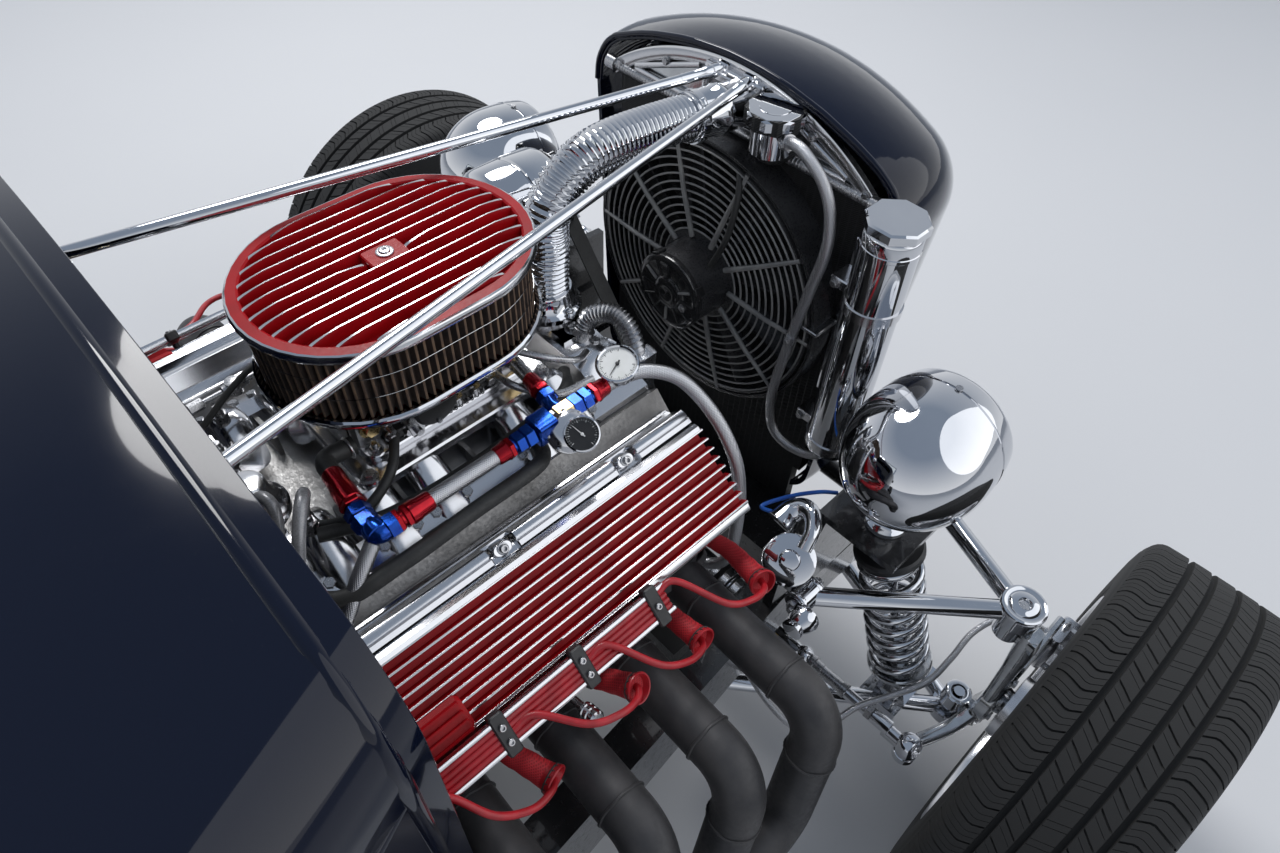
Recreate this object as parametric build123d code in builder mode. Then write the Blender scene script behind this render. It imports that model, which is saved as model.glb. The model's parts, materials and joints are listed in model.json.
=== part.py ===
"""A highboy hot rod roadster with an open V8, built as separate named pieces.

Millimetres, +Z up, the nose towards -Y and the car's left towards +X. The origin is on the ground,
on the centre line, halfway between the front of the front tyres and the rear bar.
Stations are distances behind the front axle line, turned into Y by the function at().
"""

import math
import os

from build123d import *

# Wheels and stance
wheelbase = 2690.0
rear_end_station = 3150.0
front_tyre_d = 614.0
front_tyre_w = 196.0
rear_tyre_d = 740.0
rear_tyre_w = 270.0
rim_bead_r = 191.0
front_track = 1500.0
rear_track = 1480.0
brake_disc_r = 132.0
spindle_r = 17.0
bearing_gap = 0.1

# Steering and front suspension
kingpin_x = 590.0
hub_reach = 56.0
lower_joint_z = 196.0
upper_joint_z = 500.0
lower_pivot_x = 300.0
lower_pivot_z = 225.0
lower_pivot_front = -70.0
lower_pivot_rear = 250.0
upper_pivot_x = 385.0
upper_pivot_front = -90.0
upper_pivot_rear = 180.0
arm_tube_r = 13.0
bush_r = 18.0
ball_r = 26.0
stud_r = 8.0
rack_station = 130.0
rack_z = 255.0
rack_rod_r = 11.0
rack_housing_r = 27.0
rack_half = 300.0
tie_joint_x = 395.0
steering_arm_z = 236.0
tie_gap = 0.3
coil_top = (418.0, 56.0, 522.0)
coil_foot = (512.0, 44.0, 258.0)
coil_r = 46.0
coil_wire_r = 6.0
tower_top_z = 560.0

# Frame
rail_top_z = 430.0
rail_w = 50.0
rail_depth = 150.0
rail_front_station = -150.0
rail_end_station = 2120.0
rail_reveal = 12.0
rear_rail_x = 365.0
kick_z = 560.0

# Body
wall = 36.0
cowl_front = 690.0
cowl_rear = 1100.0
firewall_station = 800.0
door_front = 1105.0
door_rear = 1685.0
door_gap = 5.0
sill_z = 490.0
cockpit_rear = 1880.0
cockpit_edge = 62.0
hinge_x = 541.0
hinge_r = 8.0
hinge_pin_r = 3.9
hinge_heights = (590.0, 880.0)
hinge_len = 46.0
hinge_gap = 0.3
lid_front = 2010.0
lid_hinge_x = 250.0
lid_hinge_z = 1030.0
lid_rear = 2790.0
lid_half = 400.0
shoulder_r = 85.0
tail_station = 3070.0
panel = 10.0

# Engine
crank_z = 450.0
bank_angle = 45.0
block_front = 245.0
block_len = 520.0
deck_height = 240.0
head_h = 90.0
head_w = 190.0
port_front = 330.0
port_pitch = 110.0
cover_len = 500.0
cover_w = 150.0
cover_h = 62.0
cover_fins = 7
fin_pitch = 11.5
fin_w = 4.0
fin_h = 9.0
carb_station = 460.0
carb_h = 60.0
carb_neck = 13.0
rail_x = 165.0
line_r = 8.0
filter_len = 300.0
filter_w = 225.0
filter_base_z = 862.0
filter_h = 85.0
lid_fins = 13
lid_t = 10.0

# Cooling and nose
radiator_front = -100.0
radiator_t = 60.0
radiator_half = 213.0
radiator_low_z = 395.0
radiator_high_z = 890.0
fan_z = 690.0
fan_r = 200.0
alternator = (148.0, 815.0)
shell_front = -190.0
shell_rear = -35.0
shell_wall = 7.0
shell_foot = 228.0
shell_belt = 264.0
arch_half = 225.0
arch_z = 903.0
arch_top_z = 984.0
plate_t = 5.0
neck = (-10.0, 946.0)
neck_r = 21.0
hose_r = 24.0
hose_foot_station = 275.0
tank_x = 268.0
tank_station = 2.0
tank_r = 34.0
lamp_x = 405.0
lamp_station = 62.0
lamp_z = 690.0
lamp_r = 88.0

# Screen, seat and controls
screen_foot = (1085.0, 1040.0)
screen_rake = 18.0
screen_w = 900.0
screen_h = 290.0
seat_half = 470.0
column_x = 300.0
column_foot = (812.0, 640.0)
column_head = (1330.0, 860.0)
steering_wheel_r = 188.0

front_axle_y = (front_tyre_d / 2 - rear_end_station) / 2


def at(x, station, z):
    """The point at this distance from the centre line, behind the front axle and above the ground."""
    return (x, front_axle_y + station, z)


def cross_plane(station):
    """A plane across the car at a station, local X to the car's left and local Y up."""
    return Plane.XZ.offset(-(front_axle_y + station))


def tube(points, radius, bend=0.0):
    """A round bar along straight runs, joined by tangent arcs of the bend radius."""
    with BuildPart() as bar:
        with BuildLine() as path:
            if bend and len(points) > 2:
                FilletPolyline(*points, radius=bend)
            else:
                Polyline(*points)
        start = path.line @ 0
        with BuildSketch(Plane(origin=start, z_dir=path.line % 0)):
            Circle(radius)
        sweep()
    return bar.part


def slab(x, stations, heights):
    """A box from x low to high, between two stations and two heights."""
    with BuildPart() as box:
        with Locations(at((x[0] + x[1]) / 2, sum(stations) / 2, sum(heights) / 2)):
            Box(x[1] - x[0], stations[1] - stations[0], heights[1] - heights[0])
    return box.part


def peg(centre, axis, radius, length):
    """A round peg centred on a point, along an axis."""
    with BuildPart() as pin:
        with Locations(Plane(origin=centre, z_dir=axis)):
            Cylinder(radius, length)
    return pin.part


def fused(*shapes):
    """Several shapes as one sub-part."""
    with BuildPart() as whole:
        for shape in shapes:
            add(shape)
    return whole.part


def both_sides(*shapes):
    """The shapes and their mirror images across the centre line, as one sub-part."""
    with BuildPart() as pair:
        for shape in shapes:
            add(shape)
        mirror(about=Plane.YZ)
    return pair.part


def on_side(shape, side):
    """The shape, which is modelled on the car's right, moved to the side asked for."""
    return shape if side < 0 else shape.mirror(Plane.YZ)


def hand_in(shape, label):
    """Labels a finished piece and writes its STEP file."""
    shape.label = label
    export_step(shape, f"parts/{label}.step")


os.makedirs("parts", exist_ok=True)

# Body form
# Columns: station, half width at the foot, half width at the belt, height of the shoulder line, height of the crown
body_sections = (
    (cowl_front, 385, 402, 1002, 1052),
    (1250, 535, 555, 1008, 1062),
    (1900, 575, 592, 985, 1030),
    (2550, 540, 555, 870, 915),
    (tail_station, 440, 452, 600, 640),
)


def body_form(inset):
    """The closed outer shape of the body, or its cavity where inset is the wall."""
    with BuildPart() as form:
        for station, foot, belt, shoulder, crown in body_sections:
            with BuildSketch(cross_plane(station)) as section:
                with BuildLine():
                    low = (foot - inset, rail_top_z - 3 * inset)
                    high = (belt - inset, shoulder - inset)
                    Line((-low[0], low[1]), low)
                    Line(low, high)
                    ThreePointArc(high, (0, crown - inset), (-high[0], high[1]))
                    Line((-high[0], high[1]), (-low[0], low[1]))
                make_face()
                fillet(section.vertices().group_by(Axis.Y)[-1], shoulder_r - 0.8 * inset)
        loft()
    return form.part


outer_form = body_form(0.0)
cavity = body_form(wall)
lining = body_form(wall + 0.3)


def cockpit_cut():
    """The opening in the body's top, inside the rolled edge of the sides."""
    with BuildPart() as cut:
        with BuildSketch(Plane.XY.offset(700)) as plan:
            with BuildLine():
                nose_x = 530 - cockpit_edge
                tail_x = 590 - cockpit_edge
                Line(at(-nose_x, cowl_rear, 0)[:2], at(nose_x, cowl_rear, 0)[:2])
                Line(at(nose_x, cowl_rear, 0)[:2], at(tail_x, cockpit_rear, 0)[:2])
                Line(at(tail_x, cockpit_rear, 0)[:2], at(-tail_x, cockpit_rear, 0)[:2])
                Line(at(-tail_x, cockpit_rear, 0)[:2], at(-nose_x, cowl_rear, 0)[:2])
            make_face()
            fillet(plan.vertices().group_by(Axis.Y)[-1], 120)
        extrude(amount=600)
    return cut.part


def lid_tool(gap):
    """The lid's outline from the side, with ends square to the deck, as a bar across the car."""
    with BuildPart() as tool:
        with BuildSketch(Plane.YZ):
            with BuildLine():
                Polyline(
                    (front_axle_y + lid_front - gap, 1100),
                    (front_axle_y + lid_rear + gap + 55, 1100),
                    (front_axle_y + lid_rear + gap - 60, 760),
                    (front_axle_y + lid_front - gap - 35, 760),
                    close=True,
                )
            make_face()
        extrude(amount=lid_half + gap, both=True)
    return tool.part


with BuildPart() as skin:
    add(outer_form)
    with BuildPart(mode=Mode.PRIVATE) as hollow:
        add(cavity)
        add(slab((-700, 700), (0, tail_station - wall), (200, 1200)), mode=Mode.INTERSECT)
    add(hollow.part, mode=Mode.SUBTRACT)
    add(cockpit_cut(), mode=Mode.SUBTRACT)

door_box = slab((-700, -300), (door_front, door_rear), (sill_z + door_gap, 1100))
door_hole = slab((-700, -300), (cowl_rear, door_rear + door_gap), (sill_z, 1100))

door_hinge_station = cowl_rear + door_gap / 2
lid_hinge_station = lid_front - 11.5


def cowl_hinges():
    """The right door's two pins, each between two ears on the cowl."""
    ears = []
    for height in hinge_heights:
        ears.append(peg(at(-hinge_x, door_hinge_station, height), (0, 0, 1), hinge_pin_r, hinge_len + 24))
        for end in (-1, 1):
            middle = height + end * (hinge_len / 2 + hinge_gap + 6)
            ears.append(peg(at(-hinge_x, door_hinge_station, middle), (0, 0, 1), hinge_r, 12))
            ears.append(slab((-hinge_x - hinge_r, -500), (cowl_rear - 18, cowl_rear), (middle - 6, middle + 6)))
    with BuildPart() as pins:
        add(fused(*ears))
        add(cavity, mode=Mode.SUBTRACT)
    return pins.part


def body_lid_hinges():
    """The deck lid's two pins, each between two ears on the body."""
    ears = []
    for across in (-lid_hinge_x, lid_hinge_x):
        ears.append(peg(at(across, lid_hinge_station, lid_hinge_z), (1, 0, 0), hinge_pin_r, hinge_len + 24))
        for end in (-1, 1):
            middle = across + end * (hinge_len / 2 + hinge_gap + 6)
            ears.append(peg(at(middle, lid_hinge_station, lid_hinge_z), (1, 0, 0), hinge_r, 12))
            stations = (lid_hinge_station - 22, lid_hinge_station - 2.5)
            ears.append(slab((middle - 6, middle + 6), stations, (lid_hinge_z - 34, lid_hinge_z + hinge_r)))
    return fused(*ears)


# Cowl, with its firewall and dash
with BuildPart() as cowl:
    add(skin.part)
    add(slab((-700, 700), (cowl_front, cowl_rear), (300, 1200)), mode=Mode.INTERSECT)
    with BuildPart(mode=Mode.PRIVATE) as bulkheads:
        add(slab((-700, 700), (firewall_station, firewall_station + 8), (rail_top_z, 1100)))
        add(slab((-700, 700), (1062, 1074), (850, 1100)))
        add(body_form(wall - 2), mode=Mode.INTERSECT)
        add(slab((-200, 200), (firewall_station, firewall_station + 8), (300, 650)), mode=Mode.SUBTRACT)
    add(bulkheads.part)
    add(cowl_hinges())
    add(cowl_hinges().mirror(Plane.YZ))
hand_in(cowl.part, "cowl")

# Rear body with its sills
with BuildPart() as rear_body:
    add(skin.part)
    add(slab((-700, 700), (cowl_rear, tail_station + 10), (300, 1200)), mode=Mode.INTERSECT)
    add(door_hole, mode=Mode.SUBTRACT)
    add(door_hole.mirror(Plane.YZ), mode=Mode.SUBTRACT)
    with BuildPart(mode=Mode.PRIVATE) as lid_hole:
        add(lid_tool(door_gap))
        add(slab((-700, 700), (lid_front - 200, lid_rear + 200), (700, 1200)), mode=Mode.INTERSECT)
    add(lid_hole.part, mode=Mode.SUBTRACT)
    add(body_lid_hinges())
hand_in(rear_body.part, "rear_body")

def door_right():
    """The right door with its hinge barrels."""
    with BuildPart() as door:
        add(skin.part)
        add(door_box, mode=Mode.INTERSECT)
        for height in hinge_heights:
            heights = (height - hinge_len / 2, height + hinge_len / 2)
            add(slab((-hinge_x - hinge_r, -505), (door_front, door_front + 18), heights))
            add(peg(at(-hinge_x, door_hinge_station, height), (0, 0, 1), hinge_r, hinge_len))
            bore = hinge_pin_r + bearing_gap
            add(peg(at(-hinge_x, door_hinge_station, height), (0, 0, 1), bore, hinge_len), mode=Mode.SUBTRACT)
    return door.part


for side, label in ((-1, "door_right"), (1, "door_left")):
    hand_in(on_side(door_right(), side), label)

with BuildPart() as deck_lid:
    add(skin.part)
    add(lid_tool(0.0), mode=Mode.INTERSECT)
    for across in (-lid_hinge_x, lid_hinge_x):
        reach = (across - hinge_len / 2, across + hinge_len / 2)
        add(slab(reach, (lid_hinge_station + 2.5, lid_hinge_station + 24), (lid_hinge_z - 34, lid_hinge_z + hinge_r)))
        add(peg(at(across, lid_hinge_station, lid_hinge_z), (1, 0, 0), hinge_r, hinge_len))
        bore = hinge_pin_r + bearing_gap
        add(peg(at(across, lid_hinge_station, lid_hinge_z), (1, 0, 0), bore, hinge_len), mode=Mode.SUBTRACT)
hand_in(deck_lid.part, "deck_lid")

# Floor, tunnel, seat box and boot floor
with BuildPart() as floor:
    add(slab((-700, 700), (firewall_station + 8.3, 2150), (rail_top_z, rail_top_z + panel)))
    add(slab((-700, 700), (2150, 2150 + panel), (rail_top_z, kick_z + panel)))
    add(slab((-700, 700), (2150, 3020), (kick_z, kick_z + panel)))
    add(slab((-700, 700), (1890, 1890 + panel), (rail_top_z, 1000)))
    add(slab((-185, 185), (firewall_station + 8.3, 1300), (rail_top_z, 630)))
    add(slab((-80, 80), (1300, 2150), (rail_top_z, 500)))
    add(slab((-seat_half, seat_half), (1430, 1890), (rail_top_z, 504)))
    add(lining, mode=Mode.INTERSECT)
    add(slab((-175, 175), (firewall_station - 5, 1290), (rail_top_z - 5, 620)), mode=Mode.SUBTRACT)
    add(slab((-70, 70), (1280, 2140), (rail_top_z - 5, 490)), mode=Mode.SUBTRACT)
    for box_side in (-1, 1):
        low, high = sorted((box_side * 80, box_side * (seat_half - panel)))
        add(slab((low, high), (1440, 1880), (rail_top_z - 5, 494)), mode=Mode.SUBTRACT)
    add(slab((-25, 25), (1185, 1235), (600, 640)), mode=Mode.SUBTRACT)
hand_in(floor.part, "floor")


# Frame
def rail_pair():
    """The two main rails: the side outline cut by the plan outline."""
    with BuildPart() as rails:
        with BuildSketch(Plane.YZ):
            with BuildLine():
                Polyline(
                    (front_axle_y + rail_front_station, 385),
                    (front_axle_y + rail_front_station, 340),
                    (front_axle_y + 120, 325),
                    (front_axle_y + 560, rail_top_z - rail_depth),
                    (front_axle_y + rail_end_station, rail_top_z - rail_depth),
                    (front_axle_y + rail_end_station, rail_top_z),
                    (front_axle_y + 60, rail_top_z),
                    close=True,
                )
            make_face()
        extrude(amount=700, both=True)
        with BuildSketch(Plane.XY):
            with BuildLine():
                outline = [(330, rail_front_station), (345, 60)]
                outline += [(row[1] + rail_reveal, row[0]) for row in body_sections[:3]]
                outline += [(585, rail_end_station)]
                inner = [(x - rail_w, station) for x, station in reversed(outline)]
                Polyline(*[at(x, station, 0)[:2] for x, station in outline + inner], close=True)
            make_face()
            mirror(about=Plane.YZ)
        extrude(amount=1000, mode=Mode.INTERSECT)
    return rails.part


def kick_rails():
    """The rear rails, inside the body, that rise over the axle."""
    with BuildPart() as kick:
        with BuildSketch(Plane.YZ.offset(rear_rail_x - rail_w / 2)):
            with BuildLine():
                Polyline(
                    (front_axle_y + 2050, 300),
                    (front_axle_y + 2160, 300),
                    (front_axle_y + 2420, kick_z - 80),
                    (front_axle_y + 2860, kick_z - 80),
                    (front_axle_y + 2950, 400),
                    (front_axle_y + 3090, 400),
                    (front_axle_y + 3090, 425),
                    (front_axle_y + 2990, 425),
                    (front_axle_y + 2900, kick_z),
                    (front_axle_y + 2400, kick_z),
                    (front_axle_y + 2180, 400),
                    (front_axle_y + 2050, 400),
                    close=True,
                )
            make_face()
        extrude(amount=rail_w)
        mirror(about=Plane.YZ)
    return kick.part


def tower():
    """The right tower plate that carries the upper arm, the coil-over and the headlamp."""
    with BuildPart() as plate:
        with BuildSketch(Plane.YZ.offset(-352)):
            with BuildLine():
                Polyline(
                    (front_axle_y - 115, 400),
                    (front_axle_y + 200, 400),
                    (front_axle_y + 195, 515),
                    (front_axle_y + 125, 525),
                    (front_axle_y + 112, tower_top_z),
                    (front_axle_y + 10, tower_top_z),
                    (front_axle_y - 40, 520),
                    (front_axle_y - 115, 515),
                    close=True,
                )
            make_face()
        extrude(amount=14)
        add(slab((-455, -345), (10, 112), (tower_top_z - 12, tower_top_z)))
        add(slab((-352, -330), (-115, 200), (390, 410)))
    return plate.part


with BuildPart() as frame:
    add(rail_pair())
    add(kick_rails())
    add(slab((-560, 560), (2050, rail_end_station), (285, 335)))
    add(slab((-lower_pivot_x + 22, lower_pivot_x - 22), (-60, 60), (200, 300)))
    for frame_side in (-1, 1):
        low, high = sorted((frame_side * 278, frame_side * 342))
        add(slab((low, high), (-60, 60), (250, 345)))
        low, high = sorted((frame_side * 278, frame_side * 290))
        add(slab((low, high), (-100, 60), (200, 345)))
        add(slab((low, high), (225, 275), (200, 345)))
        low, high = sorted((frame_side * 278, frame_side * 345))
        add(slab((low, high), (60, 275), (310, 345)))
    add(tower())
    add(tower().mirror(Plane.YZ))
    add(slab((-510, 510), (1150, 1210), (285, 330)))
    add(slab((-380, 380), (2775, 2845), (500, kick_z)))
    add(tube([at(-325, -135, 327), at(325, -135, 327)], 16))
    add(slab((-180, 180), (-150, -120), (327, 345)))
    spreader = [at(-365, 3060, 414), at(-365, rear_end_station - 18, 414), at(365, rear_end_station - 18, 414)]
    add(tube(spreader + [at(365, 3060, 414)], 14, 40))
    add(slab((-150, 150), (rear_end_station - 6, rear_end_station), (404, 520)))
    with Locations(Plane(origin=at(0, rear_end_station - 3, 495), z_dir=(0, 1, 0), x_dir=(1, 0, 0))):
        with Locations((-89, 0), (89, 0)):
            Cylinder(3.5, 12, mode=Mode.SUBTRACT)
hand_in(frame.part, "frame")


# Front suspension
def lower_arm():
    """The right lower arm: two tubes, two bushes, the ball joint and the coil-over's seat."""
    joint = at(-kingpin_x, 0, lower_joint_z)
    parts = []
    for station in (lower_pivot_front, lower_pivot_rear):
        pivot = at(-lower_pivot_x - bush_r, station, lower_pivot_z)
        parts.append(tube([joint, pivot], arm_tube_r))
        parts.append(peg(pivot, (0, 1, 0), bush_r, 44))
        parts.append(peg(at(-lower_pivot_x, station, lower_pivot_z), (1, 0, 0), 8, 2 * 10 + 0.0))
    parts.append(peg(at(-kingpin_x, 0, lower_joint_z), (0, 0, 1), ball_r, 22))
    parts.append(peg(at(-kingpin_x, 0, lower_joint_z + 28), (0, 0, 1), stud_r, 56))
    parts.append(slab((-coil_foot[0] - 32, -coil_foot[0] + 32), (-24, 88), (200, 218)))
    return fused(*parts)


def upper_arm():
    """The right upper arm: two tubes, two bushes and the ball joint."""
    joint = at(-kingpin_x, 0, upper_joint_z)
    parts = []
    for station in (upper_pivot_front, upper_pivot_rear):
        pivot = at(-upper_pivot_x, station, upper_joint_z - 14)
        parts.append(tube([joint, pivot], arm_tube_r))
        parts.append(peg(pivot, (0, 1, 0), bush_r, 40))
        parts.append(peg(at(-upper_pivot_x + 10, station, upper_joint_z - 14), (1, 0, 0), 8, 20))
    parts.append(peg(at(-kingpin_x, 0, upper_joint_z), (0, 0, 1), ball_r, 26))
    parts.append(peg(at(-kingpin_x, 0, upper_joint_z - 28), (0, 0, 1), stud_r, 56))
    return fused(*parts)


with BuildPart() as control_arms:
    for arm in (lower_arm(), upper_arm()):
        add(arm)
        add(arm.mirror(Plane.YZ))
hand_in(control_arms.part, "control_arms")


def coil_over(top, foot, top_seat_z, foot_seat_z):
    """A damper inside its spring, on the right, between two level seats."""
    top_point, foot_point = Vector(*at(-top[0], top[1], top[2])), Vector(*at(-foot[0], foot[1], foot[2]))
    axis = top_point - foot_point
    along = axis.normalized()
    parts = [
        peg((top_point + foot_point) / 2, axis, 20, axis.length),
        peg(top_point - along * 8, axis, coil_r, 12),
        peg(foot_point + along * 30, axis, coil_r, 10),
        peg(Vector(top_point.X, top_point.Y, (top_seat_z + top_point.Z) / 2), (0, 0, 1), 12, top_seat_z - top_point.Z),
        peg(Vector(foot_point.X, foot_point.Y, (foot_seat_z + foot_point.Z) / 2), (0, 0, 1), 12, foot_point.Z - foot_seat_z),
    ]
    turns = 6
    low, high = 40, axis.length - 18
    for turn in range(turns):
        ring_at = foot_point + along * (low + (high - low) * (turn + 0.5) / turns)
        with BuildPart() as ring:
            with Locations(Plane(origin=ring_at, z_dir=axis)):
                Cylinder(coil_r, 2 * coil_wire_r)
        parts.append(ring.part)
    return fused(*parts)


with BuildPart() as coilovers:
    add(coil_over(coil_top, coil_foot, tower_top_z - 12, 218))
    mirror(about=Plane.YZ)
hand_in(coilovers.part, "front_coilovers")

# Steering rack, its rod with both tie rods, and the knuckles
with BuildPart() as steering_rack:
    with Locations(Plane(origin=at(0, rack_station, rack_z), z_dir=(1, 0, 0))):
        Cylinder(rack_housing_r, 2 * rack_half)
    for boot_side in (-1, 1):
        for fold in range(4):
            with Locations(Plane(origin=at(boot_side * (rack_half - 90 + 22 * fold), rack_station, rack_z), z_dir=(1, 0, 0))):
                Cylinder(rack_housing_r + 8, 12)
    add(slab((-150, 150), (60, rack_station), (rack_z - 15, rack_z + 15)))
    with Locations(Plane(origin=at(0, rack_station, rack_z), z_dir=(1, 0, 0))):
        Cylinder(rack_rod_r + bearing_gap, 2 * rack_half + 10, mode=Mode.SUBTRACT)
hand_in(steering_rack.part, "steering_rack")

with BuildPart() as tie_rods:
    with Locations(Plane(origin=at(0, rack_station, rack_z), z_dir=(1, 0, 0))):
        Cylinder(rack_rod_r, 2 * tie_joint_x)
    tie_z = steering_arm_z + 8 + tie_gap + 13
    for tie in (-1, 1):
        with Locations(at(tie * tie_joint_x, rack_station, rack_z)):
            Sphere(16)
        add(tube([at(tie * tie_joint_x, rack_station, rack_z), at(tie * (kingpin_x - 4), rack_station, tie_z)], 9))
        with Locations(at(tie * (kingpin_x - 4), rack_station, tie_z)):
            Cylinder(16, 26)
hand_in(tie_rods.part, "tie_rods")


def knuckle():
    """The right knuckle: two eyes, the upright, the spindle, the steering arm and the brake caliper."""
    eye_low_z = lower_joint_z + 11 + 18 + 8
    eye_high_z = upper_joint_z - 13 - 18 - 7
    wheel_z = front_tyre_d / 2
    out = -kingpin_x
    body = fused(
        peg(at(out, 0, eye_low_z), (0, 0, 1), 20, 36),
        peg(at(out, 0, eye_high_z), (0, 0, 1), 19, 36),
        slab((out - 44, out - 26), (-38, 38), (eye_low_z - 12, eye_high_z + 12)),
        slab((out - 34, out - 4), (-16, 16), (eye_low_z - 12, eye_low_z + 12)),
        slab((out - 34, out - 4), (-14, 14), (eye_high_z - 12, eye_high_z + 12)),
        peg(at(out - 94, 0, wheel_z), (1, 0, 0), spindle_r, 104),
        peg(at(out - 40, 0, wheel_z), (1, 0, 0), 42, 16),
        slab((out - 6, out + 14), (10, rack_station), (steering_arm_z - 8, steering_arm_z + 8)),
        peg(at(out + 4, rack_station, steering_arm_z), (0, 0, 1), 17, 16),
        slab((out - 50, out - 38), (-150, -30), (wheel_z - 40, wheel_z + 50)),
        slab((out - 106, out - 44), (-165, -100), (wheel_z - 40, wheel_z + 45)),
    )
    with BuildPart() as piece:
        add(body)
        with Locations(at(-kingpin_x, 0, lower_joint_z)):
            Cylinder(stud_r + bearing_gap, 120, mode=Mode.SUBTRACT)
        with Locations(at(-kingpin_x, 0, upper_joint_z)):
            Cylinder(stud_r + bearing_gap, 120, mode=Mode.SUBTRACT)
        add(slab((out - 90, out - 66), (-140, -60), (wheel_z - 70, wheel_z + 70)), mode=Mode.SUBTRACT)
    return piece.part


for side, label in ((-1, "knuckle_right"), (1, "knuckle_left")):
    hand_in(on_side(knuckle(), side), label)


# Wheels
def tyre(diameter, width, track, station):
    """The right tyre, plain outside its tread."""
    radius = diameter / 2
    half = width / 2
    with BuildPart() as ring:
        with BuildSketch(Plane(origin=at(-track / 2, station, radius), x_dir=(1, 0, 0), z_dir=(0, 1, 0))):
            with BuildLine():
                Polyline(
                    (-half + 12, rim_bead_r + 0.5),
                    (-half, rim_bead_r + 0.45 * (radius - rim_bead_r)),
                    (-half + 6, radius - 18),
                    (-half + 24, radius),
                    (half - 24, radius),
                    (half - 6, radius - 18),
                    (half, rim_bead_r + 0.45 * (radius - rim_bead_r)),
                    (half - 12, rim_bead_r + 0.5),
                    close=True,
                )
            make_face()
        revolve(axis=Axis(at(-track / 2, station, radius), (1, 0, 0)))
    return ring.part


def rim(diameter, width, track, station, hub_inner, spokes=5):
    """The right wheel: the barrel, five spokes, the hub with its bore, and the brake disc."""
    radius = diameter / 2
    half = width / 2
    centre = at(-track / 2, station, radius)
    with BuildPart() as wheel:
        with BuildSketch(Plane(origin=centre, x_dir=(1, 0, 0), z_dir=(0, 1, 0))):
            with BuildLine():
                Polyline(
                    (-half + 8, rim_bead_r + 12),
                    (-half + 8, rim_bead_r),
                    (half - 8, rim_bead_r),
                    (half - 8, rim_bead_r + 12),
                    (half - 2, rim_bead_r + 12),
                    (half - 2, rim_bead_r - 8),
                    (-half + 2, rim_bead_r - 8),
                    (-half + 2, rim_bead_r + 12),
                    close=True,
                )
            make_face()
        revolve(axis=Axis(centre, (1, 0, 0)))
        face_x = -track / 2 - half + 45
        spoke_len = rim_bead_r - 6
        for spoke in range(spokes):
            turn = Axis(centre, (1, 0, 0))
            with BuildPart(mode=Mode.PRIVATE) as bar:
                with Locations(at(face_x, station, radius + 0.5 * spoke_len)):
                    Box(30, 46, spoke_len)
            add(bar.part.rotate(turn, 360 / spokes * spoke))
        hub_len = abs(face_x - 15 + hub_inner)
        with Locations(Plane(origin=at(-hub_inner - hub_len / 2, station, radius), z_dir=(1, 0, 0))):
            Cylinder(52, hub_len)
        with Locations(Plane(origin=at(-hub_inner - 22, station, radius), z_dir=(1, 0, 0))):
            Cylinder(brake_disc_r, 12)
        with Locations(Plane(origin=at(face_x - 15, station, radius), z_dir=(-1, 0, 0))):
            with PolarLocations(38, spokes):
                Cylinder(9, 18)
            Cylinder(26, 24)
        with Locations(Plane(origin=at(-hub_inner, station, radius), z_dir=(1, 0, 0))):
            Cylinder(spindle_r + bearing_gap, 200, mode=Mode.SUBTRACT)
    return wheel.part


for place, diameter, width, track, station, hub_inner in (
    ("front", front_tyre_d, front_tyre_w, front_track, 0.0, kingpin_x + hub_reach),
    ("rear", rear_tyre_d, rear_tyre_w, rear_track, wheelbase, 612.0),
):
    for side, hand in ((-1, "right"), (1, "left")):
        hand_in(on_side(tyre(diameter, width, track, station), side), f"{place}_tyre_{hand}")
        hand_in(on_side(rim(diameter, width, track, station, hub_inner), side), f"{place}_wheel_{hand}")

# Rear axle and its links
axle_z = rear_tyre_d / 2
with BuildPart() as rear_axle:
    add(peg(at(0, wheelbase, axle_z), (1, 0, 0), 38, 1190))
    for axle_side in (-1, 1):
        add(peg(at(axle_side * 645, wheelbase, axle_z), (1, 0, 0), spindle_r, 110))
        add(peg(at(axle_side * 598, wheelbase, axle_z), (1, 0, 0), 60, 14))
    with Locations(at(0, wheelbase, axle_z)):
        Sphere(128)
    add(peg(at(0, wheelbase - 150, axle_z), (0, 1, 0), 45, 120))
    add(tube([at(0, wheelbase - 200, axle_z), at(0, 1292, 405)], 32))
    add(slab((-200, 200), (1280, 1291), (300, 500)), mode=Mode.SUBTRACT)
hand_in(rear_axle.part, "rear_axle")

with BuildPart() as rear_links:
    for link_side in (-1, 1):
        add(tube([at(link_side * 400, wheelbase, axle_z - 70), at(link_side * 400, 2090, 310 + 30)], 13))
        add(slab(sorted((link_side * 385, link_side * 415)), (wheelbase - 25, wheelbase + 25), (axle_z - 90, axle_z - 38.3)))
        add(tube([at(link_side * 300, wheelbase + 90, axle_z + 10), at(link_side * 300, wheelbase + 120, 520)], 30))
        add(slab(sorted((link_side * 280, link_side * 320)), (wheelbase + 30, wheelbase + 120), (axle_z - 20, axle_z + 20)))
    add(frame.part, mode=Mode.SUBTRACT)
    add(rear_axle.part, mode=Mode.SUBTRACT)
hand_in(rear_links.part, "rear_links")

# Engine
bank_axis = Vector(-math.sin(math.radians(bank_angle)), 0, math.cos(math.radians(bank_angle)))
engine_mid = block_front + block_len / 2


def bank_plane(height):
    """A plane on the right bank, square to its bores, local X along the car."""
    origin = Vector(*at(0, engine_mid, crank_z)) + bank_axis * height
    return Plane(origin=origin, x_dir=(0, 1, 0), z_dir=bank_axis)


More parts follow.
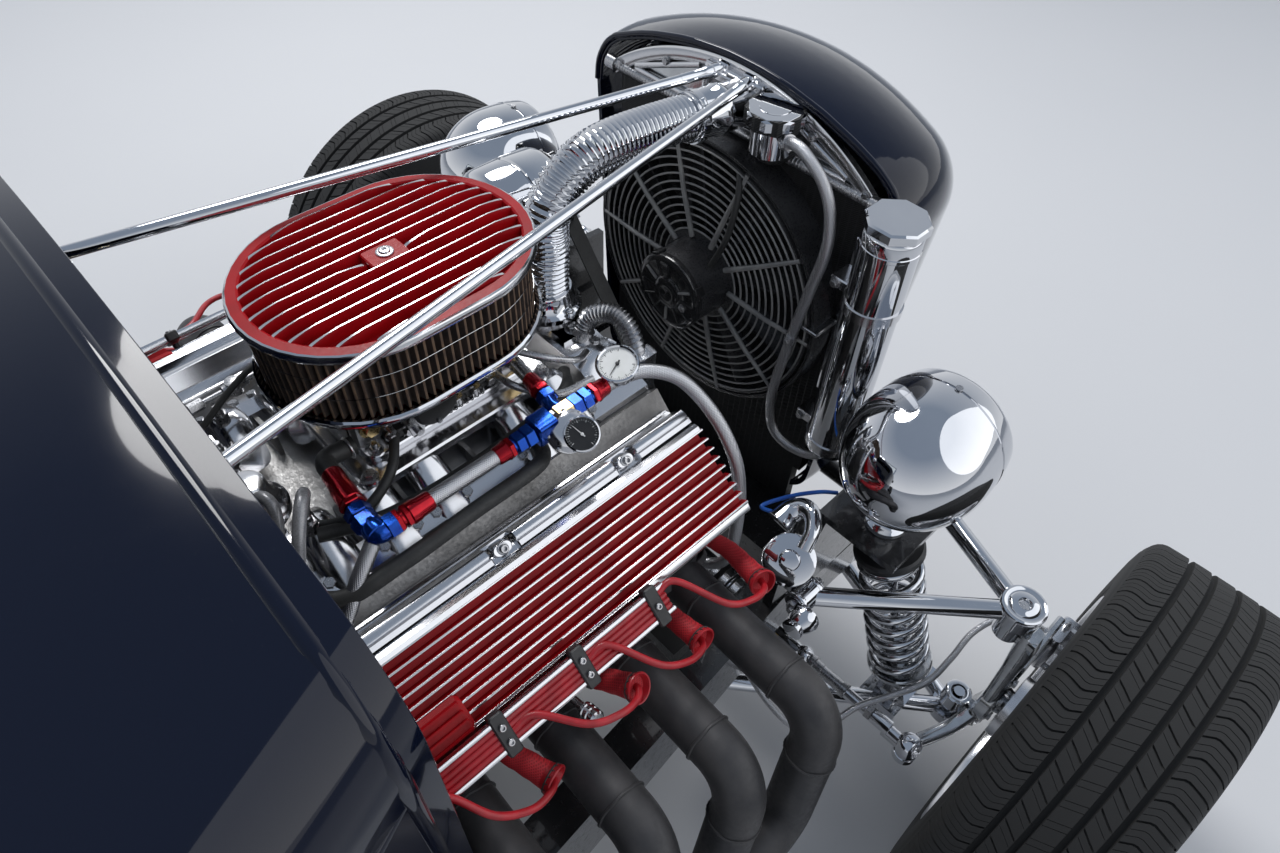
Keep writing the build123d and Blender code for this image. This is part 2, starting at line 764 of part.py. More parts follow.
with BuildPart() as engine_block:
    with BuildSketch(cross_plane(block_front)):
        with BuildLine():
            Polyline((-130, 390), (-150, 480), (-250, 560), (-112, 690), (112, 690), (250, 560), (150, 480), (130, 390), close=True)
        make_face()
    extrude(amount=-block_len)
    add(slab((-125, 125), (block_front + 10, block_front + 500), (330, 392)))
    add(slab((-115, 115), (block_front + 230, block_front + 500), (245, 335)))
    add(slab((-215, 215), (block_front + 60, block_front + 110), (440, 470)))
    for mount_side in (-1, 1):
        low, high = sorted((mount_side * 200, mount_side * 320))
        add(slab((low, high), (block_front + 60, block_front + 110), (430.3, 460)))
hand_in(engine_block.part, "engine_block")

with BuildPart() as cylinder_heads:
    with BuildSketch(bank_plane(deck_height)):
        with Locations((0, -5)):
            Rectangle(block_len - 10, head_w)
    extrude(amount=head_h)
    add(engine_block.part, mode=Mode.SUBTRACT)
    mirror(about=Plane.YZ)
hand_in(cylinder_heads.part, "cylinder_heads")

cover_base = deck_height + head_h


def bank_point(across, high):
    """A point of the right bank's section, as its distance across the car and its height.

    It lies this far outwards from the bores' plane and this far from the crank along them.
    """
    lean = math.sin(math.radians(bank_angle))
    return (-(high + across) * lean, crank_z + (high - across) * lean)


def bank_bar(section, start, end):
    """A bar of the right bank: a section of (across, height over the cover's seat), along the car."""
    with BuildPart() as bar:
        with BuildSketch(cross_plane(start)):
            with BuildLine():
                Polyline(*[bank_point(across, cover_base + high) for across, high in section], close=True)
            make_face()
        extrude(amount=-(end - start))
    return bar.part


cover_start = block_front + (block_len - cover_len) / 2
cover_end = cover_start + cover_len
panel_low = 50.0
panel_high = 58.0
cover_walls = ((-71, 8), (69, 8), (66, 20), (57, panel_high), (-46, panel_low), (-47, 45), (-56, 45), (-70, 42), (-73, 38))
outer_rail = ((46, 40), (57, 40), (57, 66), (54, 68), (48, 68), (46, 66))
inner_rail = ((-55, 40), (-45, 40), (-45, 57), (-48, 59), (-53, 58), (-55, 54))
cap_section = ((12, 52), (50, 55), (50, 66), (46, 70), (16, 67), (12, 63))
with BuildPart() as valve_covers:
    with BuildSketch(bank_plane(cover_base)):
        RectangleRounded(cover_len, cover_w, 18)
    extrude(amount=9)
    add(bank_bar(cover_walls, cover_start + 8, cover_end - 9))
    add(bank_bar(outer_rail, cover_start + 4, cover_end - 11))
    add(bank_bar(inner_rail, cover_start + 4, cover_end - 11))
    add(bank_bar(cap_section, cover_end - 90, cover_end - 26))
    for fin in range(cover_fins):
        across = -46 + (fin + 1) * fin_pitch
        seat = panel_low + (across + 46) * (panel_high - panel_low) / 103
        fin_section = (
            (across - fin_w / 2, seat - 3),
            (across + fin_w / 2, seat - 3),
            (across + fin_w / 4, seat + fin_h),
            (across - fin_w / 4, seat + fin_h),
        )
        add(bank_bar(fin_section, cover_start + 2, cover_end - 12))
    for boss in (95, 257, 419):
        boss_section = ((-71, 30), (-57, 30), (-57, 48), (-71, 48))
        add(bank_bar(boss_section, cover_start + boss - 11, cover_start + boss + 11))
    mirror(about=Plane.YZ)
hand_in(valve_covers.part, "valve_covers")

carb_z = filter_base_z - carb_neck - carb_h
with BuildPart() as intake_manifold:
    with BuildSketch(cross_plane(block_front + 5)):
        with BuildLine():
            Polyline((-105, 692), (-150, 740), (-90, 775), (90, 775), (150, 740), (105, 692), close=True)
        make_face()
    extrude(amount=-(block_len - 25))
    add(slab((-95, 95), (carb_station - 120, carb_station + 120), (770, carb_z)))
    add(peg(at(0, hose_foot_station, 785), (0, 0, 1), hose_r + 14, 30))
    for runner_station in (345, 405, 515, 575, 635):
        for runner_side in (-1, 1):
            runner_ends = [at(runner_side * 80, runner_station, 768), at(runner_side * 146, runner_station, 730)]
            add(tube(runner_ends, 20))
    add(cylinder_heads.part, mode=Mode.SUBTRACT)
    add(valve_covers.part, mode=Mode.SUBTRACT)
    add(engine_block.part, mode=Mode.SUBTRACT)
hand_in(intake_manifold.part, "intake_manifold")

with BuildPart() as carburettor:
    add(slab((-80, 80), (carb_station - 105, carb_station + 105), (carb_z, carb_z + carb_h)))
    add(peg(at(0, carb_station, filter_base_z - carb_neck / 2), (0, 0, 1), 65, carb_neck))
hand_in(carburettor.part, "carburettor")


def oval(length, width):
    """A flat-sided oval along the car, drawn on the current plane."""
    SlotOverall(length, width, rotation=90)


with BuildPart() as air_filter:
    with BuildSketch(Plane.XY.offset(filter_base_z)):
        with Locations(at(0, carb_station, 0)[:2]):
            oval(filter_len, filter_w)
    extrude(amount=10)
    with BuildSketch(Plane.XY.offset(filter_base_z + 10)):
        with Locations(at(0, carb_station, 0)[:2]):
            oval(filter_len - 24, filter_w - 24)
    extrude(amount=filter_h - 10)
hand_in(air_filter.part, "air_filter")

lid_z = filter_base_z + filter_h
with BuildPart() as air_cleaner_lid:
    with BuildSketch(Plane.XY.offset(lid_z)):
        with Locations(at(0, carb_station, 0)[:2]):
            oval(filter_len, filter_w)
    extrude(amount=lid_t)
    with BuildPart(mode=Mode.PRIVATE) as ribs:
        with BuildSketch(Plane.XY.offset(lid_z + lid_t)):
            with Locations(at(0, carb_station, 0)[:2]):
                with GridLocations((filter_w - 20) / lid_fins, 0, lid_fins, 1):
                    Rectangle(fin_w, filter_len)
        extrude(amount=8)
        with BuildSketch(Plane.XY.offset(lid_z + lid_t)):
            with Locations(at(0, carb_station, 0)[:2]):
                oval(filter_len - 14, filter_w - 14)
        extrude(amount=8, mode=Mode.INTERSECT)
    add(ribs.part)
hand_in(air_cleaner_lid.part, "air_cleaner_lid")

# Front drive
with BuildPart() as front_drive:
    add(peg(at(0, block_front - 30, 560), (0, 1, 0), 62, 60))
    add(slab((-90, 90), (block_front - 30, block_front), (430, 640)))
    add(peg(at(0, block_front - 73, 580), (0, 1, 0), 68, 34))
    add(peg(at(0, block_front - 73, crank_z), (0, 1, 0), 82, 40))
    add(peg(at(0, block_front - 35, crank_z), (0, 1, 0), 40, 60))
    add(peg(at(alternator[0], block_front - 45, alternator[1]), (0, 1, 0), 64, 120))
    add(peg(at(alternator[0], block_front - 110, alternator[1]), (0, 1, 0), 34, 60))
    add(slab((90, 130), (block_front - 30, block_front), (600, 770)))
    add(slab((60, 110), (block_front - 30, block_front), (600, 640)))
    add(cylinder_heads.part, mode=Mode.SUBTRACT)
    add(intake_manifold.part, mode=Mode.SUBTRACT)
hand_in(front_drive.part, "front_drive")

with BuildPart() as transmission:
    with BuildSketch(cross_plane(block_front + block_len)):
        with Locations((0, crank_z)):
            Circle(165)
    with BuildSketch(cross_plane(900)):
        with Locations((0, crank_z - 10)):
            Circle(110)
    loft()
    add(slab((-110, 110), (890, 1150), (335, 520)))
    add(tube([at(0, 1140, 415), at(0, 1291.7, 405)], 60))
    add(slab((-60, 60), (1152, 1208), (330, 380)))
    add(tube([at(0, 1210, 440), at(0, 1210, 660), at(0, 1280, 800)], 6, 30))
    with Locations(at(0, 1280, 815)):
        Sphere(22)
    add(slab((-100, 100), (1291, 1400), (300, 500)), mode=Mode.SUBTRACT)
hand_in(transmission.part, "transmission")

# Exhaust
header_r = 28.0
with BuildPart() as exhaust_headers:
    with BuildPart(mode=Mode.PRIVATE) as header_set:
        for cylinder, (out, up) in enumerate(((-20, -20), (20, -20), (20, 20), (-20, 20))):
            port = port_front + port_pitch * cylinder
            drop = 12 * (3 - cylinder)
            header_path = [
                at(-285, port, 590),
                at(-480 - drop, port + 5, 590),
                at(-502 - drop, port + 60, 430),
                at(-530 + out, 800, 340 + up),
                at(-530 + out, 880, 335 + up),
            ]
            add(tube(header_path, header_r, 50))
            add(peg(at(-274, port, 585), (-1, 0, -1), header_r + 12, 10))
        add(tube([at(-530, 840, 336), at(-530, 960, 330)], 50))
    add(header_set.part)
    add(cylinder_heads.part, mode=Mode.SUBTRACT)
    add(engine_block.part, mode=Mode.SUBTRACT)
    add(cowl.part, mode=Mode.SUBTRACT)
    add(slab((-700, 0), (959, 1000), (200, 500)), mode=Mode.SUBTRACT)
    mirror(about=Plane.YZ)
hand_in(exhaust_headers.part, "exhaust_headers")

with BuildPart() as exhaust_pipes:
    with BuildPart(mode=Mode.PRIVATE) as pipe_run:
        add(tube([at(-530, 950, 330), at(-530, 1010, 322), at(-524, 1090, 235), at(-400, 1180, 225), at(-330, 1230, 225), at(-330, 1300, 225)], 30, 30))
        add(peg(at(-330, 1500, 225), (0, 1, 0), 62, 440))
        add(tube([at(-330, 1700, 225), at(-330, 2300, 225), at(-300, 2500, 225), at(-300, 3000, 225)], 30, 200))
    add(pipe_run.part)
    add(slab((-700, 0), (900, 959), (200, 500)), mode=Mode.SUBTRACT)
    mirror(about=Plane.YZ)
hand_in(exhaust_pipes.part, "exhaust_pipes")

# Radiator, fan, shell and grille
radiator_rear = radiator_front + radiator_t
with BuildPart() as radiator:
    add(slab((-radiator_half, radiator_half), (radiator_front, radiator_rear), (radiator_low_z, radiator_high_z)))
    with BuildSketch(cross_plane(radiator_rear)):
        with BuildLine():
            Polyline((-200, radiator_high_z), (-200, 905), (-140, 945), (-70, 970), (70, 970), (140, 945), (200, 905), (200, radiator_high_z), close=True)
        make_face()
    extrude(amount=radiator_t)
    add(slab((-200, 200), (-58, radiator_rear), (300, radiator_low_z)))
    add(tube([at(-78, radiator_rear - 10, 915), at(-78, -8, 922), at(-78, -8, 955)], 24, 12))
    add(peg(at(neck[0], radiator_rear + 20, neck[1]), (0, 1, 0), neck_r, 42))
    with BuildSketch(Plane.XY.offset(953)):
        with Locations(at(-78, -8, 0)[:2]):
            RegularPolygon(36, 8)
    extrude(amount=18)
hand_in(radiator.part, "radiator")

with BuildPart() as fan_guard:
    fan_plane = cross_plane(radiator_rear)
    with BuildSketch(fan_plane):
        with Locations((0, fan_z)):
            Circle(fan_r + 5)
            Circle(fan_r, mode=Mode.SUBTRACT)
    extrude(amount=-44)
    with BuildSketch(cross_plane(0)):
        with Locations((0, fan_z)):
            for ring in range(1, 12):
                Circle(62 + ring * 12.2)
                Circle(59 + ring * 12.2, mode=Mode.SUBTRACT)
            for spoke in range(10):
                with Locations(Rotation(0, 0, 36 * spoke)):
                    with Locations((fan_r / 2 + 28, 0)):
                        Rectangle(fan_r - 50, 7)
            Circle(66)
    extrude(amount=-5)
    add(peg(at(0, 32, fan_z), (0, 1, 0), 56, 56))
    add(peg(at(0, -10, fan_z), (0, 1, 0), 5, 44))
hand_in(fan_guard.part, "fan_guard")

with BuildPart() as fan_blades:
    add(peg(at(0, -21, fan_z), (0, 1, 0), 60, 20))
    for blade in range(9):
        with BuildPart(mode=Mode.PRIVATE) as vane:
            with Locations(Plane(origin=at(120, -21, fan_z), x_dir=(1, 0, 0), z_dir=(0, 1, -2))):
                Box(136, 46, 3)
        add(vane.part.rotate(Axis(at(0, -21, fan_z), (0, 1, 0)), 40 * blade))
    add(peg(at(0, -21, fan_z), (0, 1, 0), 5 + bearing_gap, 60), mode=Mode.SUBTRACT)
    add(slab((-300, 300), (-80, -33.5), (300, 900)), mode=Mode.SUBTRACT)
    add(slab((-300, 300), (-6.5, 60), (300, 900)), mode=Mode.SUBTRACT)
hand_in(fan_blades.part, "fan_blades")


def shell_outline(station, inset):
    """The nose outline across the car at a station."""
    with BuildSketch(cross_plane(station)) as outline:
        with BuildLine():
            foot = shell_foot - inset
            belt = shell_belt - inset
            Line((-foot, 345 + inset), (foot, 345 + inset))
            Line((foot, 345 + inset), (belt, 920 - inset))
            ThreePointArc((belt, 920 - inset), (0, 992 - inset), (-belt, 920 - inset))
            Line((-belt, 920 - inset), (-foot, 345 + inset))
        make_face()
        fillet(outline.vertices().group_by(Axis.Y)[-1], 80)
        fillet(outline.vertices().group_by(Axis.Y)[0], 60)
    return outline.sketch


with BuildPart() as grille_shell:
    add(shell_outline(shell_rear, 0))
    add(shell_outline(-140, 6))
    add(shell_outline(shell_front, 26))
    loft()
    with BuildPart(mode=Mode.PRIVATE) as shell_void:
        add(shell_outline(shell_rear + 1, shell_wall))
        add(shell_outline(-140, shell_wall + 9))
        add(shell_outline(shell_front - 1, 46))
        loft()
    add(shell_void.part, mode=Mode.SUBTRACT)
    add(slab((-205, 205), (-105, -30), (300, 380)), mode=Mode.SUBTRACT)
    add(slab((-180, 180), (-150, -120), (345, 360)))
hand_in(grille_shell.part, "grille_shell")

with BuildPart() as grille_bars:
    with BuildSketch(cross_plane(shell_front + 30)):
        with Locations((0, 665)):
            with GridLocations(16, 0, 27, 1):
                Rectangle(4, 700)
            with GridLocations(0, 150, 1, 4):
                Rectangle(700, 6)
    extrude(amount=8)
    add(shell_void.part, mode=Mode.INTERSECT)
hand_in(grille_bars.part, "grille_bars")

with BuildPart() as radiator_top_plate:
    with BuildSketch(cross_plane(radiator_rear)) as plate_face:
        with BuildLine():
            Line((-arch_half, arch_z), (arch_half, arch_z))
            ThreePointArc((arch_half, arch_z), (0, arch_top_z), (-arch_half, arch_z))
        make_face()
        for window in (-1, 1):
            with BuildLine():
                Polyline((window * 60, arch_z + 10), (window * 170, arch_z + 10), (window * 60, arch_top_z - 34), close=True)
            make_face(mode=Mode.SUBTRACT)
    extrude(amount=-plate_t)
    add(peg(at(0, radiator_rear + plate_t, arch_z), (1, 0, 0), 6.5, 2 * arch_half))
    with Locations(Plane(origin=at(neck[0], radiator_rear + 3, neck[1]), z_dir=(0, 1, 0))):
        Cylinder(neck_r + 0.2, 20, mode=Mode.SUBTRACT)
    add(radiator.part, mode=Mode.SUBTRACT)
hand_in(radiator_top_plate.part, "radiator_top_plate")

with BuildPart() as overflow_tank:
    with Locations(at(-tank_x, tank_station, 730)):
        Cylinder(tank_r, 370)
    with BuildSketch(Plane.XY.offset(915)):
        with Locations(at(-tank_x, tank_station, 0)[:2]):
            RegularPolygon(tank_r + 4, 8)
    extrude(amount=14)
    for height in (560, 800):
        add(slab((-222, -200), (radiator_rear, -20), (height, height + 15)))
        add(slab((-tank_x + 28, -200), (shell_rear + 2, tank_station), (height, height + 15)))
hand_in(overflow_tank.part, "overflow_tank")

with BuildPart() as coolant_hoses:
    top_run = [at(neck[0], radiator_rear + 41, neck[1]), at(neck[0] + 4, 90, neck[1] + 14)]
    top_run += [at(0, hose_foot_station, neck[1] + 4), at(0, hose_foot_station, 800)]
    add(tube(top_run, hose_r, 100))
    with BuildLine(mode=Mode.PRIVATE) as hose_line:
        FilletPolyline(*top_run, radius=100)
    hose_rings = 20
    for fold in range(hose_rings):
        share = 0.1 + 0.72 * fold / (hose_rings - 1)
        add(peg(hose_line.line @ share, hose_line.line % share, hose_r + 3, 5))
    add(peg(at(0, hose_foot_station, 803), (0, 0, 1), hose_r + 4, 26))
    add(peg(at(neck[0], radiator_rear + 50, neck[1] + 2), (0, 1, 0), hose_r + 4, 14))
    add(radiator.part, mode=Mode.SUBTRACT)
    add(intake_manifold.part, mode=Mode.SUBTRACT)
hand_in(coolant_hoses.part, "coolant_hoses")

with BuildPart() as stay_rods:
    add(tube([at(-20, radiator_rear, 972), at(-176, firewall_station, 984)], 6.5))
    add(radiator_top_plate.part, mode=Mode.SUBTRACT)
    add(slab((-300, 300), (-200, radiator_rear + 2), (800, 1100)), mode=Mode.SUBTRACT)
    add(cowl.part, mode=Mode.SUBTRACT)
    mirror(about=Plane.YZ)
    add(coolant_hoses.part, mode=Mode.SUBTRACT)
hand_in(stay_rods.part, "stay_rods")

# Headlamps
with BuildPart() as headlamps:
    lamp_centre = at(-lamp_x, lamp_station, lamp_z)
    with BuildSketch(Plane(origin=lamp_centre, x_dir=(0, -1, 0), z_dir=(1, 0, 0))) as bowl_half:
        with BuildLine():
            Line((-lamp_r, 0), (lamp_r * 0.85, 0))
            Line((lamp_r * 0.85, 0), (lamp_r * 0.85, lamp_r))
            Line((lamp_r * 0.85, lamp_r), (lamp_r * 0.3, lamp_r))
            EllipticalCenterArc((lamp_r * 0.3, 0), lamp_r * 1.3, lamp_r, start_angle=90, arc_size=90)
        make_face()
    revolve(axis=Axis(lamp_centre, (0, 1, 0)))
    stem_top_z = lamp_z - 0.9 * lamp_r
    with Locations(at(-lamp_x, lamp_station, (tower_top_z + stem_top_z) / 2)):
        Cylinder(14, stem_top_z - tower_top_z)
    with Locations(at(-lamp_x, lamp_station, tower_top_z + 6)):
        Cylinder(24, 12)
    mirror(about=Plane.YZ)
hand_in(headlamps.part, "headlamps")

lens_dome = 18.0
lens_r = lamp_r * 0.9
lens_sphere_r = (lens_r**2 + lens_dome**2) / (2 * lens_dome)
with BuildPart() as headlamp_lenses:
    lens_centre = at(-lamp_x, lamp_station - lamp_r * 0.85, lamp_z)
    with BuildSketch(Plane(origin=lens_centre, x_dir=(0, -1, 0), z_dir=(1, 0, 0))):
        with BuildLine():
            Line((0, 0), (0, lens_r))
            RadiusArc((0, lens_r), (lens_dome, 0), lens_sphere_r)
            Line((lens_dome, 0), (0, 0))
        make_face()
    revolve(axis=Axis(lens_centre, (0, 1, 0)))
    mirror(about=Plane.YZ)
hand_in(headlamp_lenses.part, "headlamp_lenses")


# Windscreen
def screen_plane():
    """The raked plane of the windscreen, local Y up the glass."""
    rake = math.radians(screen_rake)
    return Plane(
        origin=at(0, screen_foot[0], screen_foot[1]),
        x_dir=(1, 0, 0),
        z_dir=(0, -math.cos(rake), math.sin(rake)),
    )


with BuildPart() as windscreen_frame:
    with BuildSketch(screen_plane()):
        with Locations((0, screen_h / 2 + 14)):
            RectangleRounded(screen_w, screen_h, 30)
            RectangleRounded(screen_w - 36, screen_h - 36, 20, mode=Mode.SUBTRACT)
        for post in (-1, 1):
            with Locations((post * (screen_w / 2 + 4), 70)):
                Rectangle(26, 300)
    extrude(amount=9, both=True)
    add(outer_form, mode=Mode.SUBTRACT)
    add(slab((-800, 800), (900, 1300), (700, 1001)), mode=Mode.SUBTRACT)
hand_in(windscreen_frame.part, "windscreen_frame")

with BuildPart() as windscreen_glass:
    with BuildSketch(screen_plane()):
        with Locations((0, screen_h / 2 + 14)):
            RectangleRounded(screen_w - 36.6, screen_h - 36.6, 20)
    extrude(amount=2.5, both=True)
    add(outer_form, mode=Mode.SUBTRACT)
hand_in(windscreen_glass.part, "windscreen_glass")

# Seat
with BuildPart() as seat_cushion:
    add(slab((-seat_half, seat_half), (1435, 1800), (504.3, 640)))
    fillet(seat_cushion.edges().filter_by(Axis.X).group_by(Axis.Z)[-1], 40)
hand_in(seat_cushion.part, "seat_cushion")

with BuildPart() as seat_back:
    with BuildSketch(Plane.YZ):
        with BuildLine():
            Polyline(
                (front_axle_y + 1740, 640.3),
                (front_axle_y + 1889.7, 640.3),
                (front_axle_y + 1889.7, 930),
                (front_axle_y + 1800, 930),
                close=True,
            )
        make_face()
    extrude(amount=seat_half, both=True)
hand_in(seat_back.part, "seat_back")

# Steering column and wheel
column_low, column_high = Vector(*at(column_x, *column_foot)), Vector(*at(column_x, *column_head))
column_axis = (column_high - column_low).normalized()
with BuildPart() as steering_column:
    add(tube([column_low, column_high], 19))
    add(slab((column_x - 12, column_x + 12), (1074.3, 1095), (755, 900)))
    add(peg(column_high + column_axis * 12, column_axis, 8, 30))
    add(slab((column_x - 60, column_x + 60), (firewall_station + 8, firewall_station + 22), (590, 690)))
    add(cowl.part, mode=Mode.SUBTRACT)
hand_in(steering_column.part, "steering_column")

with BuildPart() as steering_wheel:
    wheel_hub = column_high + column_axis * 18
    wheel_plane = Plane(origin=wheel_hub, x_dir=(1, 0, 0), z_dir=column_axis)
    with BuildPart(mode=Mode.PRIVATE) as ring:
        with Locations(wheel_plane):
            Torus(steering_wheel_r - 13, 13)
            Cylinder(32, 20)
            for spoke in range(3):
                with Locations(Rotation(0, 0, 90 + 120 * spoke)):
                    with Locations((steering_wheel_r / 2 - 5, 0, 0)):
                        Box(steering_wheel_r - 24, 22, 5)
            Cylinder(8 + bearing_gap, 60, mode=Mode.SUBTRACT)
    add(ring.part)
hand_in(steering_wheel.part, "steering_wheel")

# Tail lamps, fuel tank, plug leads and fuel lines
with BuildPart() as tail_lamps:
    add(peg(at(-370, tail_station + 8.3, 520), (0, 1, 0), 42, 16))
    mirror(about=Plane.YZ)
hand_in(tail_lamps.part, "tail_lamps")

with BuildPart() as fuel_tank:
    add(slab((-380, 380), (2952, 3088), (300, 400)))
hand_in(fuel_tank.part, "fuel_tank")

loom = (-342.0, 703.0)
boot_mouths = ((328, 655), (423, 645), (516, 668), (625, 632))
with BuildPart() as plug_leads:
    with BuildPart(mode=Mode.PRIVATE) as lead_set:
        for step in (-14, 14):
            add(peg(at(loom[0] - step * 0.7, 552, loom[1] - step * 0.7), (0, 1, 0), 4, 296))
        for step in (-7, 0, 7):
            add(peg(at(loom[0] - step * 0.7, 560, loom[1] - step * 0.7), (0, 1, 0), 4.2, 300))
        for clamp in (424, 519, 613):
            clamp_ends = [at(loom[0] + 15, clamp, loom[1] + 15), at(loom[0] - 15, clamp, loom[1] - 15)]
            add(tube(clamp_ends, 8))
            add(tube([at(loom[0] + 8, clamp, loom[1]), at(-280, clamp, 634)], 4))
        for cylinder, (mouth_station, mouth_z) in enumerate(boot_mouths):
            port = port_front + port_pitch * cylinder
            plug = at(-276, port - 52, 612)
            mouth = at(-380, mouth_station - 30, mouth_z)
            add(tube([plug, at(-325, port - 48, 632), mouth], 12, 20))
            add(peg(mouth, Vector(*mouth) - Vector(*at(-325, port - 48, 632)), 16, 14))
            add(tube([mouth, at(-385, mouth_station + 10, mouth_z + 18), at(loom[0], mouth_station + 90, loom[1])], 4.2, 20))
    add(lead_set.part)
    add(cylinder_heads.part, mode=Mode.SUBTRACT)
    add(valve_covers.part, mode=Mode.SUBTRACT)
    add(exhaust_headers.part, mode=Mode.SUBTRACT)
    add(cowl.part, mode=Mode.SUBTRACT)
    mirror(about=Plane.YZ)
hand_in(plug_leads.part, "plug_leads")

with BuildPart() as fuel_lines:
    feed_z = carb_z + 29
    rail = [at(-rail_x, 612, feed_z), at(-rail_x, 330, feed_z), at(-188, 276, feed_z)]
    rail += [at(-262, 236, 742), at(-296, 232, 640), at(-292, 240, 520), at(-226, 268, 500)]
    add(tube(rail, line_r, 24))
    add(peg(at(-226, 268, 500), (1, -0.2, 0), 26, 40))
    add(tube([at(-rail_x, 605, feed_z), at(-62, 596, feed_z), at(-62, carb_station + 105.3, feed_z)], line_r, 15))
    add(tube([at(-rail_x, 392, feed_z), at(-82.5, 382, feed_z)], line_r))
    for nut_station in (345, 372, 432, 455, 566, 590):
        add(peg(at(-rail_x, nut_station, feed_z), (0, 1, 0), line_r + 4, 18))
    add(peg(at(-184, 398, feed_z - 4), (-0.5, 0.2, 0.8), 22, 30))
    add(engine_block.part, mode=Mode.SUBTRACT)
    add(cylinder_heads.part, mode=Mode.SUBTRACT)
    add(valve_covers.part, mode=Mode.SUBTRACT)
hand_in(fuel_lines.part, "fuel_lines")
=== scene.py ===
"""Looks of a highboy hot rod roadster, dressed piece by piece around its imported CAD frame.

Metres, +Z up, the nose towards -Y and the car's left towards +X. Sizes in the code are in
millimetres, and place() turns them into metres: across the car, behind the front axle, above ground.
"""

import json
import logging
import math
from dataclasses import dataclass
from enum import Enum
from typing import Iterable, Sequence

import bmesh
import bpy
from mathutils import Matrix, Vector
from mathutils.bvhtree import BVHTree

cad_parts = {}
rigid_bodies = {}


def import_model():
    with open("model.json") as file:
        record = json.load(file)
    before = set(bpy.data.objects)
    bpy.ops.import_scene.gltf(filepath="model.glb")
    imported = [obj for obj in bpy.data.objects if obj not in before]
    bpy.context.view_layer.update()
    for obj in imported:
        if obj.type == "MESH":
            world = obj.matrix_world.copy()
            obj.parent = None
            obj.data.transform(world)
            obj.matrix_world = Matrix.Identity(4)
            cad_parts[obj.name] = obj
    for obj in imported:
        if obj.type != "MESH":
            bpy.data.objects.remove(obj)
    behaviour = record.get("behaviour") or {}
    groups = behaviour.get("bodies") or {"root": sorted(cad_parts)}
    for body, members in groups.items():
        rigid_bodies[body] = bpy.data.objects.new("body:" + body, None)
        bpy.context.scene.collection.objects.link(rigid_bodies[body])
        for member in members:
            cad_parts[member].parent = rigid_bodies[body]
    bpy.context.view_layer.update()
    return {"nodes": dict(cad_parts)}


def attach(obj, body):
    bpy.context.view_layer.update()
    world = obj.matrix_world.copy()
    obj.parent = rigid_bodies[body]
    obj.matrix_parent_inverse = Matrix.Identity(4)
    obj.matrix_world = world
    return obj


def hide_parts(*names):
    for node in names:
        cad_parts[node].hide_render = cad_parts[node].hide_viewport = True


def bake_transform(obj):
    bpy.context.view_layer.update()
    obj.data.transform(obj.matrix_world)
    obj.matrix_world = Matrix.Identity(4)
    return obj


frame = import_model()

LOG = logging.getLogger("roadster")
MM = 0.001
FRONT_AXLE_Y = -1421.5
Colour = tuple[float, float, float]


def place(across: float, behind: float, up: float) -> Vector:
    """A point of the row frame from millimetres across the car, behind the front axle and above ground.

    Args:
        across: Millimetres towards the car's left.
        behind: Millimetres behind the front axle.
        up: Millimetres above the ground.

    Returns:
        The point in metres.
    """
    return Vector((across, FRONT_AXLE_Y + behind, up)) * MM


class Side(Enum):
    """The two sides of the car, by the sign of X."""

    RIGHT = -1
    LEFT = 1

    @property
    def label(self) -> str:
        """The side's name in node names."""
        return self.name.lower()


class Slot(Enum):
    """The record's material slots."""

    BODY = "body_paint"
    CHASSIS = "chassis_paint"
    CHROME = "chrome"
    ALLOY = "polished_alloy"
    CAST = "cast_alloy"
    BLOCK = "block_paint"
    RED = "red_paint"
    CORE = "black_core"
    HEADER = "header_coating"
    TYRE = "tyre_rubber"
    PLASTIC = "black_plastic"
    FILTER = "filter_media"
    RUBBER = "rubber_black"
    SLEEVE = "red_silicone"
    BRAID = "braid"
    STEEL = "steel"
    LAMP = "lamp_glass"
    SCREEN = "screen_glass"
    LENS = "red_lens"
    LEATHER = "seat_leather"
    CARPET = "floor_carpet"


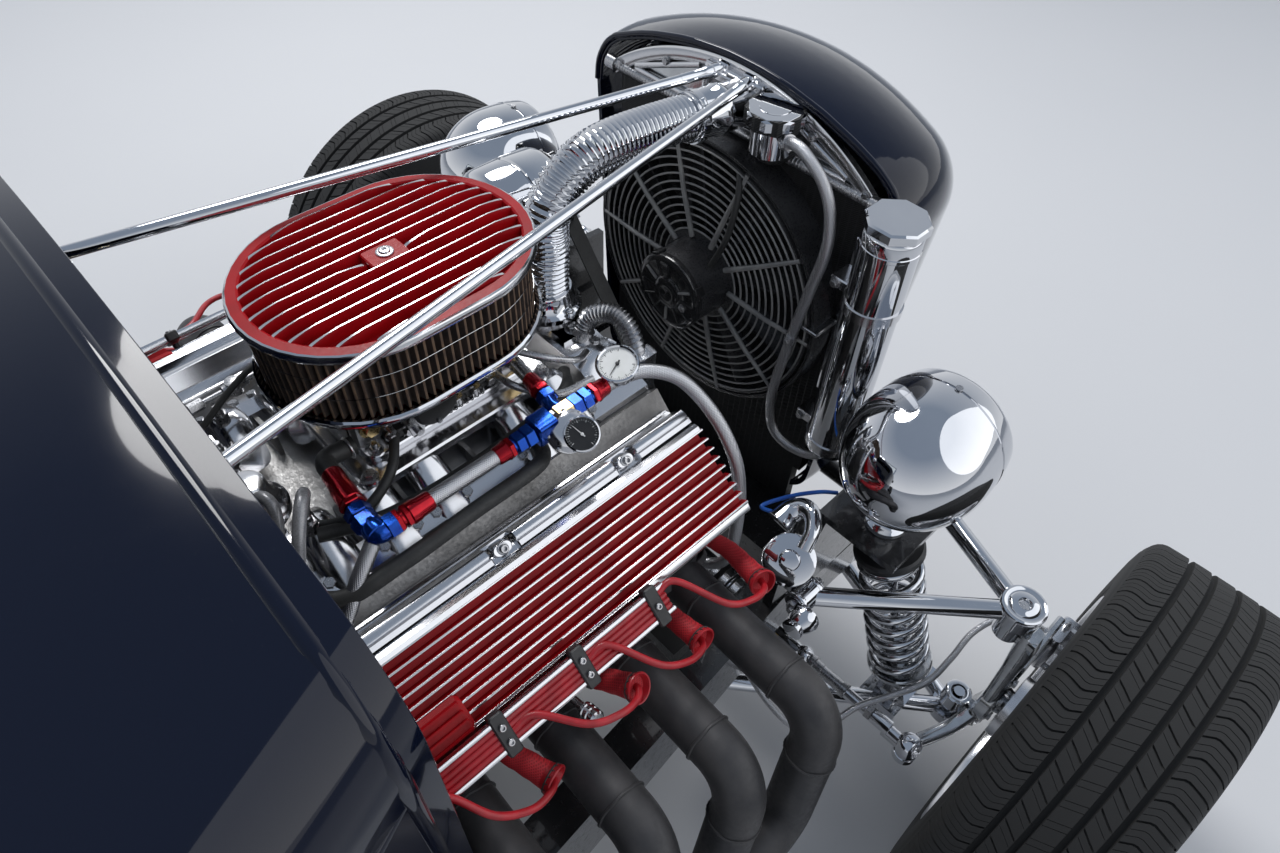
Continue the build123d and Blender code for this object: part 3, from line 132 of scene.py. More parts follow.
class Tree:
    """A material's node tree, built one node at a time."""

    def __init__(self, name: str) -> None:
        """Starts a material with a principled shader.

        Args:
            name: The material's name.
        """
        self.material = bpy.data.materials.new(name)
        self.material.use_nodes = True
        self.tree = self.material.node_tree
        self.tree.nodes.clear()
        self.output = self.tree.nodes.new("ShaderNodeOutputMaterial")
        self.shader = self.tree.nodes.new("ShaderNodeBsdfPrincipled")
        self.link(self.shader.outputs[0], self.output.inputs["Surface"])
        self.place = self.node("ShaderNodeTexCoord").outputs["Object"]

    def node(self, kind: str, **settings: object) -> bpy.types.Node:
        """Adds a node.

        Args:
            kind: The node's type name.
            settings: Values of its properties, or of its inputs by lower-case name.

        Returns:
            The new node.
        """
        made = self.tree.nodes.new(kind)
        for key, value in settings.items():
            socket = next((s for s in made.inputs if s.name.lower() == key.replace("_", " ")), None)
            if socket is None:
                setattr(made, key, value)
            else:
                self.put(value, socket)
        return made

    def put(self, value: object, socket: bpy.types.NodeSocket) -> None:
        """Links a socket or sets a plain value on an input.

        Args:
            value: A socket or a plain value.
            socket: The input that takes it.
        """
        if isinstance(value, bpy.types.NodeSocket):
            self.link(value, socket)
        else:
            socket.default_value = value

    def link(self, start: bpy.types.NodeSocket, end: bpy.types.NodeSocket) -> None:
        """Joins an output to an input."""
        self.tree.links.new(start, end)

    def set(self, **values: object) -> None:
        """Sets or links the shader's own sockets by lower-case name.

        Args:
            values: A value or a socket for each of the shader's sockets named.
        """
        for key, value in values.items():
            wanted = key.replace("_", " ")
            socket = next(s for s in self.shader.inputs if s.name.lower() == wanted)
            if isinstance(value, tuple) and len(value) == 3:
                value = (*value, 1.0)
            self.put(value, socket)

    def noise(
        self, scale: float, detail: float = 3.0, at: bpy.types.NodeSocket | None = None
    ) -> bpy.types.NodeSocket:
        """Noise between 0 and 1 at this many features a metre."""
        source = self.node("ShaderNodeTexNoise", scale=scale, detail=detail, vector=at or self.place)
        return source.outputs["Fac"]

    def stretched(self, factors: Colour) -> bpy.types.NodeSocket:
        """Object coordinates scaled by a factor on each axis."""
        mapping = self.node("ShaderNodeMapping", vector=self.place, scale=factors)
        return mapping.outputs["Vector"]

    def ramp(
        self, value: bpy.types.NodeSocket, low: float, high: float, start: float, end: float
    ) -> bpy.types.NodeSocket:
        """Maps a value from low..high onto start..end, held at the ends.

        Args:
            value: The socket that is mapped.
            low: The value that gives start.
            high: The value that gives end.
            start: The result at the low end.
            end: The result at the high end.

        Returns:
            The mapped value's socket.
        """
        ranged = self.node("ShaderNodeMapRange", clamp=True)
        for socket, number in zip(ranged.inputs[1:5], (low, high, start, end)):
            socket.default_value = number
        self.link(value, ranged.inputs[0])
        return ranged.outputs[0]

    def math(self, operation: str, first: object, second: object = 0.0) -> bpy.types.NodeSocket:
        """One maths operation on two values or sockets.

        Args:
            operation: Blender's name for the operation.
            first: The first number or socket.
            second: The second number or socket.

        Returns:
            The result's socket.
        """
        made = self.node("ShaderNodeMath", operation=operation)
        self.put(first, made.inputs[0])
        self.put(second, made.inputs[1])
        return made.outputs[0]

    def mix(self, factor: bpy.types.NodeSocket, first: Colour, second: Colour) -> bpy.types.NodeSocket:
        """A colour between two, by a factor.

        Args:
            factor: The share of the second colour.
            first: The colour at 0.
            second: The colour at 1.

        Returns:
            The mixed colour's socket.
        """
        made = self.node("ShaderNodeMix", data_type="RGBA")
        self.link(factor, made.inputs[0])
        for socket, value in ((made.inputs[6], first), (made.inputs[7], second)):
            self.put(value if isinstance(value, bpy.types.NodeSocket) else (*value, 1.0), socket)
        return made.outputs[2]

    def bump(self, height: bpy.types.NodeSocket, depth: float, strength: float = 1.0) -> None:
        """Drives the shader's normal from a height map of this depth in metres."""
        made = self.node("ShaderNodeBump", height=height, distance=depth, strength=strength)
        self.link(made.outputs[0], self.shader.inputs["Normal"])


@dataclass(frozen=True)
class Finish:
    """A surface finish with slow colour drift, uneven gloss and a fine grain."""

    name: str
    colour: Colour
    drift: Colour
    roughness: float = 0.4
    spread: float = 0.08
    metallic: float = 0.0
    coat: float = 0.0
    grain: float = 900.0
    depth: float = 0.00004
    patch: float = 9.0
    shine: float = 0.5

    def build(self) -> bpy.types.Material:
        """The finish's material, made once.

        Returns:
            The material.
        """
        found = bpy.data.materials.get(self.name)
        if found:
            return found
        tree = Tree(self.name)
        tree.set(
            metallic=self.metallic, coat_weight=self.coat, coat_roughness=0.03,
            specular_ior_level=self.shine
        )
        self.paint(tree)
        return tree.material

    def paint(self, tree: Tree) -> None:
        """Fills the shader's colour, roughness and grain.

        Args:
            tree: The material's nodes.
        """
        patches = tree.noise(self.patch, 4.0)
        tree.set(base_color=tree.mix(tree.ramp(patches, 0.35, 0.65, 0.0, 1.0), self.colour, self.drift))
        wear = tree.noise(self.patch * 14, 5.0)
        tree.set(
            roughness=tree.ramp(wear, 0.3, 0.7, self.roughness - self.spread, self.roughness + self.spread)
        )
        tree.bump(tree.noise(self.grain, 2.0), self.depth)


@dataclass(frozen=True)
class LacquerFinish(Finish):
    """Deep coach paint under clear lacquer, with a faint orange peel and fine dust."""

    def paint(self, tree: Tree) -> None:
        """Fills the paint under its clear coat.

        Args:
            tree: The material's nodes.
        """
        tree.set(specular_ior_level=0.12, coat_ior=1.33)
        patches = tree.noise(2.2, 3.0)
        tree.set(base_color=tree.mix(patches, self.colour, self.drift))
        dust = tree.node("ShaderNodeTexVoronoi", scale=260.0, vector=tree.place).outputs["Distance"]
        specks = tree.ramp(dust, 0.03, 0.09, 0.25, 0.0)
        haze = tree.ramp(tree.noise(14.0, 6.0), 0.4, 0.75, 0.0, self.spread)
        tree.set(roughness=tree.math("ADD", tree.math("ADD", specks, haze), self.roughness))
        tree.bump(tree.noise(70.0, 1.0), self.depth, 0.35)


@dataclass(frozen=True)
class BrushedFinish(Finish):
    """Polished metal with fine lines along one axis of the car."""

    lines: Colour = (900.0, 14.0, 900.0)

    def paint(self, tree: Tree) -> None:
        """Fills the polished colour, the line-wise gloss and the lines themselves.

        Args:
            tree: The material's nodes.
        """
        along = tree.stretched(self.lines)
        streaks = tree.noise(1.0, 3.0, along)
        patches = tree.noise(self.patch, 4.0)
        tree.set(base_color=tree.mix(patches, self.colour, self.drift))
        gloss = tree.math(
            "ADD", tree.math("MULTIPLY", streaks, self.spread), tree.math("MULTIPLY", patches, self.spread)
        )
        tree.set(roughness=tree.math("ADD", gloss, self.roughness - self.spread))
        tree.bump(streaks, self.depth, 0.5)


@dataclass(frozen=True)
class WovenFinish(Finish):
    """Braided or woven threads: two crossing sets of diagonal waves."""

    pitch: float = 700.0

    def paint(self, tree: Tree) -> None:
        """Fills the crossing strands.

        Args:
            tree: The material's nodes.
        """
        waves = []
        for turn in (0.6, -0.6):
            turned = tree.node("ShaderNodeMapping", vector=tree.place, rotation=(turn, turn, turn))
            wave = tree.node(
                "ShaderNodeTexWave", scale=self.pitch / 6.283, distortion=0.4, vector=turned.outputs[0]
            )
            waves.append(wave.outputs["Fac"])
        weave = tree.math("MAXIMUM", waves[0], waves[1])
        tree.set(base_color=tree.mix(weave, self.drift, self.colour))
        tree.set(roughness=tree.ramp(weave, 0.0, 1.0, self.roughness + self.spread, self.roughness))
        tree.bump(weave, self.depth)


@dataclass(frozen=True)
class LeatherFinish(Finish):
    """Grained leather, with creases between small pebbles and a darker tone in the low places."""

    def paint(self, tree: Tree) -> None:
        """Fills the pebbled grain.

        Args:
            tree: The material's nodes.
        """
        cells = tree.node("ShaderNodeTexVoronoi", scale=self.grain, vector=tree.place).outputs["Distance"]
        pebbles = tree.ramp(cells, 0.0, 0.6, 1.0, 0.0)
        wrinkles = tree.noise(60.0, 6.0)
        tree.set(base_color=tree.mix(tree.math("MULTIPLY", pebbles, wrinkles), self.drift, self.colour))
        tree.set(
            roughness=tree.ramp(
                wrinkles, 0.3, 0.7, self.roughness - self.spread, self.roughness + self.spread
            )
        )
        tree.bump(tree.math("ADD", pebbles, tree.math("MULTIPLY", wrinkles, 1.5)), self.depth)


@dataclass(frozen=True)
class CoreFinish(Finish):
    """Radiator core: fine level fins folded between upright tubes."""

    def paint(self, tree: Tree) -> None:
        """Fills the fins and tubes by the place across and up the core.

        Args:
            tree: The material's nodes.
        """
        axes = tree.node("ShaderNodeSeparateXYZ", vector=tree.place)
        across = tree.math("MODULO", tree.math("ADD", axes.outputs["X"], 10.0), 0.011)
        tubes = tree.math("LESS_THAN", across, 0.002)
        up = tree.math("PINGPONG", tree.math("ADD", axes.outputs["Z"], across), 0.0016)
        fins = tree.ramp(up, 0.0002, 0.0014, 0.0, 1.0)
        ridge = tree.math("MAXIMUM", fins, tubes)
        # The gaps between fins and tubes take the darker colour: painted shade in the core's openings.
        tree.set(base_color=tree.mix(ridge, self.drift, self.colour))
        tree.set(roughness=tree.ramp(ridge, 0.0, 1.0, self.roughness + self.spread, self.roughness))
        tree.bump(ridge, self.depth)


@dataclass(frozen=True)
class GlassFinish(Finish):
    """Clear glass or lens, with a trace of wiping marks in its gloss."""

    def paint(self, tree: Tree) -> None:
        """Fills the clear body and its faint marks.

        Args:
            tree: The material's nodes.
        """
        tree.set(transmission_weight=1.0, ior=1.45)
        marks = tree.noise(6.0, 6.0)
        tree.set(base_color=tree.mix(marks, self.colour, self.drift))
        tree.set(roughness=tree.ramp(marks, 0.5, 0.8, self.roughness, self.roughness + self.spread))


CHROME = Finish(
    "mirror_chrome", (0.68, 0.69, 0.71), (0.62, 0.63, 0.66), 0.045, 0.025, 1.0, 0.0, 300.0, 0.000004
)
WORN_CHROME = Finish(
    "dusty_chrome", (0.6, 0.61, 0.62), (0.48, 0.49, 0.5), 0.12, 0.07, 1.0, 0.0, 700.0, 0.00001, 30.0
)
ALLOY = BrushedFinish(
    "polished_aluminium", (0.74, 0.74, 0.75), (0.62, 0.62, 0.64), 0.18, 0.07, 1.0, depth=0.000012
)
CAST = Finish(
    "cast_aluminium", (0.62, 0.62, 0.63), (0.5, 0.5, 0.51), 0.36, 0.1, 1.0, 0.0, 420.0, 0.00018, 22.0
)
STEEL = Finish("machined_steel", (0.5, 0.5, 0.51), (0.4, 0.4, 0.41), 0.3, 0.1, 1.0, 0.0, 800.0, 0.00003, 40.0)
BRASS = Finish("brass_fitting", (0.8, 0.62, 0.32), (0.68, 0.5, 0.24), 0.25, 0.08, 1.0, patch=60.0)
PAINT = LacquerFinish(
    "black_coach_paint", (0.0018, 0.0036, 0.012), (0.0026, 0.005, 0.017), 0.08, 0.05, 0.0, 1.0,
    depth=0.00006
)
CHASSIS = Finish(
    "black_chassis_gloss", (0.012, 0.012, 0.013), (0.02, 0.02, 0.021), 0.22, 0.08, 0.0, 0.6, 500.0, 0.00005
)
BLOCK = Finish(
    "black_block_paint", (0.018, 0.018, 0.019), (0.03, 0.029, 0.028), 0.42, 0.1, 0.0, 0.2, 380.0, 0.0002,
    20.0
)
RED = Finish(
    "red_enamel", (0.36, 0.004, 0.008), (0.27, 0.003, 0.006), 0.36, 0.07, 0.0, 0.0, 1500.0, 0.00003, 25.0,
    0.16
)
RED_DYE = Finish(
    "red_anodised", (0.5, 0.008, 0.02), (0.36, 0.005, 0.014), 0.2, 0.07, 0.85, 0.2, 900.0, 0.00001, 70.0
)
BLUE_DYE = Finish(
    "blue_anodised", (0.01, 0.09, 0.5), (0.008, 0.05, 0.34), 0.18, 0.07, 0.85, 0.2, 900.0, 0.00001, 70.0
)
SATIN_BLACK = Finish(
    "satin_black_plastic", (0.014, 0.014, 0.015), (0.026, 0.026, 0.027), 0.42, 0.1, 0.0, 0.0, 1400.0,
    0.00006, 30.0
)
GLOSS_BLACK = Finish(
    "gloss_black_plastic", (0.012, 0.012, 0.013), (0.02, 0.02, 0.021), 0.2, 0.08, 0.0, 0.3, 900.0, 0.00004,
    30.0
)
RUBBER = Finish(
    "black_rubber", (0.016, 0.016, 0.016), (0.03, 0.03, 0.029), 0.55, 0.12, 0.0, 0.0, 1200.0, 0.00008, 30.0
)
TYRE = Finish(
    "tyre_rubber", (0.032, 0.032, 0.033), (0.075, 0.072, 0.068), 0.62, 0.12, 0.0, 0.0, 1500.0, 0.00015, 16.0
)
HEADER = Finish(
    "header_ceramic", (0.03, 0.03, 0.033), (0.065, 0.062, 0.062), 0.5, 0.1, 0.35, 0.0, 1800.0, 0.0001, 14.0
)
SLEEVE = Finish(
    "red_silicone_lead", (0.42, 0.008, 0.016), (0.3, 0.005, 0.01), 0.42, 0.1, 0.0, 0.15, 900.0, 0.00005,
    60.0
)
BOOT = WovenFinish(
    "red_glass_sleeve", (0.46, 0.012, 0.02), (0.2, 0.003, 0.007), 0.6, 0.1, depth=0.00025, pitch=900.0
)
BRAID = WovenFinish(
    "steel_braid", (0.66, 0.66, 0.68), (0.2, 0.2, 0.21), 0.26, 0.2, 1.0, depth=0.0003, pitch=1100.0
)
CARPET = WovenFinish(
    "loop_carpet", (0.045, 0.045, 0.05), (0.015, 0.015, 0.017), 0.9, 0.05, depth=0.0015, pitch=260.0
)
ELEMENT = Finish(
    "filter_element", (0.05, 0.032, 0.024), (0.02, 0.014, 0.012), 0.85, 0.08, 0.0, 0.0, 1600.0, 0.0002, 60.0
)
# Painted highlight: a lighter brown for the pleats' outer crests, standing in for light catching them.
PLEAT_PAINTED_HIGHLIGHT = Finish(
    "filter_pleat_edge", (0.16, 0.1, 0.06), (0.08, 0.05, 0.035), 0.8, 0.1, 0.0, 0.0, 1600.0, 0.0002, 80.0
)
LEATHER = LeatherFinish(
    "oxblood_leather", (0.21, 0.022, 0.02), (0.1, 0.01, 0.009), 0.42, 0.1, grain=420.0, depth=0.0003
)
# The core's second, darker colour is painted shade for the gaps between its fins and tubes.
CORE = CoreFinish("radiator_core", (0.035, 0.035, 0.036), (0.006, 0.006, 0.006), 0.45, 0.2, 0.3, depth=0.0008)
LAMP_GLASS = GlassFinish("lamp_glass", (0.97, 0.98, 1.0), (0.93, 0.95, 0.97), 0.0, 0.04)
SCREEN_GLASS = GlassFinish("screen_glass", (0.93, 0.98, 0.96), (0.9, 0.95, 0.93), 0.0, 0.02)
RED_GLASS = GlassFinish("red_lens", (0.75, 0.01, 0.01), (0.6, 0.006, 0.006), 0.05, 0.05)
DIAL = Finish("white_dial", (0.82, 0.82, 0.8), (0.76, 0.76, 0.73), 0.35, 0.05, 0.0, 0.5, 900.0, 0.00001, 60.0)
INK = Finish("black_print", (0.02, 0.02, 0.02), (0.03, 0.03, 0.03), 0.4, 0.05, patch=60.0)
HOSE_GREY = Finish(
    "silver_grey_hose", (0.3, 0.3, 0.31), (0.2, 0.2, 0.21), 0.3, 0.1, 0.3, 0.2, 900.0, 0.00005, 60.0
)
ENGINE_TURNED = BrushedFinish(
    "engine_turned_alloy", (0.74, 0.74, 0.75), (0.5, 0.5, 0.52), 0.2, 0.12, 1.0, patch=120.0,
    lines=(260.0, 260.0, 260.0)
)
IVORY = Finish("ivory_knob", (0.7, 0.62, 0.45), (0.62, 0.53, 0.36), 0.2, 0.06, 0.0, 0.6, 900.0, 0.00002, 40.0)
GRIP = Finish(
    "black_grip", (0.02, 0.019, 0.018), (0.035, 0.032, 0.03), 0.35, 0.1, 0.0, 0.2, 700.0, 0.0001, 40.0
)
HEAD_IRON = Finish(
    "cast_head_metal", (0.24, 0.235, 0.23), (0.15, 0.145, 0.14), 0.42, 0.12, 0.9, 0.0, 420.0, 0.0002, 20.0
)
VALLEY = Finish(
    "dull_valley_casting", (0.34, 0.335, 0.33), (0.2, 0.195, 0.19), 0.42, 0.12, 0.8, 0.0, 420.0, 0.00025,
    20.0
)
GUARD = Finish(
    "fan_guard_plastic", (0.022, 0.022, 0.024), (0.04, 0.04, 0.042), 0.3, 0.08, 0.0, 0.25, 1400.0, 0.00005,
    30.0
)
# Painted highlight: a pale copy of the fan guard's black plastic, standing in for sunlight on its rings and
# spokes.
GUARD_PAINTED_HIGHLIGHT = Finish(
    "sunned_guard_plastic", (0.2, 0.2, 0.2), (0.3, 0.296, 0.285), 0.34, 0.08, 0.0, 0.2, 1400.0, 0.00005,
    40.0
)
BLUE_WIRE = Finish("blue_wire", (0.01, 0.12, 0.5), (0.01, 0.08, 0.4), 0.4, 0.08, patch=60.0)
YELLOW = Finish("yellow_sleeve", (0.75, 0.5, 0.02), (0.6, 0.4, 0.02), 0.45, 0.08, patch=60.0)


def frame_on(origin: Vector, axis: Vector, up: Vector | None = None) -> Matrix:
    """A matrix whose local Z runs along an axis.

    Args:
        origin: Where its origin lies.
        axis: Its local Z.
        up: A hint for its local Y.

    Returns:
        The matrix.
    """
    z = axis.normalized()
    hint = up if up is not None else (Vector((0, 0, 1)) if abs(z.z) < 0.9 else Vector((0, 1, 0)))
    x = hint.cross(z).normalized()
    y = z.cross(x)
    return Matrix.Translation(origin) @ Matrix((x, y, z)).transposed().to_4x4()


def curve_through(points: Sequence[Vector], steps: int = 8) -> list[Vector]:
    """A smooth path through every point.

    Args:
        points: The points passed.
        steps: Points from one to the next.

    Returns:
        The points along the path.
    """
    ends = [points[0] * 2 - points[1], *points, points[-1] * 2 - points[-2]]
    path = []
    for p0, p1, p2, p3 in zip(ends, ends[1:], ends[2:], ends[3:]):
        for step in range(steps):
            t = step / steps
            path.append(
                0.5 * (
                    2 * p1 + (p2 - p0) * t + (2 * p0 - 5 * p1 + 4 * p2 - p3) * t**2
                    + (3 * p1 - p0 - 3 * p2 + p3) * t**3
                )
            )
    return path + [points[-1]]


def frames_along(path: Sequence[Vector]) -> list[Matrix]:
    """Frames carried along a path without twist, local Z along it.

    Args:
        path: The points of a centre line.

    Returns:
        One frame for each point.
    """
    frames = []
    side = None
    for i, point in enumerate(path):
        tangent = (path[min(i + 1, len(path) - 1)] - path[max(i - 1, 0)]).normalized()
        if side is None:
            side = frame_on(point, tangent).col[0].to_3d()
        side = (side - tangent * side.dot(tangent)).normalized()
        turn = Matrix((side, tangent.cross(side), tangent)).transposed()
        frames.append(Matrix.Translation(point) @ turn.to_4x4())
    return frames


def oval_outline(length: float, width: float, steps: int = 16) -> list[tuple[float, float]]:
    """A flat-sided oval, its length along the second axis.

    Args:
        length: Its length over both round ends.
        width: Its width.
        steps: Steps in each round end.

    Returns:
        The points in order round it.
    """
    radius, half = width / 2, (length - width) / 2
    points = []
    for end, start in ((1, 0.0), (-1, math.pi)):
        for step in range(steps + 1):
            angle = start + math.pi * step / steps
            points.append((radius * math.cos(angle), end * half + radius * math.sin(angle)))
    return points


def inset_outline(outline: Sequence[tuple[float, float]], inset: float) -> list[tuple[float, float]]:
    """An outline moved inwards, for a shape whose centre is its own origin.

    Args:
        outline: Its points in order, anticlockwise.
        inset: How far in each point moves.

    Returns:
        The moved points.
    """
    result = []
    count = len(outline)
    for i, (x, y) in enumerate(outline):
        back, on = Vector(outline[i - 1]), Vector(outline[(i + 1) % count])
        run = (on - back).normalized()
        result.append((x - run.y * inset, y + run.x * inset))
    return result


def box_outline(width: float, height: float, corner: float, steps: int = 4) -> list[tuple[float, float]]:
    """A rectangle with round corners about its own centre.

    Args:
        width: Its size along the first axis.
        height: Its size along the second axis.
        corner: The corners' radius.
        steps: Steps in each corner.

    Returns:
        The points in order round it.
    """
    points = []
    for quarter, (sx, sy) in enumerate(((1, 1), (-1, 1), (-1, -1), (1, -1))):
        for step in range(steps + 1):
            angle = math.pi / 2 * (quarter + step / steps)
            cx, cy = sx * (width / 2 - corner), sy * (height / 2 - corner)
            points.append((cx + corner * math.cos(angle), cy + corner * math.sin(angle)))
    return points


class Shape:
    """The mesh of one piece, gathered face by face with a finish for each."""

    def __init__(self, name: str) -> None:
        """Starts an empty piece.

        Args:
            name: The piece's name.
        """
        self.name = name
        self.mesh = bmesh.new()
        self.marks: list[bmesh.types.BMFace] = []

    def rings(
        self,
        rings: Sequence[Sequence[Vector]],
        finish: int = 0,
        closed: bool = True,
        caps: bool = True,
        joined: bool = False,
    ) -> None:
        """Skins a run of rings.

        Args:
            rings: Rings with the same count of points.
            finish: The finish's place in the piece's list.
            closed: Whether each ring closes on itself.
            caps: Whether the first and last rings are filled.
            joined: Whether the last ring joins the first.
        """
        rows = [[self.mesh.verts.new(p) for p in ring] for ring in rings]
        pairs = list(zip(rows, rows[1:])) + ([(rows[-1], rows[0])] if joined else [])
        count = len(rows[0])
        for low, high in pairs:
            for i in range(count if closed else count - 1):
                j = (i + 1) % count
                self.face((low[i], low[j], high[j], high[i]), finish)
        if caps and closed and not joined:
            self.face(tuple(reversed(rows[0])), finish)
            self.face(tuple(rows[-1]), finish)

    def face(self, verts: Sequence[bmesh.types.BMVert], finish: int) -> None:
        """One face with its finish.

        Args:
            verts: Its corners in order.
            finish: The finish's place in the piece's list.
        """
        made = self.mesh.faces.new(verts)
        made.material_index = finish
        made.smooth = True

    def tube(
        self, path: Sequence[Vector], radius: float | Sequence[float], sides: int = 16, finish: int = 0,
        caps: bool = True
    ) -> None:
        """A round bar or hose along a path.

        Args:
            path: The points of its centre line.
            radius: One radius in metres, or one for each point.
            sides: Points round it.
            finish: The finish's place in the piece's list.
            caps: Whether its ends are filled.
        """
        radii = [radius] * len(path) if isinstance(radius, float) else list(radius)
        rings = []
        for turn, r in zip(frames_along(path), radii):
            ring = [
                (math.cos(a) * r, math.sin(a) * r) for a in (2 * math.pi * i / sides for i in range(sides))
            ]
            rings.append([turn @ Vector((x, y, 0)) for x, y in ring])
        self.rings(rings, finish, caps=caps)

    def lathe(
        self, profile: Sequence[tuple[float, float]], turn: Matrix, sides: int = 40, finish: int = 0,
        joined: bool = False
    ) -> None:
        """A turned shape about a frame's Z.

        Args:
            profile: Millimetre pairs of distance along the axis and radius.
            turn: The frame it turns about.
            sides: Points round it.
            finish: The finish's place in the piece's list.
            joined: Whether the profile closes on itself, as a ring's does.
        """
        rings = []
        for along, radius in profile:
            r = max(radius, 0.01) * MM
            angles = (2 * math.pi * i / sides for i in range(sides))
            rings.append([turn @ Vector((r * math.cos(a), r * math.sin(a), along * MM)) for a in angles])
        self.rings(rings, finish, joined=joined)

    def prism(
        self, outline: Sequence[tuple[float, float]], turn: Matrix, low: float, high: float,
        finish: int = 0, edge: float = 0.8
    ) -> None:
        """An outline given depth, with a small bevel round both faces.

        Args:
            outline: Millimetre pairs about the frame's origin.
            turn: The frame, local Z through the depth.
            low: The first face's height in millimetres.
            high: The second face's height in millimetres.
            finish: The finish's place in the piece's list.
            edge: The bevel in millimetres.
        """
        inner = inset_outline(outline, edge)
        rows = ((inner, low), (outline, low + edge), (outline, high - edge), (inner, high))
        self.rings([[turn @ Vector((x * MM, y * MM, z * MM)) for x, y in row] for row, z in rows], finish)

    def block(self, low: Vector, high: Vector, finish: int = 0, edge: float = 1.0) -> None:
        """A block between two corners, with its edges broken.

        Args:
            low: Its lowest corner, in metres.
            high: Its highest corner, in metres.
            finish: The finish's place in the piece's list.
            edge: The size of its broken edges, in millimetres.
        """
        middle, size = (low + high) / 2, (high - low) / MM
        turn = Matrix.Translation(middle)
        self.prism(box_outline(size.x, size.y, edge, 2), turn, -size.z / 2, size.z / 2, finish, edge * 0.8)

    def bolt(
        self, point: Vector, axis: Vector, radius: float = 5.0, height: float = 5.0, finish: int = 0
    ) -> None:
        """A hexagon bolt head on a washer.

        Args:
            point: Its seat.
            axis: The way it stands.
            radius: Half its width over corners, in millimetres.
            height: The head's height in millimetres.
            finish: The finish's place in the piece's list.
        """
        turn = frame_on(point, axis)
        self.lathe(((-1.0, radius * 1.35), (0.6, radius * 1.35), (0.9, radius * 1.2)), turn, 18, finish)
        head = [(radius * math.cos(math.pi / 3 * i), radius * math.sin(math.pi / 3 * i)) for i in range(6)]
        self.prism(head, turn, 0.5, height, finish, radius * 0.1)

    def ring(
        self, turn: Matrix, radius: float, thickness: float, finish: int = 0, sides: int = 48,
        around: int = 10
    ) -> None:
        """A round ring of round section, sizes in millimetres.

        Args:
            turn: The frame whose Z it lies round.
            radius: From its centre to its section's centre.
            thickness: The section's radius.
            finish: The finish's place in the piece's list.
            sides: Points round the ring.
            around: Points round the section.
        """
        steps = [2 * math.pi * i / around for i in range(around)]
        profile = [(thickness * math.sin(a), radius + thickness * math.cos(a)) for a in steps]
        self.lathe(profile, turn, sides, finish, joined=True)

    def mirrored(self) -> None:
        """Adds the piece's mirror image across the centre line."""
        kept = list(self.mesh.faces)
        copied = bmesh.ops.duplicate(
            self.mesh, geom=kept + list(self.mesh.edges) + list(self.mesh.verts)
        )["geom"]
        for item in copied:
            if isinstance(item, bmesh.types.BMVert):
                item.co.x = -item.co.x
        flipped = [item for item in copied if isinstance(item, bmesh.types.BMFace)]
        bmesh.ops.reverse_faces(self.mesh, faces=flipped)

    def build(
        self,
        body: str,
        finishes: Sequence[Finish],
        slot: Slot,
        stands_for: Sequence[str] = (),
        crease: float = 38.0,
    ) -> bpy.types.Object:
        """Makes the piece's object and ties it to the frame.

        Args:
            body: The CAD body it moves with; empty leaves the piece unattached.
            finishes: Its finishes, in the order of the faces' numbers.
            slot: The record's material slot; not used.
            stands_for: CAD nodes that it replaces.
            crease: Edges sharper than this many degrees stay sharp.

        Returns:
            The object.
        """
        bmesh.ops.recalc_face_normals(self.mesh, faces=self.mesh.faces)
        data = bpy.data.meshes.new(self.name)
        self.mesh.to_mesh(data)
        self.mesh.free()
        obj = bpy.data.objects.new(self.name, data)
        bpy.context.scene.collection.objects.link(obj)
        for finish in finishes:
            data.materials.append(finish.build())
        data.set_sharp_from_angle(angle=math.radians(crease))
        if body:
            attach(obj, body)
        if stands_for:
            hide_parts(*stands_for)
        return obj


def dress(node: str, finish: Finish, crease: float = 32.0) -> None:
    """Gives a CAD node its finish and smooth shading between its sharp edges.

    Args:
        node: The CAD node's name.
        finish: Its finish.
        crease: Edges sharper than this many degrees stay sharp.
    """
    obj = frame["nodes"][node]
    obj.data.materials.clear()
    obj.data.materials.append(finish.build())
    for polygon in obj.data.polygons:
        polygon.use_smooth = True
    obj.data.set_sharp_from_angle(angle=math.radians(crease))


CHASSIS_BODY = "chassis"


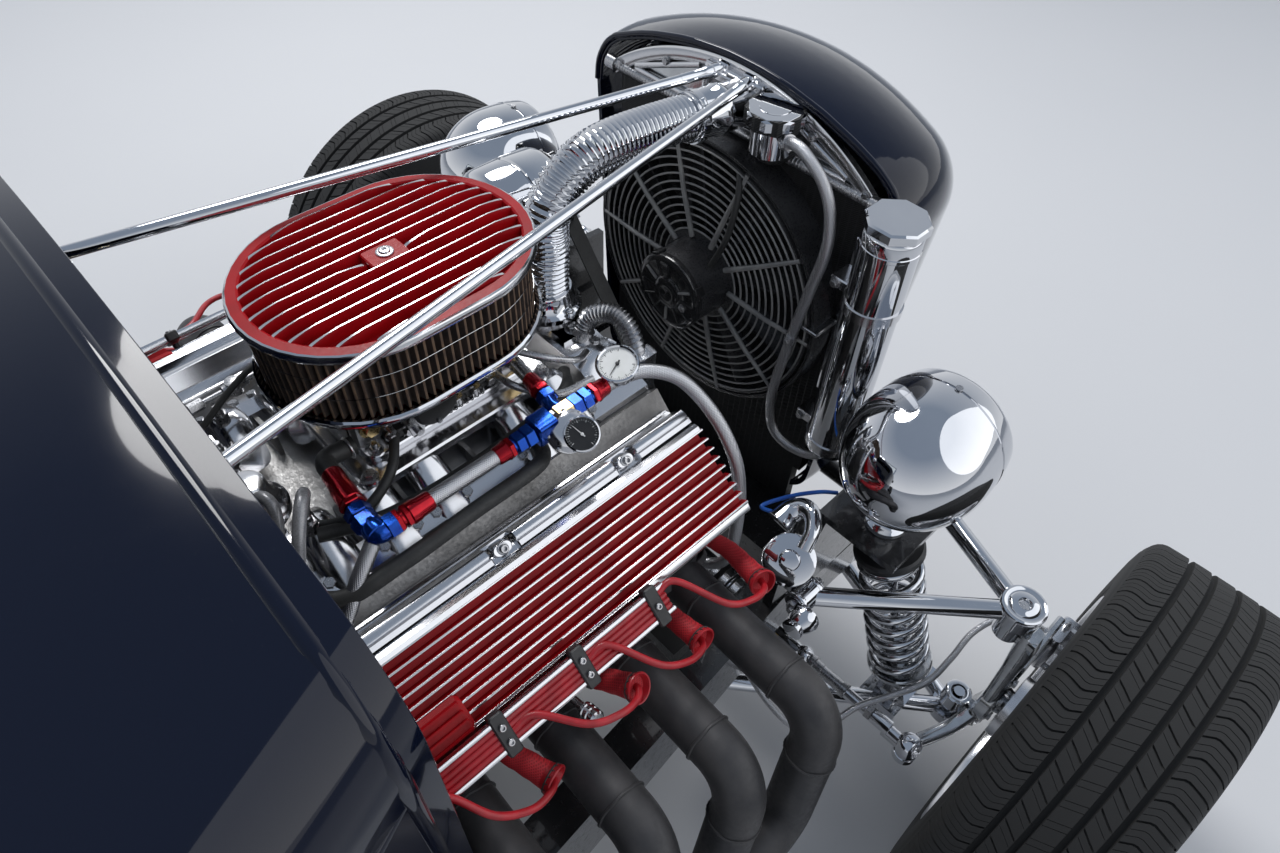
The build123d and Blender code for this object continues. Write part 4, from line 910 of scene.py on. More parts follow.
@dataclass
class Studio:
    """Pale floor, soft light and the photograph's camera."""

    eye: tuple[float, float, float] = (-619.0, 738.0, 1465.0)
    right: Colour = (-0.6873, -0.7258, 0.0296)
    up: Colour = (0.5649, -0.5084, 0.65)
    back: Colour = (-0.4567, 0.4634, 0.7594)
    lens: float = 23.91
    horizon: Colour = (0.84, 0.86, 0.89)
    zenith: Colour = (0.26, 0.31, 0.39)

    def build(self) -> None:
        """Builds the whole studio."""
        self.camera()
        self.floor()
        self.sky()
        self.lamp("key_light", Vector((2.5, -2.3, 4.3)), 2.2, 150.0)
        self.lamp("fill_light", Vector((-3.2, -3.4, 3.4)), 6.0, 80.0)

    def camera(self) -> None:
        """Sets the camera at the photograph's viewing angle."""
        data = bpy.data.cameras.new("camera")
        data.lens, data.sensor_width, data.clip_start = self.lens, 36.0, 0.05
        obj = bpy.data.objects.new("camera", data)
        turn = Matrix((self.right, self.up, self.back)).transposed().to_4x4()
        obj.matrix_world = Matrix.Translation(place(*self.eye)) @ turn
        bpy.context.scene.collection.objects.link(obj)
        bpy.context.scene.camera = obj

    def floor(self) -> None:
        """Lays a pale floor that keeps the car's shadow."""
        tree = Tree("pale_floor")
        tree.set(base_color=tree.mix(tree.noise(0.7, 4.0), (0.6, 0.6, 0.61), (0.64, 0.64, 0.645)))
        tree.set(roughness=tree.ramp(tree.noise(3.0), 0.3, 0.7, 0.75, 0.9))
        data = bpy.data.meshes.new("floor_stage")
        corners = [(-40, -40, 0), (40, -40, 0), (40, 40, 0), (-40, 40, 0)]
        data.from_pydata(corners, [], [(0, 1, 2, 3)])
        data.materials.append(tree.material)
        obj = bpy.data.objects.new("floor_stage", data)
        bpy.context.scene.collection.objects.link(obj)

    def sky(self) -> None:
        """Surrounds the car with soft light, pale at the horizon and deeper overhead."""
        world = bpy.data.worlds.new("soft_room")
        bpy.context.scene.world = world
        world.use_nodes = True
        nodes, links = world.node_tree.nodes, world.node_tree.links
        nodes.clear()
        direction = nodes.new("ShaderNodeTexCoord")
        axes = nodes.new("ShaderNodeSeparateXYZ")
        links.new(direction.outputs["Generated"], axes.inputs[0])
        level = nodes.new("ShaderNodeMapRange")
        for socket, number in zip(level.inputs[1:5], (0.0, 0.8, 0.0, 1.0)):
            socket.default_value = number
        links.new(axes.outputs["Z"], level.inputs[0])
        shade = nodes.new("ShaderNodeMix")
        shade.data_type = "RGBA"
        shade.inputs[6].default_value = (*self.horizon, 1.0)
        shade.inputs[7].default_value = (*self.zenith, 1.0)
        links.new(level.outputs[0], shade.inputs[0])
        surround = nodes.new("ShaderNodeBackground")
        surround.inputs["Strength"].default_value = 1.0
        links.new(shade.outputs[2], surround.inputs["Color"])
        output = nodes.new("ShaderNodeOutputWorld")
        links.new(surround.outputs[0], output.inputs["Surface"])

    def lamp(self, name: str, point: Vector, size: float, power: float) -> None:
        """Hangs one round soft light that faces the engine bay.

        Args:
            name: Its name.
            point: Its place in metres.
            size: Its diameter in metres.
            power: Its power in watts.
        """
        data = bpy.data.lights.new(name, "AREA")
        data.shape, data.size, data.energy = "DISK", size, power
        obj = bpy.data.objects.new(name, data)
        obj.matrix_world = frame_on(point, point - place(0, 400, 600))
        bpy.context.scene.collection.objects.link(obj)


CAD_FINISHES: dict[str, Finish] = {
    "frame": CHASSIS,
    "control_arms": CHROME,
    "front_coilovers": CHROME,
    "steering_rack": ALLOY,
    "tie_rods": CHROME,
    "knuckle_right": WORN_CHROME,
    "knuckle_left": WORN_CHROME,
    "radiator": CORE,
    "radiator_top_plate": ALLOY,
    "overflow_tank": CHROME,
    "fan_guard": GUARD,
    "fan_blades": GUARD,
    "grille_shell": PAINT,
    "grille_bars": CHROME,
    "stay_rods": CHROME,
    "headlamps": CHROME,
    "headlamp_lenses": LAMP_GLASS,
    "engine_block": BLOCK,
    "cylinder_heads": HEAD_IRON,
    "valve_covers": ALLOY,
    "intake_manifold": ALLOY,
    "carburettor": CAST,
    "air_filter": ELEMENT,
    "air_cleaner_lid": RED,
    "front_drive": ALLOY,
    "coolant_hoses": CHROME,
    "fuel_lines": BRAID,
    "exhaust_headers": HEADER,
    "exhaust_pipes": STEEL,
    "plug_leads": SLEEVE,
    "transmission": CAST,
    "rear_axle": CHASSIS,
    "rear_links": CHROME,
    "cowl": PAINT,
    "rear_body": PAINT,
    "floor": CARPET,
    "windscreen_frame": CHROME,
    "windscreen_glass": SCREEN_GLASS,
    "seat_cushion": LEATHER,
    "seat_back": LEATHER,
    "steering_column": CHROME,
    "steering_wheel": RUBBER,
    "tail_lamps": RED_GLASS,
    "fuel_tank": STEEL,
    "door_right": PAINT,
    "door_left": PAINT,
    "deck_lid": PAINT,
    "front_tyre_right": TYRE,
    "front_tyre_left": TYRE,
    "rear_tyre_right": TYRE,
    "rear_tyre_left": TYRE,
    "front_wheel_right": CHROME,
    "front_wheel_left": CHROME,
    "rear_wheel_right": CHROME,
    "rear_wheel_left": CHROME,
}


def dress_all() -> None:
    """Gives every CAD node its finish; pieces that replace some of them come later."""
    for node, finish in CAD_FINISHES.items():
        dress(node, finish)
    LOG.info("dressed %d nodes", len(CAD_FINISHES))


@dataclass
class AirCleaner:
    """Oval air cleaner: chrome tray, pleated element and a ribbed red lid."""

    station: float = 460.0
    length: float = 300.0
    width: float = 225.0
    base: float = 862.0
    height: float = 85.0
    pleats: int = 92
    ribs: int = 13

    def build(self) -> None:
        """Builds the tray, the element and the lid."""
        self.element()
        self.lid()

    def rows(self, shape: Shape, rows: Sequence[tuple[float, float]], finish: int, caps: bool = True) -> None:
        """Skins the oval at these insets and heights.

        Args:
            shape: The piece that takes the faces.
            rows: Pairs of inset and height.
            finish: The finish's place in the piece's list.
            caps: Whether the first and last rows are filled.
        """
        outline = oval_outline(self.length, self.width, 20)
        rings = []
        for inset, up in rows:
            inner = inset_outline(outline, inset)
            rings.append([place(x, self.station + y, up) for x, y in inner])
        shape.rings(rings, finish, caps=caps)

    def element(self) -> None:
        """Builds the rolled tray and the pleats between it and the lid."""
        shape = Shape("air_cleaner_element")
        low, high = self.base + 9, self.base + self.height
        tray = (
            (60, self.base), (14, self.base + 0.5), (3, self.base + 1), (0.6, self.base + 3),
            (0, self.base + 6)
        )
        self.rows(
            shape,
            (*tray, (0.8, self.base + 9), (3, self.base + 10.5), (6, self.base + 9.5), (8, self.base + 6)),
            0
        )
        outline = oval_outline(self.length - 16, self.width - 16, 60)
        loop = [Vector((x, y, 0)) for x, y in outline]
        lengths = [0.0]
        for a, b in zip(loop, loop[1:] + loop[:1]):
            lengths.append(lengths[-1] + (b - a).length)
        total = lengths[-1]

        def on_loop(distance: float, inset: float) -> tuple[float, float]:
            """A point this far round the oval and this far inside it.

            Args:
                distance: Millimetres round the oval.
                inset: Millimetres inside it.

            Returns:
                The point, from the oval's middle.
            """
            distance %= total
            i = max(k for k in range(len(loop)) if lengths[k] <= distance)
            a, b = loop[i], loop[(i + 1) % len(loop)]
            t = (distance - lengths[i]) / max(lengths[i + 1] - lengths[i], 1e-6)
            run = (b - a).normalized()
            point = a.lerp(b, t)
            return point.x - run.y * inset, point.y + run.x * inset

        pitch = total / self.pleats
        edge = []
        for k in range(self.pleats):
            for share, inset in ((0.0, 0.4), (0.14, 0.0), (0.28, 0.4), (0.55, 7.0), (0.7, 7.0)):
                edge.append(on_loop(pitch * (k + share), inset))
        bottom = [shape.mesh.verts.new(place(x, self.station + y, low)) for x, y in edge]
        top = [shape.mesh.verts.new(place(x, self.station + y, high)) for x, y in edge]
        for i in range(len(edge)):
            j = (i + 1) % len(edge)
            # The two faces over each pleat's crest take the painted-highlight brown; the folds between keep
            # the element's own colour.
            shape.face((bottom[i], bottom[j], top[j], top[i]), 2 if i % 5 < 2 else 1)
        for ring_z in (low + 26, low + 50):
            wire = [on_loop(total * k / 160, -0.6) for k in range(160)]
            path = [place(x, self.station + y, ring_z) for x, y in wire]
            shape.tube([*path, path[0]], 0.0004, 6, 3, caps=False)
        shape.build(CHASSIS_BODY, (CHROME, ELEMENT, PLEAT_PAINTED_HIGHLIGHT, WORN_CHROME), Slot.FILTER, ("air_filter",))

    def lid(self) -> None:
        """Builds the lid with its polished rim, red pockets and polished ribs."""
        shape = Shape("air_cleaner_top")
        z = self.base + self.height
        rim = ((12, z), (2.5, z), (0.6, z + 1.2), (0, z + 3.5), (0.5, z + 7.5), (1.6, z + 9.2), (3.4, z + 10))
        self.rows(shape, rim, 0, caps=False)
        self.rows(
            shape, ((3.4, z + 10), (12.5, z + 10.6), (14.5, z + 9.4), (15.5, z + 5), (16.5, z + 3.4)), 1,
            caps=False
        )
        self.rows(shape, ((16.5, z + 3.4), (16.6, z + 3.3)), 1)
        half_width = self.width / 2 - 13.2
        pitch = (self.width - 20) / self.ribs
        for k in range(self.ribs):
            x = (k - (self.ribs - 1) / 2) * pitch
            reach = (self.length - self.width) / 2 + math.sqrt(max(half_width**2 - x**2, 60.0))
            spans = [(-reach, -21.0), (21.0, reach)] if k == self.ribs // 2 else [(-reach, reach)]
            for start, end in spans:
                self.rib(shape, x, start, end, z)
        pad = box_outline(27, 40, 3)
        middle = Matrix.Translation(place(0, self.station, z))
        shape.prism(pad, middle, 3.0, 13.6, 1, 1.2)
        turn = Matrix.Translation(place(0, self.station, z + 13.4))
        shape.lathe(((0, 8.6), (1.4, 8.6), (1.9, 7.6), (1.9, 6.0)), turn, 30, 0)
        shape.lathe(((1.7, 6.2), (3.3, 5.6), (3.8, 4.4), (3.8, 2.9), (1.8, 2.7)), turn, 30, 0)
        shape.build(CHASSIS_BODY, (ALLOY, RED), Slot.RED, ("air_cleaner_lid",), 30.0)

    def rib(self, shape: Shape, x: float, start: float, end: float, z: float) -> None:
        """Adds one rib, its polished crest sinking into the rim at both ends.

        Args:
            shape: The piece that takes the faces.
            x: Its place across the lid.
            start: Its front end, from the lid's middle.
            end: Its rear end, from the lid's middle.
            z: The height that the lid starts from.
        """
        span = end - start
        rows = []
        for s in (0.0, 2.0, 7.0, 16.0, 28.0, span - 28.0, span - 16.0, span - 7.0, span - 2.0, span):
            near = min(s, span - s)
            rows.append(
                (
                    start + s, z + 9.6 + 5.6 * min(1.0, max(near, 0.0) / 26.0) ** 0.6,
                    2.2 - 1.0 * min(1.0, near / 20.0)
                )
            )
        sides = []
        for y, top, half in rows:
            section = (
                (-half - 1.3, z + 3), (-half, top - 0.9), (-half + 0.5, top), (half - 0.5, top),
                (half, top - 0.9), (half + 1.3, z + 3)
            )
            sides.append([place(x + dx, self.station + y, up) for dx, up in section])
        verts = [[shape.mesh.verts.new(p) for p in ring] for ring in sides]
        for low, high in zip(verts, verts[1:]):
            for i in range(5):
                shape.face((low[i], low[i + 1], high[i + 1], high[i]), 0 if i == 2 else 1)
        for ring in (verts[0], verts[-1]):
            shape.face(ring, 1)


def bank(side: Side, station: float, across: float, high: float, crank: float = 450.0) -> Vector:
    """A point on one cylinder bank.

    Args:
        side: Which bank.
        station: Millimetres behind the front axle.
        across: Millimetres outwards from the bank's middle, square to its bores.
        high: Millimetres from the crank along the bores.
        crank: The crank's height.

    Returns:
        The point in metres.
    """
    turn = math.sqrt(0.5)
    return place(side.value * (high + across) * turn, station, crank + (high - across) * turn)


@dataclass
class ValveCover:
    """The cast covers, with polished ribs over red, a grooved inner ledge and an outer rail."""

    front: float = 256.0
    rear: float = 754.0
    base: float = 330.0
    ribs: int = 8

    def build(self) -> None:
        """Builds both covers as one piece, the left as the right's mirror image."""
        shape = Shape("valve_cover_pair")
        self.body(shape)
        self.panel(shape)
        self.ledge(shape)
        self.fasteners(shape)
        self.cap_block(shape)
        shape.mirrored()
        shape.build(CHASSIS_BODY, (ALLOY, RED, STEEL, SATIN_BLACK), Slot.ALLOY, ("valve_covers",), 34.0)

    def run(
        self, shape: Shape, section: Sequence[tuple[float, float]], start: float, end: float, finish: int,
        edge: float = 1.5
    ) -> None:
        """Sweeps a closed section along the bank, its ends drawn in a little.

        Args:
            shape: The piece that takes the faces.
            section: Points of (across, height) on the bank.
            start: The station where it starts.
            end: The station where it ends.
            finish: The finish's place in the piece's list.
            edge: How far the ends are drawn in, in millimetres.
        """
        middle_a = sum(a for a, _ in section) / len(section)
        middle_h = sum(h for _, h in section) / len(section)
        rings = []
        for station, inset in ((start, edge), (start + edge, 0.0), (end - edge, 0.0), (end, edge)):
            ring = []
            for across, high in section:
                da, dh = across - middle_a, high - middle_h
                size = max(math.hypot(da, dh), 0.01)
                ring.append(
                    bank(
                        Side.RIGHT, station, across - da / size * inset,
                        self.base + high - dh / size * inset
                    )
                )
            rings.append(ring)
        shape.rings(rings, finish)

    def body(self, shape: Shape) -> None:
        """Adds the gasket flange and the cast walls under the panel.

        Args:
            shape: The piece that takes the faces.
        """
        flange = ((-74, 0), (74, 0), (75, 1.5), (75, 7), (73, 9), (-73, 9), (-75, 7), (-75, 1.5))
        self.run(shape, flange, self.front - 1, self.rear, 0, 3.0)
        walls = ((-71, 8), (69, 8), (66, 20), (57, 52), (54, 58), (-52, 46), (-62, 40), (-69, 30))
        self.run(shape, walls, self.front + 7, self.rear - 9, 0, 5.0)
        gasket = ((-73, -0.3), (73, -0.3), (73, 0.2), (-73, 0.2))
        self.run(shape, gasket, self.front + 1, self.rear - 2, 3, 0.3)

    def top(self, across: float) -> float:
        """The panel's height above the flange at a place across it."""
        return 50.0 + (across + 50.0) * 0.16

    def panel(self, shape: Shape) -> None:
        """Adds the red panel, its ribs and the polished bars on both sides of it.

        Args:
            shape: The piece that takes the faces.
        """
        start, end = self.front + 4, self.rear - 16
        left, right = -46.0, 47.0
        floor = ((left, 40), (right, 44), (right, self.top(right)), (left, self.top(left)))
        self.run(shape, floor, start + 2, end, 1, 0.4)
        pitch = (right - left) / self.ribs
        for k in range(self.ribs + 1):
            across = left + pitch * k
            low, high = self.top(across) - 2, self.top(across) + 8.5
            rib = (
                (across - 2.3, low), (across + 2.3, low), (across + 1.3, high - 0.9),
                (across - 1.3, high - 0.9)
            )
            self.run(shape, rib, start - 2, end + 4, 1, 0.8)
            crest = (
                (across - 1.3, high - 1.0), (across + 1.3, high - 1.0), (across + 0.7, high),
                (across - 0.7, high)
            )
            self.run(shape, crest, start - 2.2, end + 4.2, 0, 0.6)
        outer = (
            (46, 40), (56, 40), (57.5, 50), (56, self.top(52) + 8.5), (54.5, self.top(52) + 9.5),
            (48, self.top(52) + 9.5), (47, self.top(52) + 8.0)
        )
        self.run(shape, outer, start, end + 5, 0, 1.5)
        inner = (
            (-55, 38), (-45.5, 42), (-45.5, self.top(-46) + 7.5), (-47, self.top(-46) + 9.0),
            (-52, self.top(-46) + 8.5), (-55.5, self.top(-46) + 4.0)
        )
        self.run(shape, inner, start, end + 5, 0, 1.5)
        self.run(
            shape, ((56, 10), (70, 10), (70.5, 15), (69, 17.5), (57, 22)), self.front + 3, self.rear - 4, 0,
            2.0
        )

    def ledge(self, shape: Shape) -> None:
        """Adds the stepped inner ledge with its long groove, and the two round scallops.

        Args:
            shape: The piece that takes the faces.
        """
        step = (
            (-72, 20), (-56, 26), (-55, 44), (-57, 47.5), (-62, 46.5), (-63, 42.5), (-64.2, 42), (-65, 45),
            (-70, 43.5), (-73, 40)
        )
        for start, end in ((self.front + 2, 336), (366, 498), (528, self.rear - 4)):
            self.run(shape, step, start, end, 0, 1.4)
        scallop = ((-72, 16), (-56, 24), (-56, 32), (-72, 27))
        for station in (351.0, 513.0):
            self.run(shape, scallop, station - 17, station + 17, 0, 1.0)

    def fasteners(self, shape: Shape) -> None:
        """Adds oval bosses with socket screws on the ledge, and screws on the outer flange.

        Args:
            shape: The piece that takes the faces.
        """
        out = bank(Side.RIGHT, 0, 0, 1) - bank(Side.RIGHT, 0, 0, 0)
        for station in (351.0, 513.0, 675.0):
            seat = bank(Side.RIGHT, station, -64, self.base + 26)
            turn = frame_on(seat, out, Vector((0, 1, 0)))
            shape.prism(oval_outline(22, 13, 8), turn, 0, 17, 0, 1.2)
            self.socket(shape, seat + out.normalized() * 0.017, out)
        for station in (286.0, 354.0, 431.0, 508.0, 585.0, 662.0):
            seat = bank(Side.RIGHT, station, 64, self.base + 17)
            shape.prism(oval_outline(26, 14, 8), frame_on(seat, out, Vector((0, 1, 0))), -8, 2.2, 0, 1.0)
            self.socket(shape, seat + out.normalized() * 0.0022, out)

    def socket(self, shape: Shape, point: Vector, axis: Vector) -> None:
        """Adds a socket-head screw on its washer.

        Args:
            shape: The piece that takes the faces.
            point: Its seat.
            axis: The way it stands.
        """
        turn = frame_on(point, axis)
        shape.lathe(((-0.5, 6.2), (0.9, 6.2), (1.2, 5.6), (1.2, 4.4)), turn, 22, 2)
        shape.lathe(((1.0, 4.5), (5.2, 4.5), (6.0, 3.8), (6.0, 2.5), (2.6, 2.3)), turn, 22, 2)

    def cap_block(self, shape: Shape) -> None:
        """Adds the small ribbed red breather block at the rear outer corner.

        Args:
            shape: The piece that takes the faces.
        """
        floor = ((12, 58), (50, 62), (50, 74), (46, 77.5), (16, 74), (12, 70))
        self.run(shape, floor, 626, 700, 1, 4.0)
        for k in range(4):
            across = 17.5 + 9.4 * k
            rib = (
                (across - 1.7, 72), (across + 1.7, 72), (across + 1.1, 79.0 + 0.4 * k),
                (across - 1.1, 79.0 + 0.4 * k)
            )
            self.run(shape, rib, 630, 696, 1, 1.2)


@dataclass
class CoolantHose:
    """Corrugated chrome hose from the radiator's neck to the thermostat housing."""

    radius: float = 25.0
    pitch: float = 6.4

    def build(self) -> None:
        """Builds the corrugations, the polished end sleeves and their clamps."""
        shape = Shape("corrugated_top_hose")
        corners = [
            place(-10, 18, 946), place(-6, 95, 958), place(-2, 205, 962), place(0, 262, 925),
            place(0, 272, 860), place(0, 275, 806)
        ]
        path = curve_through(corners, 40)
        fine = self.even(path, self.pitch / 5 * MM)
        radii = []
        for k in range(len(fine)):
            phase = (k % 5) / 5
            radii.append((self.radius - 2.4 + 3.6 * (0.5 - 0.5 * math.cos(2 * math.pi * phase))) * MM)
        shape.tube(fine, radii, 36, 0)
        self.sleeve(shape, (place(-18, -38, 945), place(-8, 66, 954)), 28.4)
        shape.lathe(
            ((0, 27), (0.4, 30.6), (9, 30.6), (9.4, 27)),
            frame_on(place(-9, 52, 952.5), Vector((0.1, 1, 0.1))), 48, 0
        )
        shape.bolt(place(-30, 57, 972), Vector((0.7, 0, 0.7)), 4.5, 12, 0)
        self.sleeve(shape, (place(0, 276, 812), place(0, 275, 786)), 28.5)
        shape.tube(
            [place(0, 275, 812), place(0, 275, 788), place(0, 275, 786)], [0.0285, 0.0285, 0.032], 40, 0
        )
        shape.lathe(
            ((0, 40), (7, 40), (9, 37), (12, 33), (26, 31), (30, 29)),
            Matrix.Translation(place(0, 275, 789)), 40, 0
        )
        for dx, dy in ((-36, -2), (36, 2)):
            shape.bolt(place(dx, 275 + dy, 797), Vector((0, 0, 1)), 6, 6, 0)
        shape.build(CHASSIS_BODY, (CHROME,), Slot.CHROME, ("coolant_hoses",), 50.0)

    def even(self, path: Sequence[Vector], step: float) -> list[Vector]:
        """Points at an even spacing along a path.

        Args:
            path: The points of a centre line.
            step: The spacing in metres.

        Returns:
            The evenly spaced points.
        """
        points, left = [path[0]], step
        for a, b in zip(path, path[1:]):
            run = (b - a).length
            while run > left:
                a = a.lerp(b, left / run)
                points.append(a.copy())
                run, left = (b - a).length, step
            left -= run
        return points

    def sleeve(self, shape: Shape, ends: tuple[Vector, Vector], radius: float) -> None:
        """Adds a polished sleeve with a rolled bead and a worm clamp.

        Args:
            shape: The piece that takes the faces.
            ends: Its two ends.
            radius: Its radius in millimetres.
        """
        start, end = ends
        turn = frame_on(start, end - start)
        length = (end - start).length / MM
        profile = [
            (0, radius - 3), (0.8, radius), (length * 0.5, radius), (length * 0.52, radius + 1.6),
            (length * 0.6, radius + 1.6)
        ]
        shape.lathe(
            [*profile, (length * 0.62, radius), (length - 1, radius), (length, radius - 3)], turn, 44, 0
        )


@dataclass
class StayRods:
    """The two chrome rods from the radiator's bracket to the firewall, with their end joints."""

    front: tuple[float, float, float] = (20.0, -32.0, 973.0)
    rear: tuple[float, float, float] = (176.0, 792.0, 984.0)

    def build(self) -> None:
        """Builds both rods as one piece."""
        shape = Shape("stay_rod_pair")
        start, end = place(-self.front[0], *self.front[1:]), place(-self.rear[0], *self.rear[1:])
        along = (end - start).normalized()
        path = [start + along * d for d in (0.030, 0.2, 0.5)] + [end]
        shape.tube(path, 0.0064, 20)
        turn = frame_on(start, along)
        profile = (
            (0, 5.0), (1, 6.2), (14, 6.2), (15, 8.6), (24, 8.6), (25, 7.4), (36, 7.2), (37, 6.6), (70, 6.6)
        )
        shape.lathe(profile, turn, 24)
        shape.block(start + Vector((-0.008, -0.004, -0.008)), start + Vector((0.008, 0.010, 0.008)), 0, 2.0)
        shape.bolt(start + Vector((-0.008, 0.002, 0)), Vector((-1, 0, 0)), 6, 5)
        shape.lathe(((0, 9), (5, 9), (6, 7.5), (14, 7.5)), frame_on(end, -along), 24)
        shape.mirrored()
        shape.build(CHASSIS_BODY, (CHROME,), Slot.CHROME, ("stay_rods",))


def fine_curve(points: Sequence[tuple[float, float, float]], steps: int = 8) -> list[Vector]:
    """A smooth path through places given in millimetres."""
    return curve_through([place(*point) for point in points], steps)


def hose_end(shape: Shape, start: Vector, end: Vector, socket: int, nut: int, size: float = 1.0) -> None:
    """Adds a hose end: its hexagon nut at the start, then the tapered socket towards the hose.

    Args:
        shape: The piece it belongs to.
        start: The nut's outer face.
        end: Where the hose leaves the socket.
        socket: The socket's finish.
        nut: The nut's finish.
        size: Its scale.
    """
    length = (end - start).length / MM
    turn = frame_on(start, end - start)
    shape.prism(hexagon(12.2 * size), turn, 0.0, 11.0, nut, 1.2)
    shape.lathe(((10.0, 8.4 * size), (14.0, 8.4 * size)), turn, 26, nut)
    shape.prism(hexagon(12.0 * size), turn, 13.5, 19.5, socket, 1.0)
    profile = (
        (18.5, 10.2), (20, 11.4), (length * 0.62, 11.2), (length * 0.68, 10.2), (length - 2, 9.8),
        (length, 8.8), (length - 1, 7.8)
    )
    shape.lathe([(along, radius * size) for along, radius in profile], turn, 30, socket)


def hexagon(corner: float) -> list[tuple[float, float]]:
    """A hexagon of this radius over its corners."""
    return [(corner * math.cos(math.pi / 3 * i), corner * math.sin(math.pi / 3 * i)) for i in range(6)]


def dial(
    shape: Shape, turn: Matrix, radius: float, face: int, rim: int, ink: int, ticks: int = 11,
    needle: float = 1.2
) -> None:
    """Adds a round gauge: a case with a rolled rim, its printed face and its needle.

    Args:
        shape: The piece it belongs to.
        turn: The frame at the face's centre, local Z towards the reader.
        radius: The rim's outer radius in millimetres.
        face: The face's finish.
        rim: The rim's finish.
        ink: The finish of the marks and the needle.
        ticks: How many long marks the scale has.
        needle: Where the needle stands, in radians.
    """
    r = radius
    case = (
        (-14, r * 0.3), (-13, r * 0.82), (-2, r * 0.86), (-1, r * 0.97), (1.2, r), (2.6, r * 0.97),
        (3.2, r * 0.9), (1.6, r * 0.84), (0, r * 0.84)
    )
    shape.lathe(case, turn, 40, rim)
    shape.lathe(((-0.3, r * 0.85), (0.25, r * 0.85)), turn, 40, face)
    for k in range(4 * (ticks - 1) + 1):
        angle = math.radians(225 - 270 * k / (4 * (ticks - 1)))
        long = k % 4 == 0
        low, high = r * (0.66 if long else 0.73), r * 0.79
        half = r * (0.014 if long else 0.008)
        bar = ((low, -half), (high, -half), (high, half), (low, half))
        mark = [
            (x * math.cos(angle) - y * math.sin(angle), x * math.sin(angle) + y * math.cos(angle))
            for x, y in bar
        ]
        shape.prism(mark, turn, 0.2, 0.55, ink, half * 0.2)
    pointer = ((-r * 0.2, -r * 0.035), (r * 0.68, -r * 0.012), (r * 0.68, r * 0.012), (-r * 0.2, r * 0.035))
    turned = [
        (x * math.cos(needle) - y * math.sin(needle), x * math.sin(needle) + y * math.cos(needle))
        for x, y in pointer
    ]
    shape.prism(turned, turn, 0.9, 1.5, ink, 0.1)
    shape.lathe(((0.3, r * 0.09), (2.0, r * 0.09), (2.3, r * 0.05)), turn, 18, ink)


